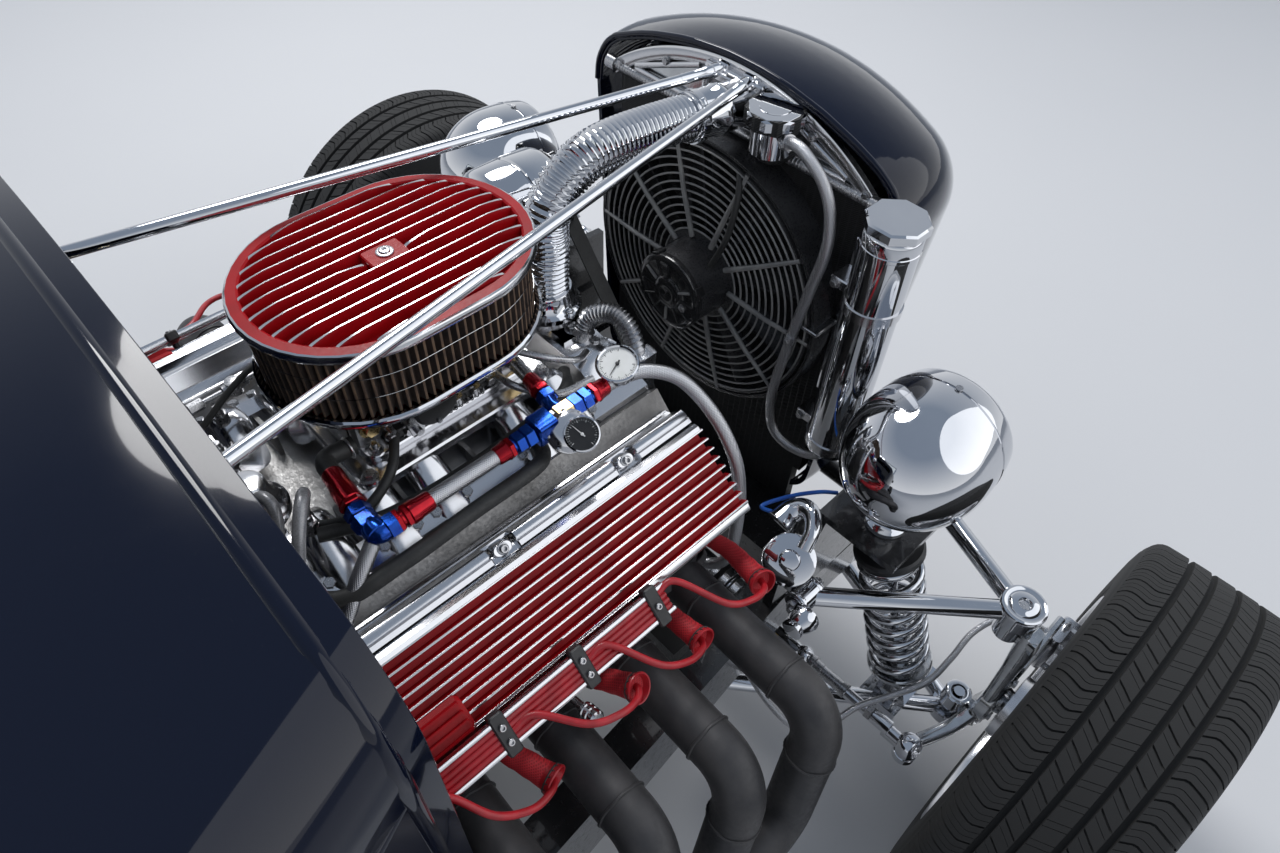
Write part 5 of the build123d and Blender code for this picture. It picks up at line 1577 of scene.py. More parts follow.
@dataclass
class FuelSystem:
    """Braided fuel line along the carburettor's right, its anodised ends, regulator, gauges and pump."""

    across: float = -165.0
    height: float = 818.0
    hose: float = 8.0

    def on(self, station: float, dx: float = 0.0, dz: float = 0.0) -> Vector:
        """A point by the line's own axis."""
        return place(self.across + dx, station, self.height + dz)

    def build(self) -> None:
        """Builds the line from the rear tee forward to the pump."""
        shape = Shape("fuel_line_and_pump")
        self.line(shape)
        self.feeds(shape)
        self.pump(shape)
        finishes = (BRAID, RED_DYE, BLUE_DYE, ALLOY, STEEL, RUBBER, BRASS)
        shape.build(CHASSIS_BODY, finishes, Slot.BRAID, ("fuel_lines",))
        self.gauges()

    def line(self, shape: Shape) -> None:
        """Adds the straight run with its couplings, and the braid down to the pump.

        Args:
            shape: The piece that takes the faces.
        """
        radius = self.hose * MM
        hose_end(shape, self.on(592), self.on(548), 1, 1)
        shape.tube([self.on(549), self.on(510), self.on(470)], radius, 20, 0)
        hose_end(shape, self.on(441), self.on(474), 1, 2, 0.96)
        self.block(shape, 404, 428, 2, 13.0)
        self.nut(shape, self.on(429), self.on(441), 2, 12.6)
        self.nut(shape, self.on(379), self.on(399), 6, 12.2)
        self.nut(shape, self.on(398), self.on(405), 4, 10.0)
        self.nut(shape, self.on(367), self.on(380), 2, 12.4)
        hose_end(shape, self.on(366), self.on(331), 1, 2)
        drop = (
            (-165, 334, 818), (-167, 318, 819), (-178, 286, 819), (-203, 256, 804), (-240, 238, 764),
            (-272, 232, 716)
        )
        drop += (
            (-288, 232, 664), (-295, 234, 600), (-295, 237, 545), (-284, 243, 514), (-260, 254, 502),
            (-240, 264, 500)
        )
        shape.tube(fine_curve(drop, 9), radius, 20, 0)
        back = ((-166, 612, 812), (-178, 640, 792), (-190, 668, 764), (-196, 700, 742))
        shape.tube(fine_curve(back, 8), radius * 0.95, 18, 0)

    def nut(self, shape: Shape, start: Vector, end: Vector, finish: int, corner: float) -> None:
        """Adds a hexagon nut between two points."""
        shape.prism(
            hexagon(corner), frame_on(start, end - start), 0.0, (end - start).length / MM, finish, 1.2
        )

    def block(self, shape: Shape, start: float, end: float, finish: int, half: float) -> None:
        """Adds a square fitting body along the line."""
        shape.prism(
            box_outline(2 * half, 2 * half, 3), frame_on(self.on(start), Vector((0, 1, 0))), 0, end - start,
            finish, 1.5
        )

    def feeds(self, shape: Shape) -> None:
        """Adds the elbows, hose ends and stubs that turn in to the carburettor.

        Args:
            shape: The piece that takes the faces.
        """
        bend = [self.on(594), self.on(602), self.on(606, 4), self.on(606, 12)]
        shape.tube(curve_through(bend, 6), 0.0102, 22, 2)
        self.nut(shape, self.on(585), self.on(597), 2, 12.6)
        shape.lathe(
            ((-2, 9), (-1, 11.5), (6, 12.6), (13, 11.8), (18, 9)),
            frame_on(self.on(604), Vector((1, 0, 0.0))), 28, 2
        )
        self.nut(shape, self.on(606, 10), self.on(606, 24, 1), 2, 13.0)
        hose_end(shape, self.on(606, 25, 1), place(-80, 601, 822), 1, 2, 1.06)
        stub = ((-84, 601, 822), (-70, 600, 822), (-61, 594, 821), (-60, 580, 819), (-61, 566, 818))
        shape.tube(fine_curve(stub, 7), 0.0096, 20, 5)
        shape.ring(frame_on(place(-60.5, 572, 818), Vector((0, 1, 0))), 10.4, 1.6, 4, 28)
        shape.tube(curve_through([self.on(389, 6), self.on(391, 14), self.on(389, 24)], 6), 0.009, 20, 2)
        hose_end(shape, self.on(388, 22), place(-104, 384, 818), 1, 2, 0.94)
        shape.tube([place(-106, 384, 818), place(-80, 382, 818)], 0.0075, 18, 4)

    def pump(self, shape: Shape) -> None:
        """Adds the fuel pump at the foot of the braid, and the regulator's body on the line.

        Args:
            shape: The piece that takes the faces.
        """
        turn = frame_on(place(-226, 268, 500), Vector((1, -0.2, 0)))
        body = (
            (-20, 9), (-19.5, 21), (-17, 25), (-6, 26), (-5, 23), (-3, 23), (-2, 26), (10, 26), (13, 24),
            (20, 22), (20, 8)
        )
        shape.lathe(body, turn, 40, 3)
        for k in range(6):
            angle = math.pi / 3 * k
            spot = turn @ Vector((0.0235 * math.cos(angle), 0.0235 * math.sin(angle), -0.019))
            shape.bolt(spot, turn.to_3x3() @ Vector((0, 0, -1)), 3.0, 3.0, 4)
        hose_end(shape, place(-238, 266, 500), place(-266, 252, 503), 1, 2, 0.9)
        turn = frame_on(place(-184, 398, 814), Vector((-0.5, 0.2, 0.8)))
        body = (
            (-15, 8), (-14.5, 17), (-12, 20.5), (-3, 21.5), (-2, 23), (2, 23), (3, 21), (7, 18), (9, 12),
            (9.5, 6)
        )
        shape.lathe(body, turn, 36, 3)
        for k in range(8):
            angle = math.pi / 4 * k
            shape.lathe(
                ((1.5, 2.2), (3.6, 2.2), (4, 1.6)),
                turn @ Matrix.Translation(Vector((math.cos(angle), math.sin(angle), 0)) * 0.0208), 10, 4
            )

    def gauges(self) -> None:
        """Builds the black-faced gauge on the regulator and the white one on the front tee."""
        shape = Shape("fuel_pressure_gauges")
        tilt = Vector((-0.42, 0.33, 0.84))
        centre = place(-204, 397, 826)
        dial(shape, frame_on(centre, tilt), 18.5, 1, 0, 2, 8, 2.4)
        shape.tube([place(-187, 397, 816), centre - tilt.normalized() * 0.012], 0.006, 14, 4)
        upward = Vector((-0.12, 0.2, 0.97))
        centre = place(-163, 313, 836)
        dial(shape, frame_on(centre, upward), 23.5, 3, 0, 1, 11, 1.9)
        shape.tube([place(-165, 352, 818), place(-164, 330, 822), centre - upward * 0.013], 0.0058, 14, 4)
        shape.build(CHASSIS_BODY, (CHROME, SATIN_BLACK, DIAL, DIAL, BRASS), Slot.CHROME)


@dataclass
class Ignition:
    """Plug leads held in a channel beside each cover, with woven sleeves over the plugs."""

    loom_x: float = -342.0
    loom_z: float = 703.0
    front: float = 406.0
    rear: float = 706.0
    port_front: float = 330.0
    pitch: float = 110.0
    mouths: tuple[tuple[float, float], ...] = ((328.0, 655.0), (423.0, 645.0), (516.0, 668.0), (625.0, 632.0))
    lead: float = 3.7

    def build(self) -> None:
        """Builds both sides as one piece."""
        shape = Shape("plug_lead_set")
        self.channel(shape)
        for cylinder, (station, up) in enumerate(self.mouths):
            self.boot(shape, cylinder, station, up)
        for k, station in enumerate((424.0, 519.0, 613.0)):
            self.clamp(shape, station, 1 if k == 0 else 2)
        self.knob(shape)
        shape.mirrored()
        shape.build(
            CHASSIS_BODY, (SLEEVE, BOOT, SATIN_BLACK, ALLOY, STEEL, RUBBER), Slot.SLEEVE, ("plug_leads",)
        )

    def beside(self, step: float, station: float, lift: float = 0.0) -> Vector:
        """A point of the channel, stepped across it and lifted from its face."""
        turn = math.sqrt(0.5)
        return place(self.loom_x - (step + lift) * turn, station, self.loom_z - (step - lift) * turn)

    def channel(self, shape: Shape) -> None:
        """Adds the two bright strips and the four leads between them.

        Args:
            shape: The piece that takes the faces.
        """
        for step in (-14.0, 14.0):
            outline = box_outline(4.6, 9.0, 1.2, 2)
            turn = frame_on(self.beside(step, self.front), Vector((0, 1, 0)), Vector((-1, 0, 1)))
            shape.prism(outline, turn, 0.0, self.rear - self.front - 6, 3, 0.8)
        for k in range(4):
            step = -9.0 + 6.0 * k
            path = [
                self.beside(step, s, 0.5)
                for s in (self.front + 2, self.front + 6, 500, 600, self.rear - 2, self.rear)
            ]
            radii = [self.lead * MM * share for share in (0.7, 1.0, 1.0, 1.0, 1.0, 0.7)]
            shape.tube(path, radii, 14, 0)

    def boot(self, shape: Shape, cylinder: int, station: float, up: float) -> None:
        """Adds one plug's sleeve with its flared, stitched mouth, and the lead that loops into it.

        Args:
            shape: The piece that takes the faces.
            cylinder: Which cylinder, 0 at the front.
            station: The station that its mouth is set from.
            up: The mouth's height.
        """
        port = self.port_front + self.pitch * cylinder
        plug, knee = place(-276, port - 52, 612), place(-325, port - 48, 632)
        mouth = place(-380, station - 30, up)
        path = curve_through([plug, plug.lerp(knee, 0.5), knee, knee.lerp(mouth, 0.5), mouth], 5)
        count = len(path)
        radii = [(9.5 + 3.6 * (k / (count - 1)) ** 1.5 + 0.35 * math.sin(k * 2.1)) * MM for k in range(count)]
        shape.tube(path, radii, 22, 1)
        axis = (mouth - knee).normalized()
        turn = frame_on(mouth, axis)
        shape.lathe(
            (
                (-6, 12.8), (-1, 14.2), (3, 15.6), (5.5, 16.2), (6.8, 15.6), (6.5, 14.2), (2, 12.6),
                (-4, 10.5)
            ),
            turn, 30, 0
        )
        shape.lathe(((-3.9, 10.6), (-3.6, 4.0)), turn, 24, 2)
        shape.ring(turn @ Matrix.Translation((0, 0, 0.0002)), 14.6, 0.9, 5, 34, 6)
        for k in range(14):
            angle = 2 * math.pi * k / 14
            spot = turn @ Vector((0.0158 * math.cos(angle), 0.0158 * math.sin(angle), 0.0035))
            stitch = turn @ Vector(
                (0.0146 * math.cos(angle + 0.16), 0.0146 * math.sin(angle + 0.16), -0.0008)
            )
            shape.tube([spot, stitch], 0.0006, 5, 2)
        shape.prism(hexagon(10), frame_on(plug, plug - knee), -4, 8, 4, 1)
        step = -9.0 + 6.0 * cylinder
        out = mouth + axis * 0.004
        loop = [
            mouth - axis * 0.006, out, place(-393, station - 20, up + 8), place(-396, station + 4, up + 20)
        ]
        exit_station = min(station + 90.0, self.rear)
        loop += [
            place(-385, station + 34, (up + self.loom_z) / 2 + 10),
            self.beside(step, exit_station - 24, 6.0), self.beside(step, exit_station, 1.5)
        ]
        shape.tube(curve_through(loop, 7), self.lead * MM, 14, 0)

    def clamp(self, shape: Shape, station: float, screws: int) -> None:
        """Adds a black clamp across the channel with its socket screws, and its strap down to the head.

        Args:
            shape: The piece that takes the faces.
            station: Its station.
            screws: How many screws it has, 1 or 2.
        """
        face = Vector((-1, 0, 1)).normalized()
        turn = frame_on(self.beside(0.0, station), face, Vector((0, 1, 0)))
        shape.prism(box_outline(44, 15, 3), turn, -5.5, 6.5, 2, 1.4)
        for k in range(screws):
            step = 0.0 if screws == 1 else (-8.0, 8.0)[k]
            spot = turn @ Vector((step * MM, 0, 0.0063))
            shape.lathe(
                ((0, 3.6), (2.6, 3.6), (3.3, 2.9), (3.3, 2.0), (1.2, 1.8)), frame_on(spot, face), 18, 4
            )
        shape.tube(
            [place(-338, station, 697), place(-312, station, 668), place(-281, station, 636)], 0.004, 12, 2
        )

    def knob(self, shape: Shape) -> None:
        """Adds the brushed dipstick knob with its three rings.

        Args:
            shape: The piece that takes the faces.
        """
        turn = frame_on(place(-352, 527, 632), Vector((-0.9, 0, 0.35)))
        shape.lathe(
            (
                (-3, 4), (0, 8.5), (4, 9.3), (5, 8.2), (7, 8.2), (8, 9.3), (11, 9.3), (12, 8.2), (14, 8.2),
                (15, 9.3), (19, 9.0), (21, 7.0)
            ),
            turn, 30, 3
        )
        shape.tube([place(-300, 527, 600), place(-330, 527, 622), place(-353, 527, 632)], 0.0045, 12, 4)


@dataclass
class HeaderTrim:
    """Flanges, bolts and weld beads on the exhaust headers."""

    port_front: float = 330.0
    pitch: float = 110.0
    pipe: float = 28.0

    def build(self) -> None:
        """Builds both sides as one piece."""
        shape = Shape("header_flanges")
        for cylinder in range(4):
            port = self.port_front + self.pitch * cylinder
            drop = 12.0 * (3 - cylinder)
            axis = Vector((-1, 0, -1)).normalized()
            turn = frame_on(place(-277, port, 582), axis, Vector((0, 1, 0)))
            shape.prism(oval_outline(104, 72, 10), turn, -3.5, 6.0, 0, 1.2)
            for side in (-1, 1):
                spot = turn @ Vector((0, side * 0.042, 0.0058))
                shape.bolt(spot, axis, 6.5, 6.0, 1)
            corners = [
                place(-285, port, 590), place(-480 - drop, port + 5, 590),
                place(-502 - drop, port + 60, 430)
            ]
            run = (corners[1] - corners[0]).normalized()
            down = (corners[2] - corners[1]).normalized()
            for point, along in (
                (corners[0] + run * 0.05, run), (corners[1] - run * 0.057, run),
                (corners[1] + down * 0.06, down)
            ):
                self.bead(shape, point, along)
            self.bead(shape, place(-530, 838 + 4 * cylinder, 338), Vector((0, 1, 0)), 48.5)
        shape.ring(frame_on(place(-530, 955, 330), Vector((0, 1, 0))), 51, 4.5, 0, 40)
        shape.mirrored()
        shape.build(CHASSIS_BODY, (HEADER, STEEL), Slot.HEADER)

    def bead(self, shape: Shape, point: Vector, along: Vector, radius: float | None = None) -> None:
        """Adds a weld bead round the pipe, its ripples one behind another.

        Args:
            shape: The piece that takes the faces.
            point: Its middle.
            along: The pipe's direction.
            radius: Its radius in millimetres; the pipe's own where none is given.
        """
        turn = frame_on(point, along)
        reach = radius or self.pipe - 0.2
        ring = []
        for k in range(72):
            angle = 2 * math.pi * k / 72
            swell = 0.5 * (k % 2) + 0.25 * math.sin(angle * 5)
            r = (reach + swell) * MM
            ring.append(
                turn @ Vector((r * math.cos(angle), r * math.sin(angle), 0.0004 * math.sin(angle * 7)))
            )
        shape.tube([*ring, ring[0]], 0.0019, 6, 0, caps=False)


@dataclass
class Carburettor:
    """Four-barrel carburettor: fuel bowls, linkage, throttle plate and spacer under the air cleaner."""

    station: float = 460.0
    base: float = 789.0
    top: float = 849.0

    def build(self) -> None:
        """Builds the body, the bowls and the small parts."""
        shape = Shape("carburettor_body")
        self.plates(shape)
        self.bowls(shape)
        self.linkage(shape)
        finishes = (CAST, SATIN_BLACK, ALLOY, STEEL, BRASS, RUBBER)
        shape.build(CHASSIS_BODY, finishes, Slot.CAST, ("carburettor",))

    def plates(self, shape: Shape) -> None:
        """Adds the spacer, the throttle plate, the main body and the air horn.

        Args:
            shape: The piece that takes the faces.
        """
        s = self.station
        middle = Matrix.Translation(place(0, s, self.base))
        shape.prism(box_outline(146, 200, 12), middle, 0, 9, 2, 1.5)
        shape.prism(box_outline(134, 150, 16), middle, 9, 20, 1, 1.5)
        shape.prism(box_outline(118, 120, 22), middle, 20, 50, 1, 4)
        for k in range(5):
            shape.prism(box_outline(124, 108 - 3 * k, 6), middle, 22 + 5.5 * k, 24.5 + 5.5 * k, 0, 0.7)
        shape.lathe(((48, 50), (50, 62), (60, 64), (70, 64), (73, 62)), middle, 48, 0)
        for dx in (-64, 64):
            for dy in (-88, 88):
                shape.bolt(place(dx, s + dy, self.base + 9), Vector((0, 0, 1)), 6, 6, 3)
                shape.tube(
                    [place(dx, s + dy, self.base + 9), place(dx, s + dy, self.base + 20)], 0.0032, 10, 3
                )

    def bowls(self, shape: Shape) -> None:
        """Adds the fuel bowls at both ends, with their screws, sight plugs and adjusters.

        Args:
            shape: The piece that takes the faces.
        """
        for end in (-1, 1):
            centre = place(0, self.station + end * 84, self.base + 32)
            turn = frame_on(centre, Vector((0, end, 0)), Vector((0, 0, 1)))
            shape.prism(box_outline(112, 48, 10), turn, -26, 19, 0, 4)
            shape.prism(box_outline(96, 34, 8), turn, 18, 20.5, 1, 1)
            for dx in (-46, 46):
                for dz in (-14, 14):
                    shape.bolt(turn @ Vector((dx * MM, dz * MM, 0.0185)), Vector((0, end, 0)), 4.2, 4.5, 4)
            shape.lathe(
                ((0, 7), (7, 7), (8, 5.5), (8, 2.5), (5, 2.0)),
                frame_on(place(-46, self.station + end * 84, self.base + 55), Vector((0, 0, 1))), 20, 4
            )
            shape.bolt(place(-57, self.station + end * 84, self.base + 34), Vector((-1, 0, 0)), 9, 6, 4)

    def linkage(self, shape: Shape) -> None:
        """Adds the choke pod, the throttle levers, springs and the row of screws on the right.

        Args:
            shape: The piece that takes the faces.
        """
        s = self.station
        side = Vector((-1, 0, 0))
        shape.lathe(
            ((0, 14), (6, 16), (9, 24), (20, 25), (23, 22), (24, 10)),
            frame_on(place(-56, s + 20, self.base + 36), side), 36, 1
        )
        for k in range(3):
            angle = 0.6 + 2.1 * k
            shape.lathe(
                ((0, 3.2), (2.4, 3.2), (2.8, 2.2)),
                frame_on(
                    place(-79, s + 20 + 19 * math.cos(angle), self.base + 36 + 19 * math.sin(angle)), side
                ),
                14, 3
            )
        for station, up in ((s - 50, 16), (s - 30, 14), (s - 8, 15), (s + 52, 14), (s + 70, 18)):
            shape.bolt(place(-66, station, self.base + up), side, 5, 6, 3)
            shape.lathe(
                ((0, 3.4), (3, 3.4), (4, 4.6), (6, 4.6), (7, 3.4), (16, 3.2)),
                frame_on(place(-60, station, self.base + up + 14), side), 18, 4 if station < s else 3
            )
        lever = [(-6, -9), (7, -9), (11, 4), (5, 30), (-3, 31), (-9, 6)]
        for side_x in (-1, 1):
            turn = frame_on(
                place(side_x * 70, s + 44, self.base + 14), Vector((side_x, 0, 0)), Vector((0, 0, 1))
            )
            shape.prism(lever, turn, 0, 3, 3, 0.5)
            shape.tube(
                [place(side_x * 60, s + 44, self.base + 14), place(side_x * 79, s + 44, self.base + 14)],
                0.0042, 14, 3
            )
        rod = ((-74, s + 40, 832), (-76, s + 10, 834), (-76, s - 30, 828), (-74, s - 52, 818))
        shape.tube(fine_curve(rod, 6), 0.0019, 10, 3)
        coil = []
        for k in range(90):
            angle = 2 * math.pi * k / 9
            coil.append(place(-72 + 4 * math.cos(angle), s - 40 + k * 0.75, 803 + 4 * math.sin(angle)))
        shape.tube(coil, 0.0007, 6, 3)
        cable = (
            (72, s + 48, 838), (78, s + 96, 846), (74, s + 150, 836), (62, s + 222, 800), (50, s + 300, 770)
        )
        shape.tube(fine_curve(cable, 8), 0.0034, 12, 5)
        loop = (
            (-66, s + 66, 806), (-98, s + 92, 800), (-112, s + 130, 790), (-96, s + 168, 780),
            (-62, s + 176, 778)
        )
        shape.tube(fine_curve(loop, 9), 0.0052, 16, 5)
        pipe = ((-60, s - 92, 815), (-86, s - 118, 806), (-96, s - 148, 792), (-84, s - 172, 780))
        shape.tube(fine_curve(pipe, 8), 0.0040, 14, 3)


@dataclass
class IntakeBody:
    """The cast intake: carburettor flange, plenum, separate runners, head flanges and valley."""

    runners: tuple[float, ...] = (345.0, 405.0, 515.0, 575.0, 635.0)
    front: float = 250.0
    rear: float = 744.0

    def build(self) -> None:
        """Builds the casting."""
        shape = Shape("intake_casting")
        valley = (
            (-104, 693), (104, 693), (138, 724), (118, 733), (60, 724), (-60, 724), (-118, 733), (-138, 724)
        )
        self.bar(shape, valley, self.front, self.rear, 2)
        for side in (-1, 1):
            flange = [
                (side * x, z)
                for x, z in ((112, 728), (140, 727), (150, 739), (147, 748), (128, 755), (112, 748))
            ]
            self.bar(shape, flange, self.front, self.rear, 0)
            for station in self.runners:
                self.runner(shape, side, station)
            for station in (375, 460, 545, 605):
                rib = [(side * x, z) for x, z in ((60, 724), (118, 732), (118, 742), (60, 752))]
                self.bar(shape, rib, station - 2.5, station + 2.5, 2)
        self.flange(shape)
        self.crossings(shape)
        shape.build(CHASSIS_BODY, (ALLOY, STEEL, VALLEY), Slot.ALLOY, ("intake_manifold",))

    def bar(
        self, shape: Shape, section: Sequence[tuple[float, float]], start: float, end: float, finish: int
    ) -> None:
        """Runs a section of (across, height) along the car, with eased ends.

        Args:
            shape: The piece that takes the faces.
            section: Points of (across, height).
            start: The station where it starts.
            end: The station where it ends.
            finish: The finish's place in the piece's list.
        """
        cx = sum(x for x, _ in section) / len(section)
        cz = sum(z for _, z in section) / len(section)
        rings = []
        for station, size in ((start, 0.985), (start + 1.5, 1.0), (end - 1.5, 1.0), (end, 0.985)):
            rings.append([place(cx + (x - cx) * size, station, cz + (z - cz) * size) for x, z in section])
        shape.rings(rings, finish)

    def runner(self, shape: Shape, side: int, station: float) -> None:
        """Adds one runner: a flattened tube that bends down to its head flange, with a bolt boss.

        Args:
            shape: The piece that takes the faces.
            side: -1 for the car's right, 1 for its left.
            station: Its station.
        """
        rings = []
        line = (
            (52, 752, 17, 16), (72, 764, 19, 18), (84, 765.5, 20, 19), (100, 758, 20.5, 18),
            (122, 745, 22, 17), (140, 734, 24, 16), (148, 730, 25, 15)
        )
        for x, z, wide, tall in line:
            ring = []
            for k in range(28):
                angle = 2 * math.pi * k / 28
                a, b = math.cos(angle), math.sin(angle)
                a = math.copysign(abs(a) ** 0.75, a)
                b = math.copysign(abs(b) ** 0.75, b)
                ring.append(place(side * (x + 0.45 * b * tall), station + a * wide, z + b * tall))
            rings.append(ring)
        shape.rings(rings, 0)
        for shift in (-19, 19):
            seat = place(side * 134, station + shift, 748)
            axis = Vector((side * 0.35, 0, 0.94))
            shape.lathe(((-12, 11), (0, 10.4), (1.2, 9)), frame_on(seat, axis), 26, 0)
            shape.bolt(seat + axis.normalized() * 0.0012, axis, 6, 6.5, 1)

    def flange(self, shape: Shape) -> None:
        """Adds the plenum box and the studded flange under the carburettor.

        Args:
            shape: The piece that takes the faces.
        """
        outline = box_outline(168, 226, 18, 6)
        shape.prism(outline, Matrix.Translation(place(0, 460, 724)), 0, 54, 0, 4)
        shape.prism(box_outline(190, 240, 22, 6), Matrix.Translation(place(0, 460, 776)), 0, 13, 0, 2)
        for x in (-82, 82):
            for station in (352, 568):
                shape.bolt(place(x, station, 789), Vector((0, 0, 1)), 6.5, 7, 1)
        for x in (-1, 1):
            for station in (392, 428, 492, 528):
                shape.block(place(x * 84 - 3, station - 3, 732), place(x * 84 + 3, station + 3, 774), 0, 1.5)

    def crossings(self, shape: Shape) -> None:
        """Adds the water crossover with its hose neck in front, and the distributor's pad behind.

        Args:
            shape: The piece that takes the faces.
        """
        front = (
            (-118, 728), (118, 728), (122, 744), (96, 768), (60, 772), (-60, 772), (-96, 768), (-122, 744)
        )
        self.bar(shape, front, self.front, 306, 0)
        neck = Matrix.Translation(place(0, 275, 768))
        shape.prism(oval_outline(66, 108, 10), neck, 0, 11, 0, 2)
        shape.lathe(((9, 37), (12, 36), (20, 33), (26, 30), (29, 27), (31, 27.5), (32, 26)), neck, 48, 0)
        for x in (-44, 44):
            shape.bolt(place(x, 275, 779), Vector((0, 0, 1)), 7, 7, 1)
        back = ((-100, 724), (100, 724), (112, 746), (92, 770), (-92, 770), (-112, 746))
        self.bar(shape, back, 656, self.rear, 0)
        for x in (-104, -70, 70, 104):
            shape.bolt(place(x, 262, 748 if abs(x) > 90 else 768), Vector((0, 0, 1)), 6, 6, 1)


@dataclass
class IntakeTrim:
    """Bolts, bosses, hoses and fittings on the polished intake between the banks."""

    def build(self) -> None:
        """Builds the fixings and the hoses."""
        shape = Shape("intake_fittings")
        plugs = ((-92, 640, 1), (-58, 676, 2), (40, 662, 1), (88, 640, 1), (-30, 706, 2), (62, 716, 2))
        for x, station, finish in plugs:
            turn = Matrix.Translation(place(x, station, 774))
            shape.lathe(((-2, 12), (3, 11), (4, 8.4), (12, 8.2)), turn, 26, 0)
            shape.prism(hexagon(8.4), turn, 11, 20, finish, 1)
            shape.lathe(((20, 5), (28, 5), (29, 3.8), (34, 3.6)), turn, 18, 1)
        shape.lathe(
            ((0, 30), (3, 33), (10, 33), (12, 30), (26, 22), (44, 20), (46, 17), (46, 4)),
            Matrix.Translation(place(-36, 668, 773)), 40, 0
        )
        grey = (
            (-92, 642, 806), (-96, 634, 836), (-112, 644, 842), (-132, 662, 826), (-140, 676, 798),
            (-126, 690, 778)
        )
        shape.tube(fine_curve(grey, 8), 0.0062, 16, 4)
        second = (
            (-58, 678, 806), (-66, 664, 828), (-84, 660, 826), (-100, 672, 800), (-108, 690, 778),
            (-90, 706, 772)
        )
        shape.tube(fine_curve(second, 8), 0.0058, 16, 4)
        dark = (
            (-120, 694, 772), (-176, 660, 782), (-188, 600, 792), (-188, 520, 796), (-184, 446, 792),
            (-168, 420, 780), (-140, 408, 770)
        )
        shape.tube(fine_curve(dark, 9), 0.0082, 18, 3)
        loom = (
            (-84, 322, 772), (-112, 346, 776), (-124, 420, 774), (-126, 500, 772), (-122, 580, 775),
            (-104, 640, 784)
        )
        shape.tube(fine_curve(loom, 8), 0.0072, 14, 3)
        for k, station in enumerate((300, 344, 400, 458, 520, 584, 650, 706)):
            shape.bolt(place(-164, station, 730), Vector((-0.2, 0, 1)), 6.6, 6, 1 if k % 3 else 2)
        strip = [place(-171, s, 722) for s in (262, 400, 560, 740)]
        shape.tube(strip, 0.0034, 8, 5)
        rod = ((-60, 404, 812), (-96, 396, 808), (-120, 360, 790), (-122, 312, 782))
        shape.tube(fine_curve(rod, 6), 0.0042, 12, 1)
        self.throttle_rod(shape)
        self.bypass(shape)
        finishes = (ALLOY, STEEL, BRASS, RUBBER, HOSE_GREY, BRASS)
        shape.build(CHASSIS_BODY, finishes, Slot.ALLOY)

    def bypass(self, shape: Shape) -> None:
        """Adds the small corrugated bypass hose that arches from the intake down to the pump.

        Args:
            shape: The piece that takes the faces.
        """
        arch = (
            (-52, 270, 770), (-56, 256, 796), (-76, 242, 806), (-98, 236, 794), (-112, 234, 756),
            (-104, 232, 700), (-84, 234, 660)
        )
        path = fine_curve(arch, 26)
        shape.tube(path, [(10.6 + 1.5 * math.cos(2 * math.pi * k / 4)) * MM for k in range(len(path))], 20, 1)
        for point, ahead in ((path[0], path[6]), (path[-1], path[-7])):
            shape.lathe(((-2, 12), (-1, 14), (12, 14), (13, 12)), frame_on(point, ahead - point), 30, 1)

    def throttle_rod(self, shape: Shape) -> None:
        """Adds the threaded throttle rod with its ball joint, from the firewall on.

        Args:
            shape: The piece that takes the faces.
        """
        start, joint, end = place(92, 706, 812), place(95, 614, 812), place(97, 572, 813)
        shape.tube([start, start.lerp(joint, 0.5), joint], 0.0032, 12, 1)
        shape.tube([joint, joint.lerp(end, 0.5), end], 0.0036, 12, 1)
        shape.prism(hexagon(6.2), frame_on(start.lerp(joint, 0.55), joint - start), -8, 8, 1, 0.8)
        shape.lathe(
            ((-13, 4), (-12, 6), (-4, 6.4), (0, 8.6), (4, 6.4), (14, 5.4), (15, 4)),
            frame_on(joint, end - start), 24, 1
        )
        shape.lathe(((-9, 3), (-8, 7.6), (8, 7.6), (9, 3)), frame_on(joint, Vector((0, 0, 1))), 24, 1)
        shape.lathe(((-10, 2.6), (-9, 4.6), (8, 4.6), (9, 2.6)), frame_on(end, Vector((1, 0, 0))), 18, 2)
        lever = [(-5, -5), (5, -5), (7, 30), (-7, 30)]
        shape.prism(
            lever, frame_on(place(88, 572, 813), Vector((1, 0, 0)), Vector((0, 0, -1))), 0, 2.5, 1, 0.6
        )


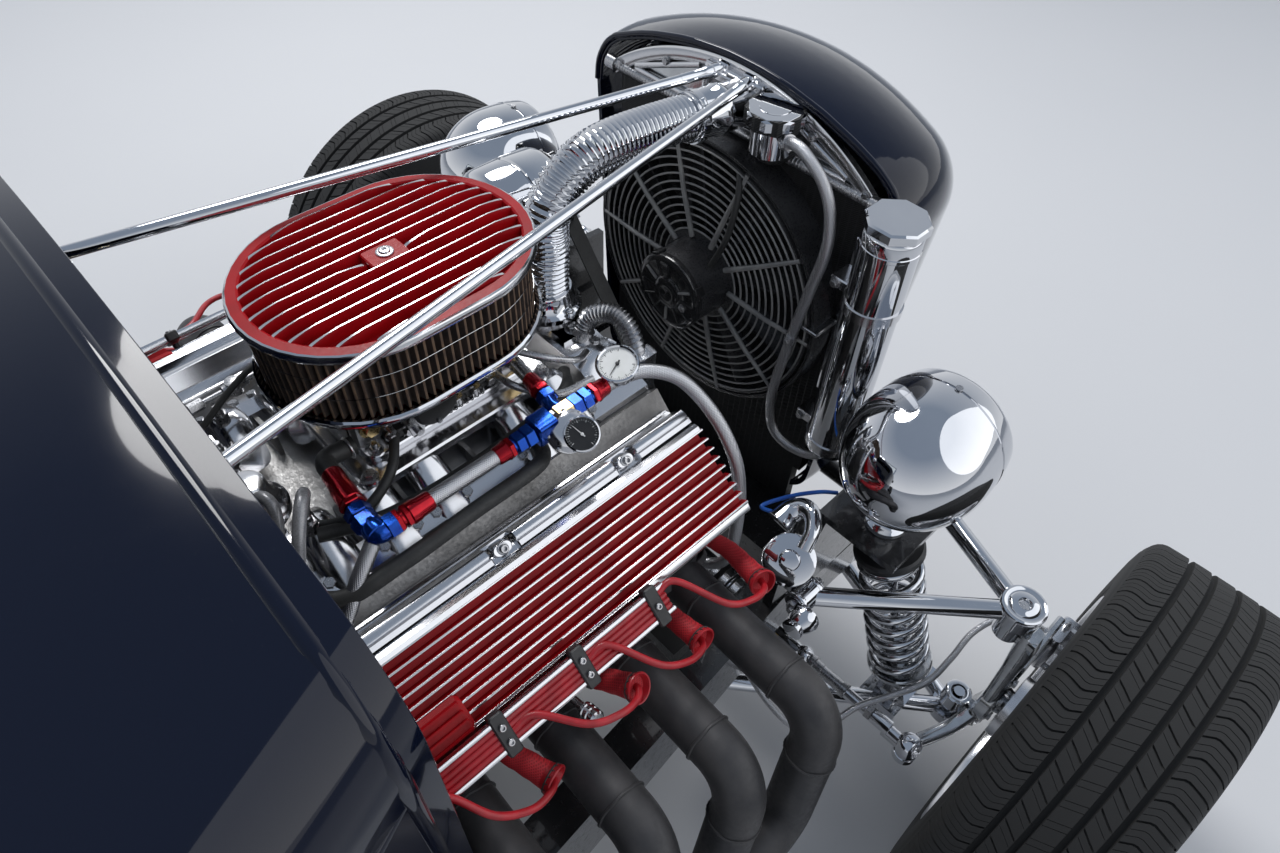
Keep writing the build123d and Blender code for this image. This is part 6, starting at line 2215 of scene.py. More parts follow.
@dataclass
class FrontDrive:
    """Water pump, grooved pulleys, ribbed belt, damper and the polished alternator."""

    crank_up: float = 450.0
    pump_up: float = 580.0
    alternator: tuple[float, float] = (148.0, 815.0)
    face: float = 245.0

    def build(self) -> None:
        """Builds the cover, the pulleys, the belt and the alternator."""
        shape = Shape("front_drive_set")
        self.cover(shape)
        self.pulleys(shape)
        self.belt(shape)
        self.generator(shape)
        finishes = (ALLOY, CHROME, STEEL, RUBBER, SATIN_BLACK, CAST)
        shape.build(CHASSIS_BODY, finishes, Slot.ALLOY, ("front_drive",))

    def towards(self, x: float, station: float, up: float) -> Matrix:
        """A frame that faces the front of the car."""
        return frame_on(place(x, station, up), Vector((0, -1, 0)), Vector((0, 0, 1)))

    def cover(self, shape: Shape) -> None:
        """Adds the timing cover and the pump body with their bolts.

        Args:
            shape: The piece that takes the faces.
        """
        plate = [(-90, -20), (90, -20), (92, 40), (78, 130), (58, 176), (-58, 176), (-78, 130), (-92, 40)]
        shape.prism(plate, self.towards(0, self.face, self.crank_up), 0, 26, 0, 3)
        for x, z in ((-80, -8), (80, -8), (-84, 60), (84, 60), (-64, 140), (64, 140), (-30, 168), (30, 168)):
            shape.bolt(place(-x, self.face - 26, self.crank_up + z), Vector((0, -1, 0)), 5, 5, 2)
        shape.lathe(
            ((0, 60), (6, 62), (24, 60), (34, 50), (44, 36), (56, 30), (60, 24)),
            self.towards(0, self.face, 560), 52, 0
        )
        for side in (-1, 1):
            arm = [
                place(side * x, s, z)
                for x, s, z in ((18, 236, 566), (62, 230, 580), (88, 236, 606), (92, 243, 624))
            ]
            shape.tube(curve_through(arm, 6), [0.026 - 0.0002 * k for k in range(19)], 26, 0)
            shape.block(
                place(side * 92 - 17, self.face - 30, 600), place(side * 92 + 17, self.face, 640), 0, 4
            )
            for dz in (606, 634):
                shape.bolt(place(side * 92, self.face - 30, dz), Vector((0, -1, 0)), 6, 6, 2)
        bracket = [(-128, 0), (-92, 0), (-92, 60), (-104, 128), (-114, 168), (-130, 166), (-128, 70)]
        shape.prism(bracket, self.towards(0, self.face - 4, 602), 0, 24, 0, 3)

    def pulleys(self, shape: Shape) -> None:
        """Adds the grooved pulleys and the crank damper.

        Args:
            shape: The piece that takes the faces.
        """
        for x, up, radius, rear in (
            (0.0, self.crank_up, 80.0, 192.0), (0.0, self.pump_up, 66.0, 186.0),
            (self.alternator[0], self.alternator[1], 32.0, 172.0)
        ):
            turn = self.towards(x, rear, up)
            depth = 30.0
            ribs = [(0, radius - 8), (0.5, radius), (3, radius), (4, radius - 4)]
            for k in range(6):
                ribs += [(5 + 3.5 * k, radius - 4), (6.7 + 3.5 * k, radius - 1.6)]
            ribs += [
                (26, radius - 4), (27, radius), (depth - 0.5, radius), (depth, radius - 3),
                (depth - 2, radius - 7)
            ]
            ribs += [
                (depth - 14, radius * 0.82), (depth - 15, radius * 0.5), (depth - 8, radius * 0.42),
                (depth - 7, 12)
            ]
            shape.lathe(ribs, turn, 64, 1)
            for k in range(5):
                angle = 2 * math.pi * k / 5
                spot = turn @ Vector(
                    (
                        radius * 0.3 * MM * math.cos(angle), radius * 0.3 * MM * math.sin(angle),
                        (depth - 7.5) * MM
                    )
                )
                shape.bolt(spot, Vector((0, -1, 0)), 4.2 if radius > 40 else 0.8, 4, 2)
            shape.bolt(turn @ Vector((0, 0, (depth - 8) * MM)), Vector((0, -1, 0)), 9, 9, 2)
        damper = self.towards(0, 240, self.crank_up)
        shape.lathe(((0, 40), (4, 74), (6, 78), (34, 78), (36, 75), (37, 60), (44, 40)), damper, 64, 4)

    def belt(self, shape: Shape) -> None:
        """Adds the belt round the three pulleys, ribbed on its inside.

        Args:
            shape: The piece that takes the faces.
        """
        circles = (
            (0.0, self.crank_up, 77.5), (0.0, self.pump_up, 63.5),
            (self.alternator[0], self.alternator[1], 29.5)
        )
        cloud = []
        for x, up, radius in circles:
            cloud += [
                (x + radius * math.cos(a), up + radius * math.sin(a))
                for a in (2 * math.pi * k / 90 for k in range(90))
            ]
        hull = self.hull(sorted(cloud))
        rings = []
        for i, (x, up) in enumerate(hull):
            ahead, behind = hull[(i + 1) % len(hull)], hull[i - 1]
            run = Vector((ahead[0] - behind[0], ahead[1] - behind[1])).normalized()
            nx, nz = run.y, -run.x
            section = [(0, 166.5), (1.5, 167.5), (4.5, 167.5), (4.5, 188.5), (1.5, 188.5), (0, 187.5)]
            section += [(0.0 if k % 2 else 1.6, 186.5 - 2.0 * k) for k in range(1, 10)]
            rings.append([place(x + nx * out, station - 20, up + nz * out) for out, station in section])
        shape.rings(rings, 3, joined=True)

    def hull(self, points: Sequence[tuple[float, float]]) -> list[tuple[float, float]]:
        """The convex outline round sorted points.

        Args:
            points: The points, sorted.

        Returns:
            The hull's corners.
        """
        half: list[list[tuple[float, float]]] = []
        for run in (points, points[::-1]):
            line: list[tuple[float, float]] = []
            for p in run:
                while len(line) > 1 and self.turn(line[-2], line[-1], p) <= 0:
                    line.pop()
                line.append(p)
            half.append(line[:-1])
        return half[0] + half[1]

    def turn(self, a: tuple[float, float], b: tuple[float, float], c: tuple[float, float]) -> float:
        """Positive where three points turn left."""
        return (b[0] - a[0]) * (c[1] - a[1]) - (b[1] - a[1]) * (c[0] - a[0])

    def generator(self, shape: Shape) -> None:
        """Adds the alternator: two halves of the case, its slots, vents, fan, bolts and terminal.

        Args:
            shape: The piece that takes the faces.
        """
        x, up = self.alternator
        turn = self.towards(x, 258, up)
        case = (
            (0, 30), (2, 52), (8, 60), (14, 63), (48, 64), (50, 61), (54, 61), (56, 64), (92, 63),
            (100, 60), (106, 50), (110, 34), (118, 20), (119, 12)
        )
        shape.lathe(case, turn, 64, 1)
        # The slots and vents are black solids set into the case ends: painted shade standing in for the
        # openings into the case.
        for k in range(14):
            angle = 2 * math.pi * k / 14
            for radius, low, high in ((45, 103.5, 109.0), (46, -0.5, 5.0)):
                slot = [
                    (a * math.cos(angle) - b * math.sin(angle), a * math.sin(angle) + b * math.cos(angle))
                    for a, b in (
                        (radius - 11, -2.2), (radius + 9, -3.4), (radius + 9, 3.4), (radius - 11, 2.2)
                    )
                ]
                shape.prism(slot, turn, low, high, 4, 0.5)
        for k in range(3):
            angle = 2 * math.pi * k / 3 + 0.4
            lug = turn @ Vector((0.0655 * math.cos(angle), 0.0655 * math.sin(angle), 0.03))
            shape.lathe(((0, 7), (52, 7), (54, 5)), frame_on(lug, Vector((0, -1, 0))), 20, 1)
            shape.bolt(lug + Vector((0, -0.0535, 0)), Vector((0, -1, 0)), 4.5, 4, 2)
        fan = self.towards(x, 148, up)
        shape.lathe(((0, 14), (0, 52), (1.6, 52), (1.6, 14)), fan, 48, 2, joined=True)
        for k in range(12):
            angle = 2 * math.pi * k / 12
            blade = [
                (a * math.cos(angle) - b * math.sin(angle), a * math.sin(angle) + b * math.cos(angle))
                for a, b in ((28, -0.7), (51, -4.0), (51, -2.4), (28, 0.9))
            ]
            shape.prism(blade, fan, 1.4, 12, 2, 0.2)
        shape.lathe(
            ((0, 5), (10, 5), (11, 3.4), (18, 3.2)),
            frame_on(place(x + 20, 258, up + 34), Vector((0, 1, 0))), 16, 2
        )
        brace = [place(128, 240, 742), place(138, 232, 760), place(150, 226, 764)]
        shape.tube(brace, 0.008, 14, 1)


@dataclass
class Nose:
    """What stands round the radiator: shell bead, polished arch, cap, overflow tank, hoses and brackets."""

    arch_half: float = 225.0
    arch_low: float = 903.0
    arch_high: float = 984.0
    tank: tuple[float, float] = (-268.0, 2.0)
    tank_radius: float = 34.0

    def build(self) -> None:
        """Builds every part of the nose."""
        self.shell_trim()
        self.arch()
        self.overflow_tank()
        self.overflow_hose()
        self.cap()
        self.fan_trim()

    def shell_trim(self) -> None:
        """Adds the rolled edge that runs round the back of the shell."""
        shape = Shape("shell_rolled_edge")
        rows = []
        for x, z in self.outer_edge():
            rows.append(place(x, -34.0, z))
        shape.tube(curve_through(rows, 3), 0.0042, 12, 0)
        inner = [
            place(x * 0.972, -34.5, z if z < 900 else 900 + (z - 900) * 0.93) for x, z in self.outer_edge()
        ]
        shape.tube(curve_through(inner, 3), 0.0024, 10, 0)
        shape.build(CHASSIS_BODY, (PAINT,), Slot.BODY)

    def outer_edge(self) -> list[tuple[float, float]]:
        """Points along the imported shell's own rear edge, read from its mesh.

        Returns:
            Pairs of across and height in millimetres, in order round it.
        """
        obj = frame["nodes"]["grille_shell"]
        rear = max(v.co.y for v in obj.data.vertices)
        found: dict[int, tuple[float, float]] = {}
        for vertex in obj.data.vertices:
            x, _, z = vertex.co / MM
            if abs(vertex.co.y - rear) > 0.002 or z < 420:
                continue
            angle = round(math.degrees(math.atan2(z - 640, x)) / 4)
            reach = math.hypot(x, z - 640)
            if angle not in found or reach > math.hypot(found[angle][0], found[angle][1] - 640):
                found[angle] = (x, z)
        ordered = [found[key] for key in sorted(found, key=lambda k: k if k >= -22 else k + 90)]
        inward = []
        for x, z in ordered:
            reach = math.hypot(x, z - 640)
            inward.append((x * (reach - 3.6) / reach, 640 + (z - 640) * (reach - 3.6) / reach))
        return inward

    def arch_point(self, share: float, inset: float = 0.0) -> tuple[float, float]:
        """A point along the arch, from 0 at the right foot to 1 at the left.

        Args:
            share: The place along the arch.
            inset: Millimetres inside the arch's edge.

        Returns:
            Across and height in millimetres.
        """
        rise = self.arch_high - self.arch_low
        radius = (self.arch_half**2 + rise**2) / (2 * rise)
        reach = math.asin(self.arch_half / radius)
        angle = -reach + 2 * reach * share
        height = self.arch_high - radius + (radius - inset) * math.cos(angle)
        return (radius - inset) * math.sin(angle), height

    def arch(self) -> None:
        """Builds the polished plate: its arched band, crossbar, struts, windows and centre bracket."""
        shape = Shape("radiator_arch")
        band = []
        for k in range(37):
            share = k / 36
            rows = []
            for inset, station in ((0, -39), (0, -31), (2, -29.5), (15, -29.5), (17, -31), (17, -39)):
                x, z = self.arch_point(share, inset)
                rows.append(place(x, station, z))
            band.append(rows)
        shape.rings(band, 0)
        sheet = []
        for k in range(25):
            share = 0.04 + 0.92 * k / 24
            x, z = self.arch_point(share, 16)
            low, high = self.arch_low + 6, max(z, 908)
            corners = ((-38, low), (-38, high), (-35.5, high), (-35.5, low))
            sheet.append([place(x, station, up) for station, up in corners])
        shape.rings(sheet, 1)
        bar = [place(x, -31, self.arch_low) for x in (-222, -150, 0, 150, 222)]
        shape.tube(bar, 0.0062, 20, 2)
        for k in range(86):
            x = -212 + 5 * k
            if abs(x) > 40:
                shape.ring(frame_on(place(x, -31, self.arch_low), Vector((1, 0, 0))), 6.1, 0.8, 2, 16, 6)
        for side in (-1, 1):
            for start, end in (((52, 962), (52, 908)), ((62, 960), (176, 916)), ((176, 912), (60, 912))):
                a, b = place(side * start[0], -31.5, start[1]), place(side * end[0], -31.5, end[1])
                shape.tube([a, a.lerp(b, 0.5), b], 0.0042, 12, 0)
            shape.lathe(
                ((-9, 7), (-8, 9.6), (8, 9.6), (9, 7)),
                frame_on(place(side * 222, -31, self.arch_low), Vector((1, 0, 0))), 26, 2
            )
            for x, z in ((206, 909), (120, 943), (30, 963)):
                shape.bolt(place(side * x, -29.6, z), Vector((0, 1, 0)), 4.6, 4.0, 2)
        shape.block(place(-46, -38, 958), place(46, -20, 976), 0, 2.5)
        shape.block(place(-34, -24, 964), place(34, -10, 974), 0, 2.0)
        for x in (-38, -30, 30, 38):
            shape.lathe(
                ((0, 4.2), (4, 4.2), (4.8, 3.2)), frame_on(place(x, -20, 968), Vector((0, 1, 0))), 20, 2
            )
        shape.build(CHASSIS_BODY, (ALLOY, WORN_CHROME, STEEL), Slot.ALLOY, ("radiator_top_plate",))

    def overflow_tank(self) -> None:
        """Builds the chrome tank, its clamps, its brackets and its eight-sided cap."""
        shape = Shape("overflow_tank_set")
        x, s = self.tank
        r = self.tank_radius
        body = Matrix.Translation(place(x, s, 545))
        profile = (
            (0, r * 0.5), (1, r * 0.8), (4, r * 0.96), (9, r), (22, r), (23, r + 0.9), (26, r + 0.9),
            (27, r), (345, r), (346, r + 0.9), (350, r + 0.9), (351, r), (364, r), (368, r * 0.95),
            (370, r * 0.85)
        )
        shape.lathe(profile, body, 56, 0)
        eight = [
            ((r + 3.6) * math.cos(math.pi / 4 * (k + 0.5)), (r + 3.6) * math.sin(math.pi / 4 * (k + 0.5)))
            for k in range(8)
        ]
        shape.prism(eight, Matrix.Translation(place(x, s, 914)), 0, 14.6, 0, 2.4)
        for up in (566.0, 806.0):
            collar = Matrix.Translation(place(x, s, up))
            shape.lathe(((-7, r), (-7, r + 1.8), (7, r + 1.8), (7, r)), collar, 48, 1)
            shape.block(place(-240, -30, up - 7), place(-206, 4, up + 8), 1, 2.0)
            shape.bolt(place(-236, 4, up), Vector((0, 1, 0)), 5, 5, 2)
            shape.bolt(place(-214, 4, up), Vector((0, 1, 0)), 5, 5, 2)
        shape.block(place(-222, -38, 590), place(-206, -34, 850), 3, 1.2)
        shape.lathe(
            ((0, 6), (12, 6), (13, 8), (17, 8), (18, 5.5), (24, 5.2)),
            frame_on(place(x + 8, s, 548), Vector((0, 0, -1))), 20, 2
        )
        shape.build(CHASSIS_BODY, (CHROME, ALLOY, STEEL, CHROME), Slot.CHROME, ("overflow_tank",))

    def overflow_hose(self) -> None:
        """Adds the braided hose from the filler to the foot of the tank, with its clamps and clip."""
        shape = Shape("overflow_hose")
        points = (
            (-104, 4, 944), (-130, 14, 955), (-152, 16, 948), (-176, 15, 928), (-193, 15, 896),
            (-199, 16, 850), (-191, 17, 787)
        )
        points += (
            (-183, 17, 730), (-176, 17, 668), (-170, 17, 610), (-169, 16, 560), (-180, 14, 516),
            (-206, 10, 498), (-236, 4, 498), (-256, 2, 512), (-260, 2, 530)
        )
        path = fine_curve(points, 6)
        shape.tube(path, 0.0071, 18, 0)
        for k, radius in ((2, 9.2), (len(path) // 2, 8.9), (len(path) - 3, 9.2)):
            along = path[k + 1] - path[k - 1]
            shape.lathe(((-6, 7), (-6, radius), (6, radius), (6, 7)), frame_on(path[k], along), 24, 1)
            shape.bolt(path[k] + Vector((0, 0.009, 0)), Vector((0, 1, 0)), 3.4, 4, 2)
        shape.block(place(-212, -32, 716), place(-178, 12, 722), 1, 1.5)
        shape.build(CHASSIS_BODY, (BRAID, STEEL, STEEL), Slot.BRAID)

    def cap(self) -> None:
        """Adds the flat eight-sided filler cap and its polished neck."""
        shape = Shape("filler_cap")
        turn = Matrix.Translation(place(-78, -8, 950))
        shape.lathe(((-34, 22), (-33, 25), (-2, 25.5), (0, 29), (3, 30), (4, 26)), turn, 44, 0)
        eight = [
            (36.2 * math.cos(math.pi / 4 * (k + 0.5)), 36.2 * math.sin(math.pi / 4 * (k + 0.5)))
            for k in range(8)
        ]
        shape.prism(eight, turn, 4, 21.4, 0, 3.2)
        shape.lathe(((20, 20), (22.2, 19), (22.4, 2)), turn, 40, 0)
        shape.tube([place(-94, -2, 940), place(-101, 1, 942), place(-108, 5, 945)], 0.0062, 16, 0)
        shape.build(CHASSIS_BODY, (CHROME,), Slot.CHROME)

    def fan_trim(self) -> None:
        """Adds the fan motor's ribbed cap, its screws, the shroud's lip and its wiring, with painted
        highlight for sunlight on the guard: lighter copies of its rings and spokes, and every fourth rib of
        the cap.
        """
        shape = Shape("fan_motor_cap")
        turn = frame_on(place(0, 58, 690), Vector((0, 1, 0)), Vector((0, 0, 1)))
        shape.lathe(
            (
                (0, 56.5), (6, 57.5), (9, 56.5), (10.5, 54), (11, 49), (9.5, 47), (9, 26), (12, 23.5),
                (13.5, 21), (13.8, 8), (12.5, 5)
            ),
            turn, 72, 0
        )
        for k in range(12):
            angle = math.pi / 6 * k
            rib = ((25, -1.3), (47.5, -1.8), (47.5, 1.8), (25, 1.3))
            outline = [
                (x * math.cos(angle) - y * math.sin(angle), x * math.sin(angle) + y * math.cos(angle))
                for x, y in rib
            ]
            # Every fourth rib takes the painted-highlight plastic, a painted glint on the cap.
            shape.prism(outline, turn, 8, 12.4 if k % 2 else 11, 3 if k % 4 == 1 else 0, 0.6)
        shape.bolt(turn @ Vector((0.028, -0.012, 0.009)), Vector((0, 1, 0)), 5, 3, 1)
        for k in range(4):
            clip = turn @ Matrix.Rotation(
                math.pi / 2 * k + 0.5, 4, "Z"
            ) @ Matrix.Translation((0.0575, 0, 0.002))
            shape.prism(box_outline(5, 14, 1.5, 2), clip, -8, 7, 0, 0.8)
        for k in range(5):
            angle = 2 * math.pi * k / 5 + 0.3
            spot = turn @ Vector((0.0525 * math.cos(angle), 0.0525 * math.sin(angle), 0.005))
            shape.bolt(spot, Vector((0, 1, 0)), 3.6, 3.5, 1)
        # The spokes are lighter copies of the guard's own, painted highlight for sunlight on them.
        for k in range(10):
            angle = math.radians(36 * k)
            hub = (math.cos(angle), math.sin(angle))
            start, end = turn @ Vector((hub[0] * 0.058, hub[1] * 0.058, -0.052)), turn @ Vector(
                (hub[0] * 0.198, hub[1] * 0.198, -0.054)
            )
            shape.tube(
                [start, start.lerp(end, 0.5) + Vector((0, 0.003, 0)), end], [0.0042, 0.0034, 0.003], 10, 3
            )
        # Rings in the painted-highlight plastic over the guard's own rings, standing in for sunlight on them.
        for k in range(12):
            shape.ring(frame_on(place(0, 4.5, 690), Vector((0, 1, 0))), 68.0 + 11.2 * k, 1.5, 3, 84, 6)
        shape.ring(frame_on(place(0, 2, 690), Vector((0, 1, 0))), 202.5, 2.4, 0, 120, 10)
        wires = ((-40, 30, 740), (-58, 26, 792), (-60, 16, 850), (-40, -6, 880), (-20, -34, 884))
        shape.tube(fine_curve(wires, 7), 0.0042, 12, 2)
        shape.build(CHASSIS_BODY, (GLOSS_BLACK, STEEL, RUBBER, GUARD_PAINTED_HIGHLIGHT), Slot.PLASTIC)


@dataclass
class Headlamps:
    """Bullet headlamps on posts: polished bowls with a seam and rolled rims, reflectors and glass bulbs."""

    across: float = 405.0
    station: float = 62.0
    height: float = 690.0
    radius: float = 88.0

    def build(self) -> None:
        """Builds the bowls, their reflectors and posts, and a small glass bulb in each."""
        shape = Shape("headlamp_pair")
        r = self.radius
        turn = frame_on(place(-self.across, self.station, self.height), Vector((0, -1, 0)))
        bowl = [(along * r, r * self.girth(along)) for along in (-0.999 + 0.0479 * k for k in range(32))]
        bowl += [
            (r * 0.54, r * self.girth(0.54)), (r * 0.548, r * 0.955), (r * 0.565, r * 0.955),
            (r * 0.575, r * self.girth(0.54))
        ]
        bowl += [(along * r, r * (self.girth(along) + 0.006)) for along in (0.6, 0.68, 0.76, 0.84, 0.89)]
        bowl += [(r * 0.925, r * 0.885), (r * 0.935, r * 0.865), (r * 0.925, r * 0.85), (r * 0.86, r * 0.85)]
        shape.lathe(bowl, turn, 72, 0)
        reflector = [
            (r * 0.84, r * 0.86), (r * 0.6, r * 0.8), (r * 0.3, r * 0.6), (r * 0.12, r * 0.3),
            (r * 0.08, r * 0.1)
        ]
        shape.lathe(reflector, turn, 56, 1)
        shape.lathe(((r * 0.08, 8), (r * 0.3, 8), (r * 0.36, 7), (r * 0.4, 3)), turn, 24, 2)
        shape.bolt(turn @ Vector((0, 0.0885 - 0.0012, 0.05)), Vector((0, 0, -1)), 3.2, 4, 1)
        base = Matrix.Translation(place(-self.across, self.station, 560))
        post = (
            (0, 26), (2, 27.5), (8, 27), (11, 22), (15, 15.5), (18, 13.6), (26, 13.2), (30, 16), (36, 19.5),
            (43, 22), (50, 23), (56, 21)
        )
        shape.lathe(post, base, 40, 0)
        shape.lathe(((-4, 12), (-4, 18), (0, 18)), base, 6, 1)
        shape.mirrored()
        shape.build(CHASSIS_BODY, (CHROME, STEEL, LAMP_GLASS), Slot.CHROME, ("headlamps",))

    def girth(self, along: float) -> float:
        """The bowl's radius at a place along it, both as shares of its greatest radius."""
        reach = 1.15 if along < 0.15 else 1.75
        return math.sqrt(max(1 - ((along - 0.15) / reach) ** 2, 0.0004))


@dataclass
class FrontSuspension:
    """Chrome springs, ball-joint caps, bush ends, brake hoses, clevises and the horn."""

    top: tuple[float, float, float] = (418.0, 56.0, 522.0)
    foot: tuple[float, float, float] = (512.0, 44.0, 258.0)
    kingpin: float = 590.0
    turns: float = 7.5

    def build(self) -> None:
        """Builds the springs, the arm ends and the small parts."""
        self.coilovers()
        self.arm_ends()
        self.lines()
        self.horn()

    def coilovers(self) -> None:
        """Builds both springs with their dampers, seats and end eyes."""
        shape = Shape("coilover_pair")
        top, foot = place(-self.top[0], *self.top[1:]), place(-self.foot[0], *self.foot[1:])
        axis = (top - foot).normalized()
        length = (top - foot).length / MM
        turn = frame_on(foot, axis)
        body = (
            (-6, 10), (-4, 17), (2, 20), (26, 20.5), (27, 46), (29, 47), (35, 47), (37, 45), (38, 26),
            (39, 23), (60, 22.5), (62, 20.5), (110, 20.5), (111, 19)
        )
        shape.lathe(body, turn, 44, 1)
        shape.lathe(((44, 22.6), (45, 24.6), (52, 24.6), (53, 22.6)), turn, 44, 1)
        for k in range(12):
            shape.lathe(
                ((62 + 4 * k, 20.4), (63 + 4 * k, 21.6), (64.6 + 4 * k, 21.6), (65.6 + 4 * k, 20.4)), turn,
                36, 1
            )
        shape.lathe(((108, 7), (length - 30, 7)), turn, 22, 0)
        shape.lathe(
            (
                (length - 44, 13), (length - 42, 22), (length - 20, 24), (length - 18, 44),
                (length - 16, 47), (length - 9, 47), (length - 6, 44), (length - 4, 26), (length + 2, 18)
            ),
            turn, 44, 2
        )
        low, high = 41.0, length - 22.0
        wire = []
        steps = int(self.turns * 28)
        for k in range(steps + 1):
            share = k / steps
            angle = 2 * math.pi * self.turns * share
            up = low + (high - low) * (
                0.04 * min(1.0, share * 8) + 0.92 * share + 0.04 * max(0.0, share * 8 - 7)
            )
            wire.append(turn @ Vector((0.0385 * math.cos(angle), 0.0385 * math.sin(angle), up * MM)))
        shape.tube(wire, 0.0062, 14, 0)
        for point, height in (
            (place(-self.top[0], self.top[1], 540), 1), (place(-self.foot[0], self.foot[1], 236), -1)
        ):
            shape.lathe(
                ((-17, 8), (-16, 16), (16, 16), (17, 8)), frame_on(point, Vector((0, 1, 0))), 30,
                2 if height > 0 else 0
            )
            shape.block(
                point + Vector((-0.017, -0.026, -0.016)), point + Vector((0.017, -0.018, 0.016)), 3, 2.0
            )
            shape.block(
                point + Vector((-0.017, 0.018, -0.016)), point + Vector((0.017, 0.026, 0.016)), 3, 2.0
            )
            shape.bolt(point + Vector((0, 0.026, 0)), Vector((0, 1, 0)), 8, 7, 3)
            shape.bolt(point + Vector((0, -0.026, 0)), Vector((0, -1, 0)), 8, 7, 3)
        shape.mirrored()
        shape.build(
            CHASSIS_BODY, (CHROME, WORN_CHROME, SATIN_BLACK, STEEL), Slot.CHROME, ("front_coilovers",)
        )

    def arm_ends(self) -> None:
        """Adds the caps over the ball joints, and washers and nuts at the bushes."""
        shape = Shape("arm_end_trim")
        for up, base in ((500.0, 13.0), (196.0, 11.0)):
            cap = Matrix.Translation(place(-self.kingpin, 0, up + base))
            if up > 300:
                profile = (
                    (-26, 24), (-25, 28.5), (-3, 29.5), (0, 29.8), (2.5, 28.6), (3.2, 26), (2.2, 24.4),
                    (2.2, 20), (3.4, 19), (4.6, 17), (4.8, 9), (3.4, 7.6), (0.5, 7.2)
                )
                shape.lathe(profile, cap, 52, 0)
                shape.prism(hexagon(7.0), cap, -2, 1.2, 2, 0.5)
            else:
                low = Matrix.Translation(place(-self.kingpin, 0, up))
                shape.lathe(((-26, 12), (-22, 20), (-14, 25), (-11, 28), (10, 29), (12, 27)), low, 44, 0)
                shape.lathe(((-33, 3), (-32, 5.5), (-26, 6)), low, 20, 2)
        for across, up, stations, half in (
            (385.0, 486.0, (-90.0, 180.0), 20.0), (318.0, 225.0, (-70.0, 250.0), 22.0)
        ):
            for station in stations:
                for end in (-1, 1):
                    turn = frame_on(place(-across, station + end * half, up), Vector((0, end, 0)))
                    shape.lathe(
                        (
                            (-7, 18.4), (-4, 19.2), (-1, 18.6), (0, 17.5), (0.4, 15.5), (1.6, 15.5),
                            (2.2, 14)
                        ),
                        turn, 36, 0 if up > 300 else 1
                    )
                    shape.prism(hexagon(9.5), turn, 1.8, 9.0, 2, 1.0)
                    shape.lathe(((8.5, 5), (13, 5), (14, 3.8)), turn, 18, 2)
        bell = frame_on(place(-405, 200, 486), Vector((0, 1, 0)))
        shape.lathe(((0, 19), (6, 20.5), (16, 17), (24, 13), (28, 14.5), (32, 14.5), (34, 10)), bell, 40, 0)
        for side_x, side_s, up in ((-560, 130, 251),):
            shape.lathe(
                ((-14, 9.2), (-13, 11), (13, 11), (14, 9.2)),
                frame_on(place(side_x, side_s, up), Vector((1, 0, -0.05))), 26, 1
            )
        shape.mirrored()
        shape.build(CHASSIS_BODY, (CHROME, WORN_CHROME, STEEL), Slot.CHROME)

    def lines(self) -> None:
        """Adds the brake hoses that loop from the frame to the calipers."""
        for side, knuckle in ((Side.RIGHT, "knuckle_r"), (Side.LEFT, "knuckle_l")):
            shape = Shape(f"brake_hose_{side.label}")
            loop = (
                (318, 222, 300), (338, 226, 304), (372, 236, 300), (420, 243, 290), (462, 238, 284),
                (490, 205, 286)
            )
            loop += ((504, 156, 296), (530, 108, 306), (552, 62, 316), (556, 14, 330), (556, -36, 342))
            loop += ((572, -82, 350), (604, -106, 350), (630, -112, 346))
            path = fine_curve([(side.value * x, s, z) for x, s, z in loop], 7)
            shape.tube(path, 0.0048, 14, 0)
            shape.tube(path[:5], 0.0064, 16, 2)
            shape.tube(path[-5:], 0.0062, 16, 1)
            nut = frame_on(path[0], path[0] - path[3])
            shape.prism(hexagon(8.5), nut, -5, 7, 1, 1)
            shape.prism(box_outline(26, 34, 5), nut, 7, 10, 1, 0.8)
            banjo = frame_on(path[-1], Vector((side.value, 0, 0)))
            shape.lathe(((-5, 5), (-4, 9), (5, 9), (6, 5)), banjo, 24, 1)
            shape.prism(hexagon(7), banjo, -11, -4, 1, 1)
            hose = shape.build("", (BRAID, STEEL, YELLOW), Slot.BRAID)
            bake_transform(hose)

    def horn(self) -> None:
        """Adds the snail horn on the right tower, with its bracket and blue wire."""
        shape = Shape("horn")
        turn = frame_on(place(-352, 186, 540), Vector((-0.35, 0.5, 0.78)))
        shape.lathe(
            (
                (-14, 12), (-13, 30), (-10, 34), (-4, 35), (0, 34), (2, 30), (3, 14), (5, 12), (8, 11.5),
                (9, 8)
            ),
            turn, 48, 0
        )
        trumpet = (
            (-358, 168, 552), (-352, 148, 566), (-338, 132, 572), (-322, 128, 566), (-312, 138, 556),
            (-310, 154, 548)
        )
        path = fine_curve(trumpet, 7)
        count = len(path)
        shape.tube(path, [(10 + 11 * (k / (count - 1)) ** 2) * MM for k in range(count)], 26, 0)
        shape.lathe(
            ((-1, 17), (0, 21.4), (2, 22), (2.6, 20.6), (1, 18), (-6, 12)),
            frame_on(path[-1], path[-1] - path[-3]), 32, 0
        )
        shape.block(place(-372, 196, 500), place(-346, 200, 540), 1, 1.5)
        wire = (
            (-300, 140, 548), (-292, 158, 558), (-280, 160, 560), (-296, 120, 560), (-316, 84, 556),
            (-330, 62, 548)
        )
        shape.tube(fine_curve(wire, 7), 0.0028, 10, 2)
        shape.build(CHASSIS_BODY, (CHROME, STEEL, BLUE_WIRE), Slot.CHROME)


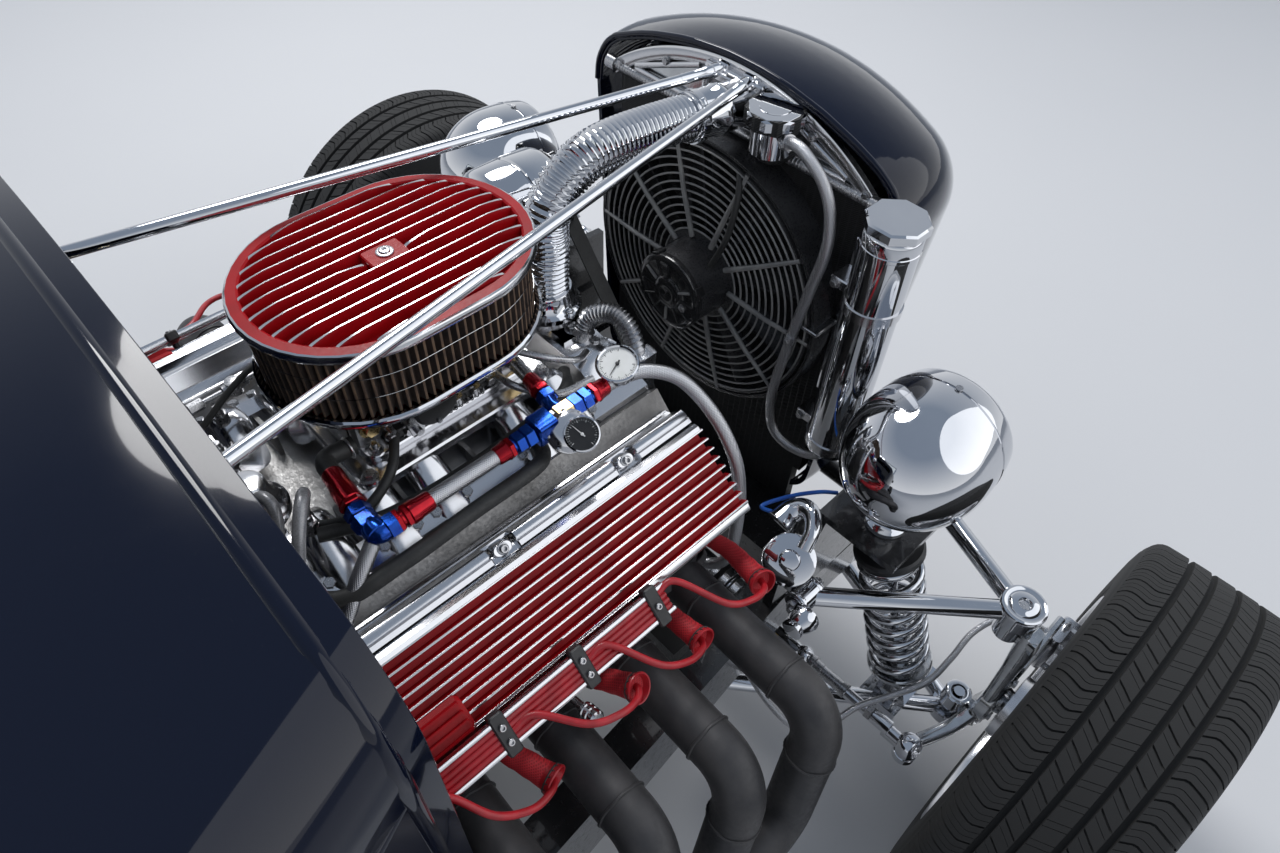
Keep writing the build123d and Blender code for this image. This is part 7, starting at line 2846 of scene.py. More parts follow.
@dataclass(frozen=True)
class Corner:
    """One corner of the car: its side, its end and the sizes of its wheel."""

    side: Side
    end: str
    diameter: float
    width: float
    track: float
    station: float
    hub_inner: float
    grooves: tuple[float, ...]

    @property
    def label(self) -> str:
        """The end and side, as in node names."""
        return f"{self.end}_{{}}_{self.side.label}"

    @property
    def body(self) -> str:
        """The wheel's CAD body."""
        return f"wheel_{self.end}_{self.side.label}"

    def point(self, out: float, radius: float, angle: float) -> Vector:
        """A point of the wheel.

        Args:
            out: Millimetres outwards from the tyre's middle.
            radius: Millimetres from the axle.
            angle: Turn about the axle, from the front.

        Returns:
            The point in metres.
        """
        x = self.side.value * (self.track / 2 + out)
        return place(x, self.station - radius * math.cos(angle), self.diameter / 2 + radius * math.sin(angle))

    def axle(self, out: float = 0.0) -> Matrix:
        """A frame on the axle, local Z outwards."""
        return frame_on(self.point(out, 0.0, 0.0), Vector((self.side.value, 0, 0)), Vector((0, 0, 1)))


CORNERS = tuple(
    Corner(side, *row)
    for row in (
        ("front", 614.0, 196.0, 1500.0, 0.0, 646.0, (15.0, 44.0)),
        ("rear", 740.0, 270.0, 1480.0, 2690.0, 612.0, (0.0, 36.0, 72.0)),
    )
    for side in Side
)
BEAD_RADIUS = 191.0


@dataclass
class Tyre:
    """A tyre whose grooves, sipes and sidewall lines are cut in its mesh."""

    corner: Corner
    groove: float = 8.0
    depth: float = 6.5
    pitch: float = 28.4
    fine: bool = True

    def build(self) -> None:
        """Builds the carcass ring by ring round the axle."""
        columns = self.columns()
        rows = self.rows()
        turns = round(math.pi * self.corner.diameter / self.pitch)
        radius = self.corner.diameter / 2
        verts: list[Vector] = []
        for turn in range(turns):
            for share, kind in rows:
                for out, reach, zone in columns:
                    cut = self.cut(zone, kind)
                    if zone == "groove":
                        cut = self.depth
                    angle = 2 * math.pi * (turn + share) / turns + self.lean(out) / radius * (
                        1 if reach > radius - 19 else 0
                    )
                    verts.append(self.corner.point(out, reach - cut, angle))
        count, across = turns * len(rows), len(columns)
        faces = []
        for i in range(count):
            j = (i + 1) % count
            for k in range(across):
                m = (k + 1) % across
                quad = (i * across + k, i * across + m, j * across + m, j * across + k)
                faces.append(quad if self.corner.side is Side.RIGHT else quad[::-1])
        name = self.corner.label.format("tyre")
        data = bpy.data.meshes.new(name + "_tread")
        data.from_pydata(verts, [], faces)
        data.polygons.foreach_set("use_smooth", [True] * len(faces))
        data.materials.append(TYRE.build())
        data.set_sharp_from_angle(angle=math.radians(36))
        obj = bpy.data.objects.new(name + "_tread", data)
        bpy.context.scene.collection.objects.link(obj)
        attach(obj, self.corner.body)
        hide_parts(name)

    def rows(self) -> list[tuple[float, str]]:
        """Places round one pitch of the tread, each with the kind of cut it lies in.

        Returns:
            Pairs of the share of a pitch and the kind of cut.
        """
        marks = [(0.0, "top"), (0.022, "wide"), (0.085, "wide"), (0.107, "top")]
        marks += [(0.40, "top"), (0.417, "thin"), (0.434, "top")]
        if self.fine:
            marks += [(0.70, "top"), (0.717, "hair"), (0.734, "top")]
        return marks

    def cut(self, zone: str, kind: str) -> float:
        """How deep a kind of sipe is in a zone of the tread.

        Args:
            zone: The zone's name.
            kind: The cut's kind.

        Returns:
            The depth in millimetres.
        """
        table = {
            ("shoulder", "wide"): 3.6,
            ("shoulder", "thin"): 1.7,
            ("shoulder", "hair"): 1.7,
            ("middle", "wide"): 4.0,
            ("middle", "thin"): 1.8,
            ("centre", "wide"): 0.0,
            ("centre", "thin"): 1.7,
            ("centre", "hair"): 1.7,
        }
        return table.get((zone, kind), 0.0)

    def lean(self, out: float) -> float:
        """How far a sipe has moved round the tread at a place across it, in millimetres.

        Args:
            out: Millimetres from the tread's middle.

        Returns:
            The shift in millimetres.
        """
        marks = [(0.0, 0.0)]
        last = 0.0
        for k, centre in enumerate(self.corner.grooves):
            if centre > 0:
                marks.append((centre - self.groove / 2, last + 5.0 * (1 if k % 2 else -1)))
            marks.append((centre + self.groove / 2, marks[-1][1] + 2.0))
            middle = centre + self.groove / 2 + 13
            marks.append((middle, marks[-1][1] + 9.0 * (-1 if k % 2 else 1)))
            last = marks[-1][1]
        marks.append((self.corner.width / 2, marks[-1][1] + 9.0))
        reach = abs(out)
        for (a, low), (b, high) in zip(marks, marks[1:]):
            if reach <= b:
                share = (reach - a) / max(b - a, 0.01)
                return (low + (high - low) * share) * (1 if out >= 0 else -1)
        return marks[-1][1] * (1 if out >= 0 else -1)

    def columns(self) -> list[tuple[float, float, str]]:
        """Places across the tyre as distance outwards, radius and zone, round the whole section.

        Returns:
            Distance outwards, radius and zone of each place.
        """
        half, radius = self.corner.width / 2, self.corner.diameter / 2
        edge = half - 22
        tread: list[tuple[float, str]] = []
        starts = [g for g in self.corner.grooves]
        if starts[0] > 0:
            tread += [
                (0.0, "centre"), (starts[0] * 0.35, "centre"), (starts[0] - self.groove / 2 - 0.3, "centre")
            ]
        for k, centre in enumerate(starts):
            low, high = centre - self.groove / 2, centre + self.groove / 2
            if centre > 0:
                tread += [(low, "plain"), (low + 0.7, "groove")]
            tread += [(high - 0.7, "groove"), (high, "plain")]
            following = starts[k + 1] - self.groove / 2 if k + 1 < len(starts) else edge
            zone = "middle" if k + 1 < len(starts) else "shoulder"
            count = 4 if zone == "middle" else 6
            tread += [(high + (following - high) * (i + 0.3) / count, zone) for i in range(count)]
        side = []
        for out, zone in tread:
            side.append((out, radius - 1.6 * (out / edge) ** 2, zone))
        wrap = ((edge, 1.9), (edge + 5, 3.6), (edge + 9.5, 7.0), (edge + 13, 12.0), (edge + 15.4, 17.4))
        side += [(out, radius - drop, "shoulder") for out, drop in wrap]
        wall = radius - BEAD_RADIUS
        rim = (
            (half - 5.9, radius - 18.6), (half - 4.7, radius - 21.5), (half - 4.9, radius - 23.5),
            (half - 3.0, radius - 27)
        )
        rim += (
            (half - 1.2, BEAD_RADIUS + 0.66 * wall), (half - 0.1, BEAD_RADIUS + 0.47 * wall),
            (half - 1.0, BEAD_RADIUS + 0.3 * wall)
        )
        rim += (
            (half - 2.2, BEAD_RADIUS + 26), (half - 3.4, BEAD_RADIUS + 24.6),
            (half - 3.0, BEAD_RADIUS + 20), (half - 4.6, BEAD_RADIUS + 15)
        )
        rim += ((half - 9.5, BEAD_RADIUS + 11.5), (half - 12, BEAD_RADIUS + 1.0))
        side += [(out, reach, "wall") for out, reach in rim]
        other = [(-out, reach, zone) for out, reach, zone in side if out > 0]
        return [*reversed(other), *side]


@dataclass
class Wheel:
    """Polished five-spoke wheel with a stepped lip, its nuts and cap, and the slotted brake disc."""

    corner: Corner
    spokes: int = 5

    def build(self) -> None:
        """Builds the wheel."""
        shape = Shape(self.corner.label.format("wheel") + "_polished")
        self.barrel(shape)
        self.spoke_set(shape)
        self.hub(shape)
        self.disc(shape)
        node = self.corner.label.format("wheel")
        shape.build(self.corner.body, (ALLOY, CHROME, STEEL, CAST, SATIN_BLACK), Slot.CHROME, (node,), 30.0)

    def barrel(self, shape: Shape) -> None:
        """Adds the rim, stepped down behind its outer lip.

        Args:
            shape: The piece that takes the faces.
        """
        half = self.corner.width / 2
        r = BEAD_RADIUS
        outer = (
            (-half + 2.5, r + 9), (-half + 3.5, r + 11.6), (-half + 6, r + 11.8), (-half + 7.8, r + 9),
            (-half + 8.4, r + 1), (-half + 11, r - 0.4)
        )
        outer += (
            (-half + 40, r - 0.8), (-half + 46, r - 7.0), (half - 50, r - 7.0), (half - 44, r - 0.8),
            (half - 11, r - 0.4)
        )
        outer += (
            (half - 8.4, r + 1), (half - 7.8, r + 9), (half - 6, r + 11.8), (half - 3.5, r + 11.6),
            (half - 2.2, r + 9)
        )
        inner = (
            (half - 3.0, r + 1), (half - 5, r - 4.5), (half - 9, r - 5.6), (half - 22, r - 6.2),
            (half - 24, r - 7.4), (half - 30, r - 8.0), (half - 52, r - 10.8)
        )
        inner += ((-half + 48, r - 10.8), (-half + 40, r - 4.6), (-half + 9, r - 4.2), (-half + 3.5, r - 1))
        shape.lathe([*outer, *inner], self.corner.axle(), 96, 0, joined=True)

    def spoke_set(self, shape: Shape) -> None:
        """Adds the tapered spokes, dished in a little towards the hub.

        Args:
            shape: The piece that takes the faces.
        """
        face = self.corner.width / 2 - 45
        sections = (
            (30, 62, 30, -3), (62, 52, 30, -2), (100, 42, 26, 3), (140, 42, 24, 8), (166, 52, 24, 10),
            (184.5, 74, 26, 10)
        )
        for k in range(self.spokes):
            around = 2 * math.pi * k / self.spokes + math.pi / 2
            rings = []
            for radius, width, deep, shift in sections:
                ring = []
                for y, z in box_outline(width, deep, min(9.0, deep / 2.6), 4):
                    swing = math.atan2(y, radius)
                    reach = math.hypot(radius, y) if radius < 180 else radius
                    crown = 3.5 * (1 - (2 * y / width) ** 2) if z > 0 else 0.0
                    ring.append(self.corner.point(face + shift + z + crown, reach, around + swing))
                rings.append(ring)
            shape.rings(rings, 0)
            for edge in (-1, 1):
                path = []
                for radius, width, _, shift in sections[1:]:
                    y = edge * (width / 2 - 8)
                    path.append(
                        self.corner.point(
                            face + shift + 15.4, math.hypot(radius, y), around + math.atan2(y, radius)
                        )
                    )
                shape.tube(curve_through(path, 4), 0.0016, 8, 1)

    def hub(self, shape: Shape) -> None:
        """Adds the hub, the nuts in their recesses, the centre cap and the valve.

        Args:
            shape: The piece that takes the faces.
        """
        half = self.corner.width / 2
        back = self.corner.hub_inner - self.corner.track / 2
        turn = self.corner.axle()
        shape.lathe(
            (
                (back, 30), (back + 1, 50), (back + 26, 52), (back + 30, 46), (half - 66, 46),
                (half - 62, 60), (half - 34, 62), (half - 30.5, 58), (half - 30, 27)
            ),
            turn, 60, 0
        )
        for k in range(5):
            angle = 2 * math.pi * (k + 0.5) / 5 + math.pi / 2
            seat = self.corner.point(half - 30, 38, angle)
            nut = frame_on(seat, Vector((self.corner.side.value, 0, 0)))
            shape.lathe(((-1, 11.5), (0.6, 11.5), (1.2, 9.5)), nut, 24, 1)
            shape.prism(hexagon(9.6), nut, 0.5, 14, 1, 1.2)
            shape.lathe(((13, 8), (16.5, 7.2), (18.5, 4.5), (19, 1)), nut, 20, 1)
        shape.lathe(
            (
                (half - 31, 26), (half - 29, 28), (half - 24, 27.5), (half - 20, 25), (half - 13, 23.5),
                (half - 8, 19), (half - 5.5, 11), (half - 5, 2)
            ),
            turn, 48, 1
        )
        for k in range(2):
            shape.ring(
                turn @ Matrix.Translation((0, 0, (half - 21 + 7 * k) * MM)), 24.6 - 2.2 * k, 0.9, 1, 44, 8
            )
        valve = self.corner.point(half - 34, BEAD_RADIUS - 12, 0.6)
        shape.tube([valve, self.corner.point(half - 20, BEAD_RADIUS - 20, 0.6)], 0.0042, 14, 4)
        shape.tube(
            [
                self.corner.point(half - 22, BEAD_RADIUS - 19, 0.6),
                self.corner.point(half - 14, BEAD_RADIUS - 24, 0.6)
            ],
            0.0048, 14, 1
        )

    def disc(self, shape: Shape) -> None:
        """Adds the brake disc: its bell, its two faces with slots, and the vanes.

        Args:
            shape: The piece that takes the faces.
        """
        back = self.corner.hub_inner - self.corner.track / 2
        turn = self.corner.axle(back + 22)
        shape.lathe(
            (
                (-6, 78), (-6, 131), (-5, 132), (-1.8, 132), (-1.5, 129), (1.5, 129), (1.8, 132), (5, 132),
                (6, 131), (6, 78), (7, 72), (18, 68), (19, 50)
            ),
            turn, 96, 2
        )
        for k in range(30):
            angle = 2 * math.pi * k / 30
            spot = Vector((0.1303 * math.cos(angle), 0.1303 * math.sin(angle), 0))
            shape.prism(
                box_outline(3.4, 2.2, 0.6, 2),
                turn @ Matrix.Translation(spot) @ Matrix.Rotation(angle, 4, "Z"), -2.4, 2.4, 3, 0.2
            )
        # The slots are thin black strips laid on both faces: painted shade standing in for cut grooves in the
        # steel.
        for side in (-1, 1):
            for k in range(10):
                angle = 2 * math.pi * k / 10
                slot = turn @ Matrix.Rotation(angle, 4, "Z") @ Matrix.Translation(
                    (0.106, 0, side * 0.00602)
                ) @ Matrix.Rotation(0.5, 4, "Z")
                shape.prism(box_outline(34, 2.2, 1.0, 2), slot, -0.12, 0.12, 4, 0.1)


@dataclass
class Uprights:
    """Forged front knuckles with their ball-joint bosses, steering arms and ribbed brake calipers."""

    kingpin: float = 590.0
    axle_up: float = 307.0

    def build(self) -> None:
        """Builds the knuckle of each side."""
        for side in Side:
            shape = Shape(f"forged_knuckle_{side.label}")
            self.forging(shape)
            self.caliper(shape)
            if side is Side.LEFT:
                for vertex in shape.mesh.verts:
                    vertex.co.x = -vertex.co.x
            body = "knuckle_l" if side is Side.LEFT else "knuckle_r"
            shape.build(body, (WORN_CHROME, CHROME, STEEL, ALLOY), Slot.CHROME, (f"knuckle_{side.label}",))

    def forging(self, shape: Shape) -> None:
        """Adds the upright's tapered web, its bosses, the spindle and the curved steering arm.

        Args:
            shape: The piece that takes the faces.
        """
        x = -self.kingpin
        sections = (
            (218, 34, 30, -30), (238, 44, 32, -32), (262, 58, 22, -35), (307, 76, 18, -36),
            (352, 62, 20, -35), (400, 44, 22, -33), (446, 36, 28, -31), (476, 28, 24, -28)
        )
        rings = []
        for up, along, deep, shift in sections:
            rings.append(
                [
                    place(x + shift + dx, dy, up)
                    for dy, dx in box_outline(along, deep, min(along, deep) / 2.6, 4)
                ]
            )
        shape.rings(rings, 0)
        for low, high, radius in ((216, 250, 20), (446, 480, 19)):
            boss = Matrix.Translation(place(x, 0, low))
            h = high - low
            shape.lathe(
                ((0, radius - 3), (2, radius), (h - 2, radius), (h, radius - 3), (h, 12), (0, 12)), boss,
                40, 1, joined=True
            )
            mid = (low + high) / 2
            bridge = [
                [place(x + dx, dy, mid + dz) for dy, dz in box_outline(size, size * 0.78, 7, 3)]
                for dx, size in ((-40, 34), (-28, 30), (-17, 26))
            ]
            shape.rings(bridge, 0)
        turn = frame_on(place(x, 0, self.axle_up), Vector((-1, 0, 0)))
        shape.lathe(
            ((26, 30), (29, 42), (44, 42.5), (48, 39), (50, 22), (60, 19), (142, 18), (144, 15)), turn, 52,
            0
        )
        for k in range(6):
            angle = math.pi / 3 * k + 0.2
            shape.bolt(
                turn @ Vector((0.034 * math.cos(angle), 0.034 * math.sin(angle), 0.0478)),
                Vector((-1, 0, 0)), 4.6, 5, 2
            )
        arm = ((x - 30, 24, 262), (x - 22, 50, 246), (x - 8, 84, 238), (x + 4, 112, 236), (x + 5, 130, 236))
        path = fine_curve(arm, 5)
        rings = []
        for k, turned in enumerate(frames_along(path)):
            share = k / (len(path) - 1)
            rings.append(
                [turned @ Vector((a * MM, b * MM, 0)) for a, b in box_outline(22 - 4 * share, 16, 5, 3)]
            )
        shape.rings(rings, 0)
        eye = Matrix.Translation(place(x + 4, 130, 228))
        shape.lathe(((0, 14), (1.5, 17), (14.5, 17), (16, 14)), eye, 36, 1)
        shape.bolt(place(x + 4, 130, 228), Vector((0, 0, -1)), 8, 7, 2)

    def caliper(self, shape: Shape) -> None:
        """Adds the two caliper halves over the disc, their ribs, pins, bleeder and bracket.

        Args:
            shape: The piece that takes the faces.
        """
        x, up = -self.kingpin, self.axle_up
        shape.block(place(x - 50, -150, up - 38), place(x - 38, -30, up + 48), 0, 4.0)
        for start, end in ((-64, -46), (-106, -92)):
            rings = []
            for k in range(9):
                share = k / 8
                swell = 1.0 - 0.18 * abs(2 * share - 1) ** 3
                z = up - 40 + 85 * share
                rings.append(
                    [
                        place(x + (start + end) / 2 + a, -132 + b, z)
                        for a, b in box_outline((end - start) * swell, 62 * swell, 6, 3)
                    ]
                )
            shape.rings(rings, 3)
        shape.block(place(x - 106, -165, up - 34), place(x - 46, -145, up + 40), 3, 5.0)
        for k in range(4):
            z = up - 22 + 16 * k
            shape.block(place(x - 109, -158, z), place(x - 104, -106, z + 6), 3, 1.5)
        for z in (up - 28, up + 32):
            shape.tube([place(x - 100, -112, z), place(x - 40, -112, z)], 0.0052, 16, 2)
            shape.bolt(place(x - 38, -112, z), Vector((1, 0, 0)), 7, 7, 2)
        shape.bolt(place(x - 56, -140, up + 44), Vector((0, 0, 1)), 4.5, 6, 2)
        shape.tube([place(x - 56, -140, up + 48), place(x - 56, -140, up + 58)], 0.0026, 10, 2)


@dataclass
class SteeringTrim:
    """Rod ends, jam nuts and pleated boots on the rack and its tie rods."""

    station: float = 130.0
    height: float = 255.0

    def build(self) -> None:
        """Builds the tie rods' moving trim and the rack's fixed trim."""
        rods = Shape("tie_rod_trim")
        end_z = 236.0 + 8 + 5 + 13
        for side in (-1, 1):
            inner, outer = place(side * 395, self.station, self.height), place(side * 586, self.station, 262)
            along = (outer - inner).normalized()
            turn = frame_on(inner, along)
            rods.lathe(
                (
                    (14, 13), (20, 13), (21, 10.5), (34, 10.5), (35, 9.4), (70, 9.4), (71, 12), (80, 12),
                    (81, 9.6)
                ),
                turn, 28, 1
            )
            rods.prism(hexagon(12.5), turn, 118, 128, 1, 1)
            rods.lathe(((128, 9.4), (129, 11.6), (158, 11.6), (159, 9.4)), turn, 28, 0)
            cap = Matrix.Translation(place(side * 586, self.station, end_z))
            rods.lathe(((-13, 13), (-10, 17), (8, 17), (11, 15.6), (13.2, 12), (14, 4)), cap, 36, 0)
        rods.build("tie_rod_body", (CHROME, STEEL), Slot.CHROME)
        rack = Shape("rack_boots")
        for side in (-1, 1):
            turn = frame_on(place(side * 202, self.station, self.height), Vector((side, 0, 0)))
            folds = [(0, 27)]
            for k in range(9):
                folds += [(4 + 10 * k, 36 - 1.4 * k), (9 + 10 * k, 29 - 1.2 * k)]
            rack.lathe([*folds, (97, 20), (98, 17)], turn, 40, 0)
            rack.lathe(((-6, 26), (-5, 30), (3, 30), (4, 27)), turn, 36, 1)
            rack.lathe(((91, 19), (92, 21), (97, 21), (98, 18)), turn, 30, 1)
        rack.build(CHASSIS_BODY, (RUBBER, STEEL), Slot.RUBBER)


class RunningGear:
    """The four tyres and wheels."""

    def build(self) -> None:
        """Builds each corner's tyre and wheel."""
        for corner in CORNERS:
            if corner.end == "rear":
                Tyre(corner, pitch=46.0, fine=False).build()
            else:
                Tyre(corner).build()
            Wheel(corner).build()


def surface(node: str) -> BVHTree:
    """A CAD node's mesh, ready to be measured with rays."""
    data = frame["nodes"][node].data
    return BVHTree.FromPolygons(
        [v.co.copy() for v in data.vertices], [tuple(p.vertices) for p in data.polygons]
    )


def round_section(
    tree: BVHTree, station: float, middle: float, angles: Iterable[float], sunk: float
) -> list[Vector]:
    """Points on a body's outside across one station, found from outside inwards.

    Args:
        tree: The body's surface.
        station: Millimetres behind the front axle.
        middle: The height that the rays aim at.
        angles: Degrees from the left side over the top.
        sunk: Millimetres by which the points lie under the surface.

    Returns:
        The points found, in the angles' order.
    """
    found = []
    centre = place(0, station, middle)
    for degrees in angles:
        way = Vector((math.cos(math.radians(degrees)), 0, math.sin(math.radians(degrees))))
        hit = tree.ray_cast(centre + way * 1.2, -way)[0]
        if hit is not None:
            found.append(hit - way * sunk * MM)
    return found


@dataclass
class CowlSkin:
    """The cowl's painted outside: one smooth sheet, rolled in at its front lip."""

    columns: tuple[tuple[float, float, float, float, float], ...] = (
        (690.0, 385.0, 402.0, 1002.0, 1052.0),
        (1250.0, 535.0, 555.0, 1008.0, 1062.0),
        (1900.0, 575.0, 592.0, 985.0, 1030.0),
        (2550.0, 540.0, 555.0, 870.0, 915.0),
        (3070.0, 440.0, 452.0, 600.0, 640.0),
    )
    sill: float = 430.0
    fillet: float = 85.0
    lift: float = 0.5

    def build(self) -> None:
        """Builds the sheet."""
        stations = [690.3 + 409 * (k / 34) for k in range(35)]
        outer = [self.section(s, self.lift) for s in stations]
        lip = [
            self.section(stations[0] - d, self.lift - e)
            for d, e in ((-0.6, 1.6), (0.4, 1.2), (0.9, 0.5), (0.6, 0.05))
        ]
        back = self.section(stations[-1], self.lift - 1.2)
        verts = [p for ring in (*lip, *outer, back) for p in ring]
        across = len(back)
        rows = len(verts) // across
        faces = []
        for i in range(rows - 1):
            for k in range(across - 1):
                faces.append(
                    (i * across + k, i * across + k + 1, (i + 1) * across + k + 1, (i + 1) * across + k)
                )
        data = bpy.data.meshes.new("cowl_skin")
        data.from_pydata(verts, [], faces)
        data.polygons.foreach_set("use_smooth", [True] * len(faces))
        data.materials.append(PAINT.build())
        obj = bpy.data.objects.new("cowl_skin", data)
        bpy.context.scene.collection.objects.link(obj)
        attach(obj, CHASSIS_BODY)

    def at(self, column: int, station: float) -> float:
        """One of the section's measures at a station, on a curve through the table.

        Args:
            column: The measure's place in a row of the table.
            station: Millimetres behind the front axle.

        Returns:
            The measure in millimetres.
        """
        total = 0.0
        for i, row in enumerate(self.columns):
            term = row[column]
            for j, other in enumerate(self.columns):
                if i != j:
                    term *= (station - other[0]) / (row[0] - other[0])
            total += term
        return total

    def section(self, station: float, lift: float) -> list[Vector]:
        """The body's outline across one station, from the right foot over the top to the left one.

        Args:
            station: Millimetres behind the front axle.
            lift: Millimetres by which it stands off.

        Returns:
            The points in metres.
        """
        foot, belt, shoulder, crown = (self.at(c, station) for c in (1, 2, 3, 4))
        rise = crown - shoulder
        arc = (belt * belt + rise * rise) / (2 * rise)
        centre = crown - arc
        slope = math.atan2(belt - foot, shoulder - self.sill)
        side = Vector((math.cos(slope), -math.sin(slope)))
        low = Vector((foot, self.sill))
        inner = arc - self.fillet
        ahead = Vector((math.sin(slope), math.cos(slope)))
        start = low - side * self.fillet - Vector((0, centre))
        reach = -start.dot(ahead) + math.sqrt(start.dot(ahead) ** 2 - start.length_squared + inner * inner)
        hub = start + ahead * reach + Vector((0, centre))
        first = math.atan2(side.y, side.x)
        last = math.atan2(hub.y - centre, hub.x)
        half = [low + ahead * reach * k / 14 + side * lift for k in range(14)]
        for k in range(17):
            angle = first + (last - first) * k / 16
            half.append(hub + Vector((math.cos(angle), math.sin(angle))) * (self.fillet + lift))
        for k in range(1, 21):
            angle = last + (math.pi / 2 - last) * k / 20
            half.append(Vector((0, centre)) + Vector((math.cos(angle), math.sin(angle))) * (arc + lift))
        right = [place(-p.x, station, p.y) for p in half]
        return right + [place(p.x, station, p.y) for p in half[-2::-1]]


@dataclass
class Coachwork:
    """Beads pressed in the body, the doors' trim panels, and the latches."""

    def build(self) -> None:
        """Builds the beads of the cowl, the doors and the tail."""
        cowl = surface("cowl")
        shape = Shape("cowl_beads")
        path = round_section(cowl, 715.0, 620, range(-16, 197, 3), 5.6)
        shape.tube(path, 0.0085, 16, 0)
        self.belt(shape, cowl, 703, 1096, -1)
        self.belt(shape, cowl, 703, 1096, 1)
        shape.build(CHASSIS_BODY, (PAINT,), Slot.BODY)
        for side, body in ((Side.RIGHT, "door_r"), (Side.LEFT, "door_l")):
            shape = Shape(f"door_trim_{side.label}")
            tree = surface(f"door_{side.label}")
            self.belt(shape, tree, 1109, 1682, side.value)
            self.card(shape, tree, side)
            self.handle(shape, tree, side)
            shape.build(body, (PAINT, LEATHER, CHROME, RUBBER), Slot.BODY)
        shape = Shape("tail_beads")
        tail = surface("rear_body")
        for side in (-1, 1):
            self.belt(shape, tail, 1694, 2960, side)
        shape.build(CHASSIS_BODY, (PAINT,), Slot.BODY)

    def belt(self, shape: Shape, tree: BVHTree, start: float, end: float, side: int) -> None:
        """Adds the raised line that runs along one side under the shoulder.

        Args:
            shape: The piece that takes the faces.
            tree: The surface, to measure with rays.
            start: The station where it starts.
            end: The station where it ends.
            side: -1 for the car's right, 1 for its left.
        """
        heights = ((690.0, 905.0), (1250.0, 912.0), (1900.0, 889.0), (2550.0, 775.0), (3070.0, 505.0))
        path = []
        count = max(int((end - start) / 40), 6)
        for k in range(count + 1):
            station = start + (end - start) * k / count
            i = max(j for j in range(4) if heights[j][0] <= station)
            share = (station - heights[i][0]) / (heights[i + 1][0] - heights[i][0])
            up = heights[i][1] + (heights[i + 1][1] - heights[i][1]) * share
            hit, _, _, _ = tree.ray_cast(place(side * 900, station, up), Vector((-side, 0, 0)))
            if hit is not None:
                path.append(hit - Vector((side * 0.0036, 0, 0)))
        if len(path) > 2:
            radii = [0.0035] + [0.0062] * (len(path) - 2) + [0.0035]
            shape.tube(path, radii, 12, 0)

    def card(self, shape: Shape, tree: BVHTree, side: Side) -> None:
        """Adds the door's inner trim panel with its sewn pleats.

        Args:
            shape: The piece that takes the faces.
            tree: The surface, to measure with rays.
            side: The door's side.
        """
        rows = []
        for i in range(73):
            station = 1122 + (1668 - 1122) * i / 72
            ring = []
            for k in range(18):
                up = 512 + (905 - 512) * k / 17
                hit, _, _, _ = tree.ray_cast(place(side.value * 300, station, up), Vector((side.value, 0, 0)))
                x = hit.x if hit is not None else side.value * 0.5
                edge = min(i, 72 - i, k, 17 - k)
                sewn = abs(math.sin(math.pi * i / 6)) ** 0.5
                puff = 1.0 if edge == 0 else 4.2 + 3.6 * sewn * (1 if 2 < k < 15 else 0.4)
                ring.append(Vector((x - side.value * puff * MM, (FRONT_AXLE_Y + station) * MM, up * MM)))
            back = [Vector((p.x + side.value * 0.0006, p.y, p.z)) for p in (ring[-1], ring[0])]
            rows.append(ring + back)
        shape.rings(rows, 1)

    def handle(self, shape: Shape, tree: BVHTree, side: Side) -> None:
        """Adds the inside latch lever and its plate, and a pull strap.

        Args:
            shape: The piece that takes the faces.
            tree: The surface, to measure with rays.
            side: The door's side.
        """
        x = side.value * 505
        hit, _, _, _ = tree.ray_cast(place(side.value * 300, 1610, 850), Vector((side.value, 0, 0)))
        if hit is not None:
            x = hit.x / MM - side.value * 9
        turn = frame_on(place(x, 1610, 850), Vector((-side.value, 0, 0)))
        shape.lathe(((0, 19), (3, 19), (5, 16), (6, 9), (16, 8), (18, 6)), turn, 32, 2)
        lever = [
            place(x - side.value * 13, s, z)
            for s, z in ((1612, 850), (1590, 852), (1560, 848), (1536, 838))
        ]
        shape.tube(curve_through(lever, 5), [0.0062 - 0.0001 * k for k in range(16)], 14, 2)
        pull = [
            place(x - side.value * d, s, 800)
            for d, s in ((-1, 1330), (14, 1346), (18, 1390), (18, 1440), (14, 1484), (-1, 1500))
        ]
        shape.tube(curve_through(pull, 5), 0.008, 12, 3)


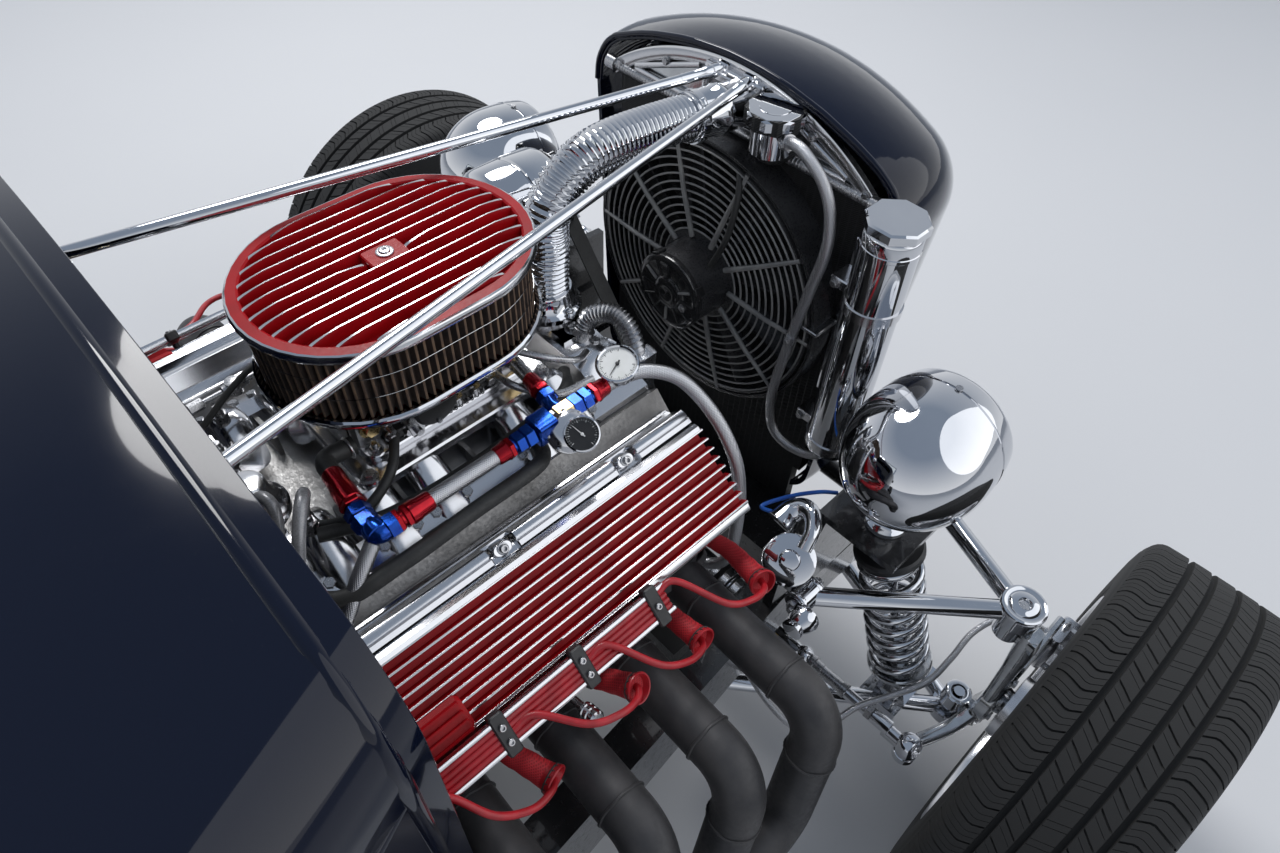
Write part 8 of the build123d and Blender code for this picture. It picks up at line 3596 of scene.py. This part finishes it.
@dataclass
class Seats:
    """Bench seat: padded cushion and back in sewn upright rolls, swollen by a cloth simulation."""

    half: float = 470.0
    voxel: float = 0.006
    roll: float = 58.0

    def build(self) -> None:
        """Builds both pads and their piping."""
        cushion = [(1446, 512), (1786, 512), (1788, 626), (1470, 626), (1447, 600)]
        back = [(1756, 652), (1880, 652), (1880, 918), (1812, 918), (1800, 906)]
        self.pad("seat_pad_lower", cushion, "seat_cushion", (0, 0, 1), 24.0)
        self.pad("seat_pad_upper", back, "seat_back", (0, -1, 0.3), 24.0)

    def pad(
        self, name: str, side: Sequence[tuple[float, float]], node: str, face: Colour, cap: float
    ) -> None:
        """Builds one pad from its side outline.

        Args:
            name: The piece's name.
            side: Station and height of its corners.
            node: The CAD node that it stands for.
            face: The way its sat-on face looks.
            cap: The furthest that a point may swell, in millimetres.
        """
        mesh = bmesh.new()
        half = self.half - 12
        rings = [[mesh.verts.new(place(x, s, z)) for s, z in side] for x in (-half, half)]
        count = len(side)
        for i in range(count):
            mesh.faces.new((rings[0][i], rings[0][(i + 1) % count], rings[1][(i + 1) % count], rings[1][i]))
        mesh.faces.new(tuple(reversed(rings[0])))
        mesh.faces.new(tuple(rings[1]))
        bmesh.ops.recalc_face_normals(mesh, faces=mesh.faces)
        bmesh.ops.bevel(mesh, geom=list(mesh.edges), offset=0.016, segments=3, affect="EDGES")
        data = bpy.data.meshes.new(name)
        mesh.to_mesh(data)
        mesh.free()
        obj = bpy.data.objects.new(name, data)
        bpy.context.scene.collection.objects.link(obj)
        self.bake(obj, "REMESH", mode="VOXEL", voxel_size=self.voxel)
        self.swell(obj, cap * MM)
        self.channels(obj, Vector(face).normalized())
        obj.data.materials.append(LEATHER.build())
        obj.data.polygons.foreach_set("use_smooth", [True] * len(obj.data.polygons))
        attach(obj, CHASSIS_BODY)
        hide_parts(node)
        self.piping(obj, name, side)

    def bake(self, obj: bpy.types.Object, kind: str, **settings: object) -> None:
        """Runs one modifier and keeps its result as the object's mesh.

        Args:
            obj: The pad.
            kind: Blender's name for the modifier.
            settings: The modifier's own settings.
        """
        modifier = obj.modifiers.new(kind.lower(), kind)
        for key, value in settings.items():
            setattr(modifier, key, value)
        graph = bpy.context.evaluated_depsgraph_get()
        made = bpy.data.meshes.new_from_object(obj.evaluated_get(graph))
        obj.modifiers.clear()
        obj.data = made

    def swell(self, obj: bpy.types.Object, cap: float) -> None:
        """Blows the pad up a little as filled cloth, and keeps each point within a cap.

        Args:
            obj: The pad.
            cap: The farthest that a point may move, in metres.
        """
        start = [v.co.copy() for v in obj.data.vertices]
        cloth = obj.modifiers.new("filling", "CLOTH")
        cloth.settings.quality = 4
        cloth.settings.use_pressure = True
        cloth.settings.uniform_pressure_force = 4.0
        cloth.settings.effector_weights.gravity = 0.0
        scene = bpy.context.scene
        for step in range(1, 21):
            scene.frame_set(step)
        graph = bpy.context.evaluated_depsgraph_get()
        swollen = obj.evaluated_get(graph).data
        moved = [v.co.copy() for v in swollen.vertices]
        obj.modifiers.clear()
        for vertex, old, new in zip(obj.data.vertices, start, moved):
            shift = new - old
            if shift.length > cap:
                shift = shift.normalized() * cap
            vertex.co = old + shift
        scene.frame_set(1)

    def channels(self, obj: bpy.types.Object, face: Vector) -> None:
        """Draws the sewn channels in along the sat-on face, and the border seam round it.

        Args:
            obj: The pad.
            face: The way its sat-on face looks.
        """
        rolls = int(self.half * 2 / self.roll)
        pitch = 2 * (self.half - 40) / rolls * MM
        for vertex, normal in [(v, v.normal.copy()) for v in obj.data.vertices]:
            facing = max(0.0, normal.dot(face))
            if facing <= 0.1:
                continue
            x = vertex.co.x
            inside = abs(x) < (self.half - 38) * MM
            nearest = abs((x / pitch) - round(x / pitch)) * pitch
            if inside:
                depth = 0.0075 * math.exp(-((nearest / 0.0055) ** 2))
            else:
                depth = 0.006 * math.exp(-(((abs(x) - 0.432) / 0.006) ** 2))
            vertex.co -= normal * depth * min(1.0, facing * 1.6)

    def piping(self, obj: bpy.types.Object, name: str, side: Sequence[tuple[float, float]]) -> None:
        """Adds the piping round both ends of the pad, laid on its surface.

        Args:
            obj: The pad.
            name: The pad's name.
            side: The pad's outline, as pairs of station and height.
        """
        tree = BVHTree.FromPolygons(
            [v.co.copy() for v in obj.data.vertices], [tuple(p.vertices) for p in obj.data.polygons]
        )
        middle = sum((place(0, s, z) for s, z in side), Vector()) / len(side)
        shape = Shape(name + "_piping")
        for end in (-1, 1):
            x = end * (self.half - 26) * MM
            path = []
            for k in range(60):
                angle = 2 * math.pi * k / 60
                way = Vector((0, math.cos(angle), math.sin(angle)))
                hit, _, _, _ = tree.ray_cast(Vector((x, middle.y, middle.z)) + way * 0.6, -way)
                if hit is not None:
                    path.append(hit + way * 0.0006)
            shape.tube([*path, path[0]], 0.0038, 10, 0, caps=False)
        shape.build(CHASSIS_BODY, (LEATHER,), Slot.LEATHER)


@dataclass
class Cabin:
    """Dash gauges, steering wheel, column trim, pedals and the shifter's boot."""

    column_low: tuple[float, float, float] = (300.0, 812.0, 640.0)
    column_high: tuple[float, float, float] = (300.0, 1330.0, 860.0)

    def build(self) -> None:
        """Builds the cabin's fittings."""
        self.dash()
        self.wheel()
        self.pedals()
        self.shifter()

    def dash(self) -> None:
        """Adds the engine-turned panel with its dials and knobs, and the column's shroud, stalk and clamp."""
        shape = Shape("dash_panel")
        turn = frame_on(place(0, 1074, 942), Vector((0, 1, 0)), Vector((0, 0, 1)))
        shape.prism([(y, x) for x, y in oval_outline(430, 112, 14)], turn, 0, 4.5, 0, 1.2)
        for x, radius, needle in (
            (-52, 43, 2.2), (52, 43, 0.9), (-128, 26, 1.7), (128, 26, 1.2), (-182, 26, 2.6), (182, 26, 0.6)
        ):
            place_at = turn @ Matrix.Translation((x * MM, 0, 0.0085))
            dial(shape, place_at, radius, 1, 2, 3, 11 if radius > 30 else 7, needle)
        for x in (-90, 90):
            shape.lathe(
                ((4, 5), (8, 5), (9, 8), (20, 8.6), (22, 7), (22.5, 2)),
                turn @ Matrix.Translation((x * MM, -0.036, 0)), 26, 2
            )
        for x in (-206, 206):
            shape.bolt(turn @ Vector((x * MM, 0, 0.0044)), Vector((0, 1, 0)), 3, 2.4, 2)
        low, high = Vector(place(*self.column_low)), Vector(place(*self.column_high))
        axis = (high - low).normalized()
        column = frame_on(high, axis)
        shape.lathe(
            ((-120, 19.4), (-119, 23), (-96, 24), (-40, 24), (-20, 27), (-8, 27), (-4, 22), (-2, 19.4)),
            column, 44, 2
        )
        stalk = [
            column @ Vector((-0.02, 0, -0.03)), column @ Vector((-0.08, 0.004, -0.026)),
            column @ Vector((-0.15, 0.01, -0.02))
        ]
        shape.tube(stalk, [0.0042, 0.0038, 0.0036], 12, 2)
        shape.lathe(
            ((0, 3), (1, 7), (10, 8), (16, 5), (17, 1)), frame_on(stalk[-1], stalk[-1] - stalk[0]), 22, 3
        )
        clamp = frame_on(place(300, 1084, 744), axis)
        shape.lathe(((-10, 19.4), (-9, 26), (9, 26), (10, 19.4)), clamp, 40, 2)
        shape.build(CHASSIS_BODY, (ENGINE_TURNED, DIAL, CHROME, INK), Slot.ALLOY)

    def wheel(self) -> None:
        """Builds the banjo-style steering wheel: gripped rim, sprung spokes and hub."""
        shape = Shape("steering_wheel_rim")
        low, high = place(*self.column_low), place(*self.column_high)
        axis = (high - low).normalized()
        turn = frame_on(high + axis * 0.018, axis, Vector((0, 0, 1)))
        ring = []
        for k in range(180):
            angle = 2 * math.pi * k / 180
            ring.append(turn @ Vector((0.175 * math.cos(angle), 0.175 * math.sin(angle), 0)))
        radii = [(12.6 - (0.9 if k % 9 == 0 else 0.0)) * MM for k in range(180)]
        shape.tube([*ring, ring[0]], [*radii, radii[0]], 18, 0, caps=False)
        for k in range(3):
            for offset in (-9, -3, 3, 9):
                angle = math.pi / 2 + 2 * math.pi * k / 3
                side = Vector((-math.sin(angle), math.cos(angle), 0))
                out = Vector((math.cos(angle), math.sin(angle), 0))
                start, end = out * 0.024 + side * offset * 0.0007, out * 0.166 + side * offset * MM
                shape.tube(
                    [turn @ start, turn @ (start.lerp(end, 0.5) + Vector((0, 0, 0.002))), turn @ end],
                    0.0023, 10, 1
                )
        shape.lathe(
            ((-10, 12), (-9.5, 28), (-6, 31), (6, 31), (9, 28), (11, 22), (13, 20), (15, 12), (16, 3)),
            turn, 48, 1
        )
        for k in range(6):
            angle = math.pi / 3 * k
            shape.bolt(
                turn @ Vector((0.0255 * math.cos(angle), 0.0255 * math.sin(angle), 0.0088)), axis, 2.6, 2.4,
                2
            )
        shape.build("steering_wheel_body", (GRIP, CHROME, STEEL), Slot.RUBBER, ("steering_wheel",))

    def pedals(self) -> None:
        """Adds three pedals on arms from the firewall, with ribbed rubber pads."""
        shape = Shape("pedals")
        for x, pad_w, pad_h in ((232, 56, 60), (318, 66, 52), (392, 40, 120)):
            arm = ((x, 812, 640), (x, 850, 632), (x, 884, 596), (x, 904, 540), (x, 918, 500))
            shape.tube(fine_curve(arm, 5), 0.006, 12, 0)
            turn = frame_on(place(x, 924, 488), Vector((0, 0.86, 0.5)), Vector((0, 0, 1)))
            shape.prism(box_outline(pad_w, pad_h, 8), turn, -3, 3, 0, 1)
            shape.prism(box_outline(pad_w - 6, pad_h - 6, 6), turn, 3, 7, 1, 1.2)
            for k in range(int(pad_h / 10) - 1):
                rib = turn @ Matrix.Translation((0, (-pad_h / 2 + 12 + 10 * k) * MM, 0.007))
                shape.prism(box_outline(pad_w - 14, 3.4, 1.2, 2), rib, 0, 1.8, 1, 0.5)
            shape.block(place(x - 18, 808, 622), place(x + 18, 815, 660), 0, 2)
        shape.build(CHASSIS_BODY, (ALLOY, RUBBER), Slot.ALLOY)

    def shifter(self) -> None:
        """Adds the pleated boot with its ring, and a turned knob over the lever's end."""
        shape = Shape("shifter_boot")
        base = Matrix.Translation(place(0, 1210, 630))
        shape.lathe(((0, 62), (3, 63), (5, 60), (5.5, 52)), base, 48, 0)
        folds = [(5.4, 54)]
        for k in range(6):
            folds += [(9 + 8 * k, 50 - 7 * k), (13 + 8 * k, 45 - 7.2 * k)]
        shape.lathe([*folds, (60, 9), (66, 7.4)], base, 40, 1)
        for k in range(6):
            angle = math.pi / 3 * k
            shape.bolt(
                base @ Vector((0.057 * math.cos(angle), 0.057 * math.sin(angle), 0.0044)),
                Vector((0, 0, 1)), 3, 2.4, 0
            )
        knob = [
            (23.2 * -math.cos(math.pi * k / 18) * 0.99, 23.2 * math.sin(math.pi * k / 18))
            for k in range(1, 18)
        ]
        shape.lathe(knob, Matrix.Translation(place(0, 1280, 815)), 40, 2)
        shape.lathe(
            ((-27, 8), (-26, 10), (-20, 10.6), (-18, 9)), Matrix.Translation(place(0, 1280, 815)), 24, 0
        )
        shape.build(CHASSIS_BODY, (CHROME, LEATHER, IVORY), Slot.CHROME)


@dataclass
class Rear:
    """Tail lamps, fuel tank with straps and filler, exhaust tips, axle cover and spring details."""

    tail: float = 3070.0
    tank_station: float = 3020.0
    tank_height: float = 350.0

    def build(self) -> None:
        """Builds what shows from behind and below."""
        self.lamps()
        self.tank()
        self.tips()
        self.axle()

    def lamps(self) -> None:
        """Builds the round tail lamps: polished bezels and ringed red lenses."""
        shape = Shape("tail_lamp_pair")
        turn = frame_on(place(-370, self.tail, 520), Vector((0, 1, 0)))
        shape.lathe(((0.2, 36), (0.4, 42), (6, 42), (10, 41), (12.5, 38), (12.8, 36), (10, 35)), turn, 56, 0)
        lens = [(9.5, 35.4), (11.5, 35)]
        for k in range(8):
            lens += [(12.2 + 0.32 * k, 33.5 - 4 * k), (13.0 + 0.32 * k, 32 - 4 * k)]
        shape.lathe([*lens, (16.2, 1)], turn, 48, 1)
        shape.mirrored()
        shape.build(CHASSIS_BODY, (CHROME, RED_GLASS), Slot.LENS, ("tail_lamps",))

    def tank(self) -> None:
        """Builds the ribbed tank with its seam flange, straps and filler."""
        shape = Shape("ribbed_fuel_tank")
        outline = box_outline(134, 97, 22, 6)
        rings = []
        for x, size in (
            (-378, 0.7), (-376, 0.86), (-370, 0.95), (-360, 0.985), (-350, 1.0), (350, 1.0), (360, 0.985),
            (370, 0.95), (376, 0.86), (378, 0.7)
        ):
            rings.append(self.tank_ring(outline, x, size))
        shape.rings(rings, 0)
        flange = box_outline(135.5, 99.5, 22, 6)
        for x in (-362, 362):
            rows = [
                self.tank_ring(flange, x + d, size)
                for d, size in ((-1.5, 0.97), (-1.5, 1.0), (1.5, 1.0), (1.5, 0.97))
            ]
            shape.rings(rows, 0)
        for k in range(5):
            x = -240 + 120 * k
            rows = [
                self.tank_ring(outline, x + d, size)
                for d, size in ((-9, 0.99), (-4, 1.012), (4, 1.012), (9, 0.99))
            ]
            shape.rings(rows, 0)
        for x in (-290, 290):
            rows = [
                self.tank_ring(outline, x + d, size)
                for d, size in ((-16, 0.995), (-16, 1.024), (16, 1.024), (16, 0.995))
            ]
            shape.rings(rows, 1)
            shape.bolt(place(x, 2956, 340), Vector((0, -1, 0)), 6, 5, 2)
        shape.lathe(
            ((0, 30), (3, 31), (6, 28), (7, 20), (8, 4)), Matrix.Translation(place(200, 3010, 396)), 36, 1
        )
        shape.build(CHASSIS_BODY, (CHASSIS, CHROME, STEEL), Slot.STEEL, ("fuel_tank",))

    def tank_ring(self, outline: Sequence[tuple[float, float]], x: float, size: float) -> list[Vector]:
        """The outline at this size round the tank's middle, at x across the car."""
        return [place(x, self.tank_station + a * size, self.tank_height + b * size) for a, b in outline]

    def tips(self) -> None:
        """Adds rolled chrome tips on the exhaust pipes, hangers and clamps."""
        shape = Shape("exhaust_tips")
        turn = frame_on(place(-300, 2900, 225), Vector((0, 1, 0)))
        shape.lathe(
            (
                (0, 30.4), (1, 33.5), (6, 34.2), (104, 34.2), (107, 33.4), (108, 31.4), (106, 29.6),
                (60, 29.2), (58, 26), (30, 25)
            ),
            turn, 52, 0
        )
        for station, x, up, radius in (
            (1275, -330, 225, 31), (1725, -330, 225, 31), (2250, -330, 225, 31), (1012, -530, 322, 31)
        ):
            clamp = frame_on(place(x, station, up), Vector((0, 1, 0)))
            shape.lathe(((-12, radius), (-11, radius + 2.4), (11, radius + 2.4), (12, radius)), clamp, 40, 1)
            shape.bolt(place(x, station, up + radius + 1), Vector((0, 0, 1)), 5.5, 8, 1)
        for station in (1290, 1710):
            can = frame_on(place(-330, station, 225), Vector((0, 1, 0)))
            shape.lathe(((-6, 50), (-6, 63.4), (6, 63.4), (6, 50)), can, 60, 1)
        shape.mirrored()
        shape.build(CHASSIS_BODY, (CHROME, STEEL), Slot.STEEL)

    def axle(self) -> None:
        """Adds the differential's bolted cover and the spring coils of the rear units."""
        shape = Shape("axle_details")
        centre = place(0, 2690, 370)
        turn = frame_on(centre, Vector((0, 1, 0)), Vector((0, 0, 1)))
        shape.lathe(
            (
                (96, 88), (97, 108), (100, 110), (106, 110), (108, 104), (118, 84), (127, 50), (130, 20),
                (130.5, 3)
            ),
            turn, 60, 0
        )
        for k in range(10):
            angle = 2 * math.pi * k / 10
            shape.bolt(
                turn @ Vector((0.103 * math.cos(angle), 0.103 * math.sin(angle), 0.1055)),
                Vector((0, 1, 0)), 6, 5, 1
            )
        for k in range(7):
            shape.prism(
                [(-60 + 2 * abs(k - 3), -1.6), (60 - 2 * abs(k - 3), -1.6), (60, 1.6), (-60, 1.6)],
                turn @ Matrix.Translation((0, (-36 + 12 * k) * MM, 0.108)), 0, 18 - 2.2 * abs(k - 3), 0, 0.6
            )
        for side in (-1, 1):
            low, high = place(side * 300, 2784, 396), place(side * 300, 2808, 512)
            coil_turn = frame_on(low, high - low)
            wire = []
            for k in range(141):
                angle = 2 * math.pi * 5 * k / 140
                wire.append(
                    coil_turn @ Vector(
                        (0.0385 * math.cos(angle), 0.0385 * math.sin(angle), 0.112 * k / 140)
                    )
                )
            shape.tube(wire, 0.0058, 12, 2)
            shape.lathe(((-6, 20), (-5, 46), (0, 47), (2, 44)), coil_turn, 40, 2)
            shape.lathe(((112, 44), (114, 47), (119, 46), (121, 22)), coil_turn, 40, 2)
        shape.build(CHASSIS_BODY, (ALLOY, STEEL, CHROME), Slot.CHASSIS)


SUBASSEMBLIES: tuple[type, ...] = (
    AirCleaner,
    ValveCover,
    CoolantHose,
    StayRods,
    FuelSystem,
    Ignition,
    HeaderTrim,
    Carburettor,
    IntakeBody,
    IntakeTrim,
    FrontDrive,
    Nose,
    Headlamps,
    FrontSuspension,
    Uprights,
    SteeringTrim,
    RunningGear,
    CowlSkin,
    Coachwork,
    Cabin,
    Rear,
    Seats,
)


def main() -> None:
    """Sets the studio, dresses the CAD nodes, then builds each sub-assembly in order."""
    logging.basicConfig(level=logging.INFO, format="%(name)s: %(message)s")
    bpy.context.scene.view_settings.view_transform = "Standard"
    Studio().build()
    dress_all()
    for made in SUBASSEMBLIES:
        before = set(bpy.data.objects)
        made().build()
        for obj in sorted(set(bpy.data.objects) - before, key=lambda made_object: made_object.name):
            if obj.type == "MESH":
                LOG.info("%s: %s, %d faces", made.__name__, obj.name, len(obj.data.polygons))


if __name__ == "__main__":
    main()
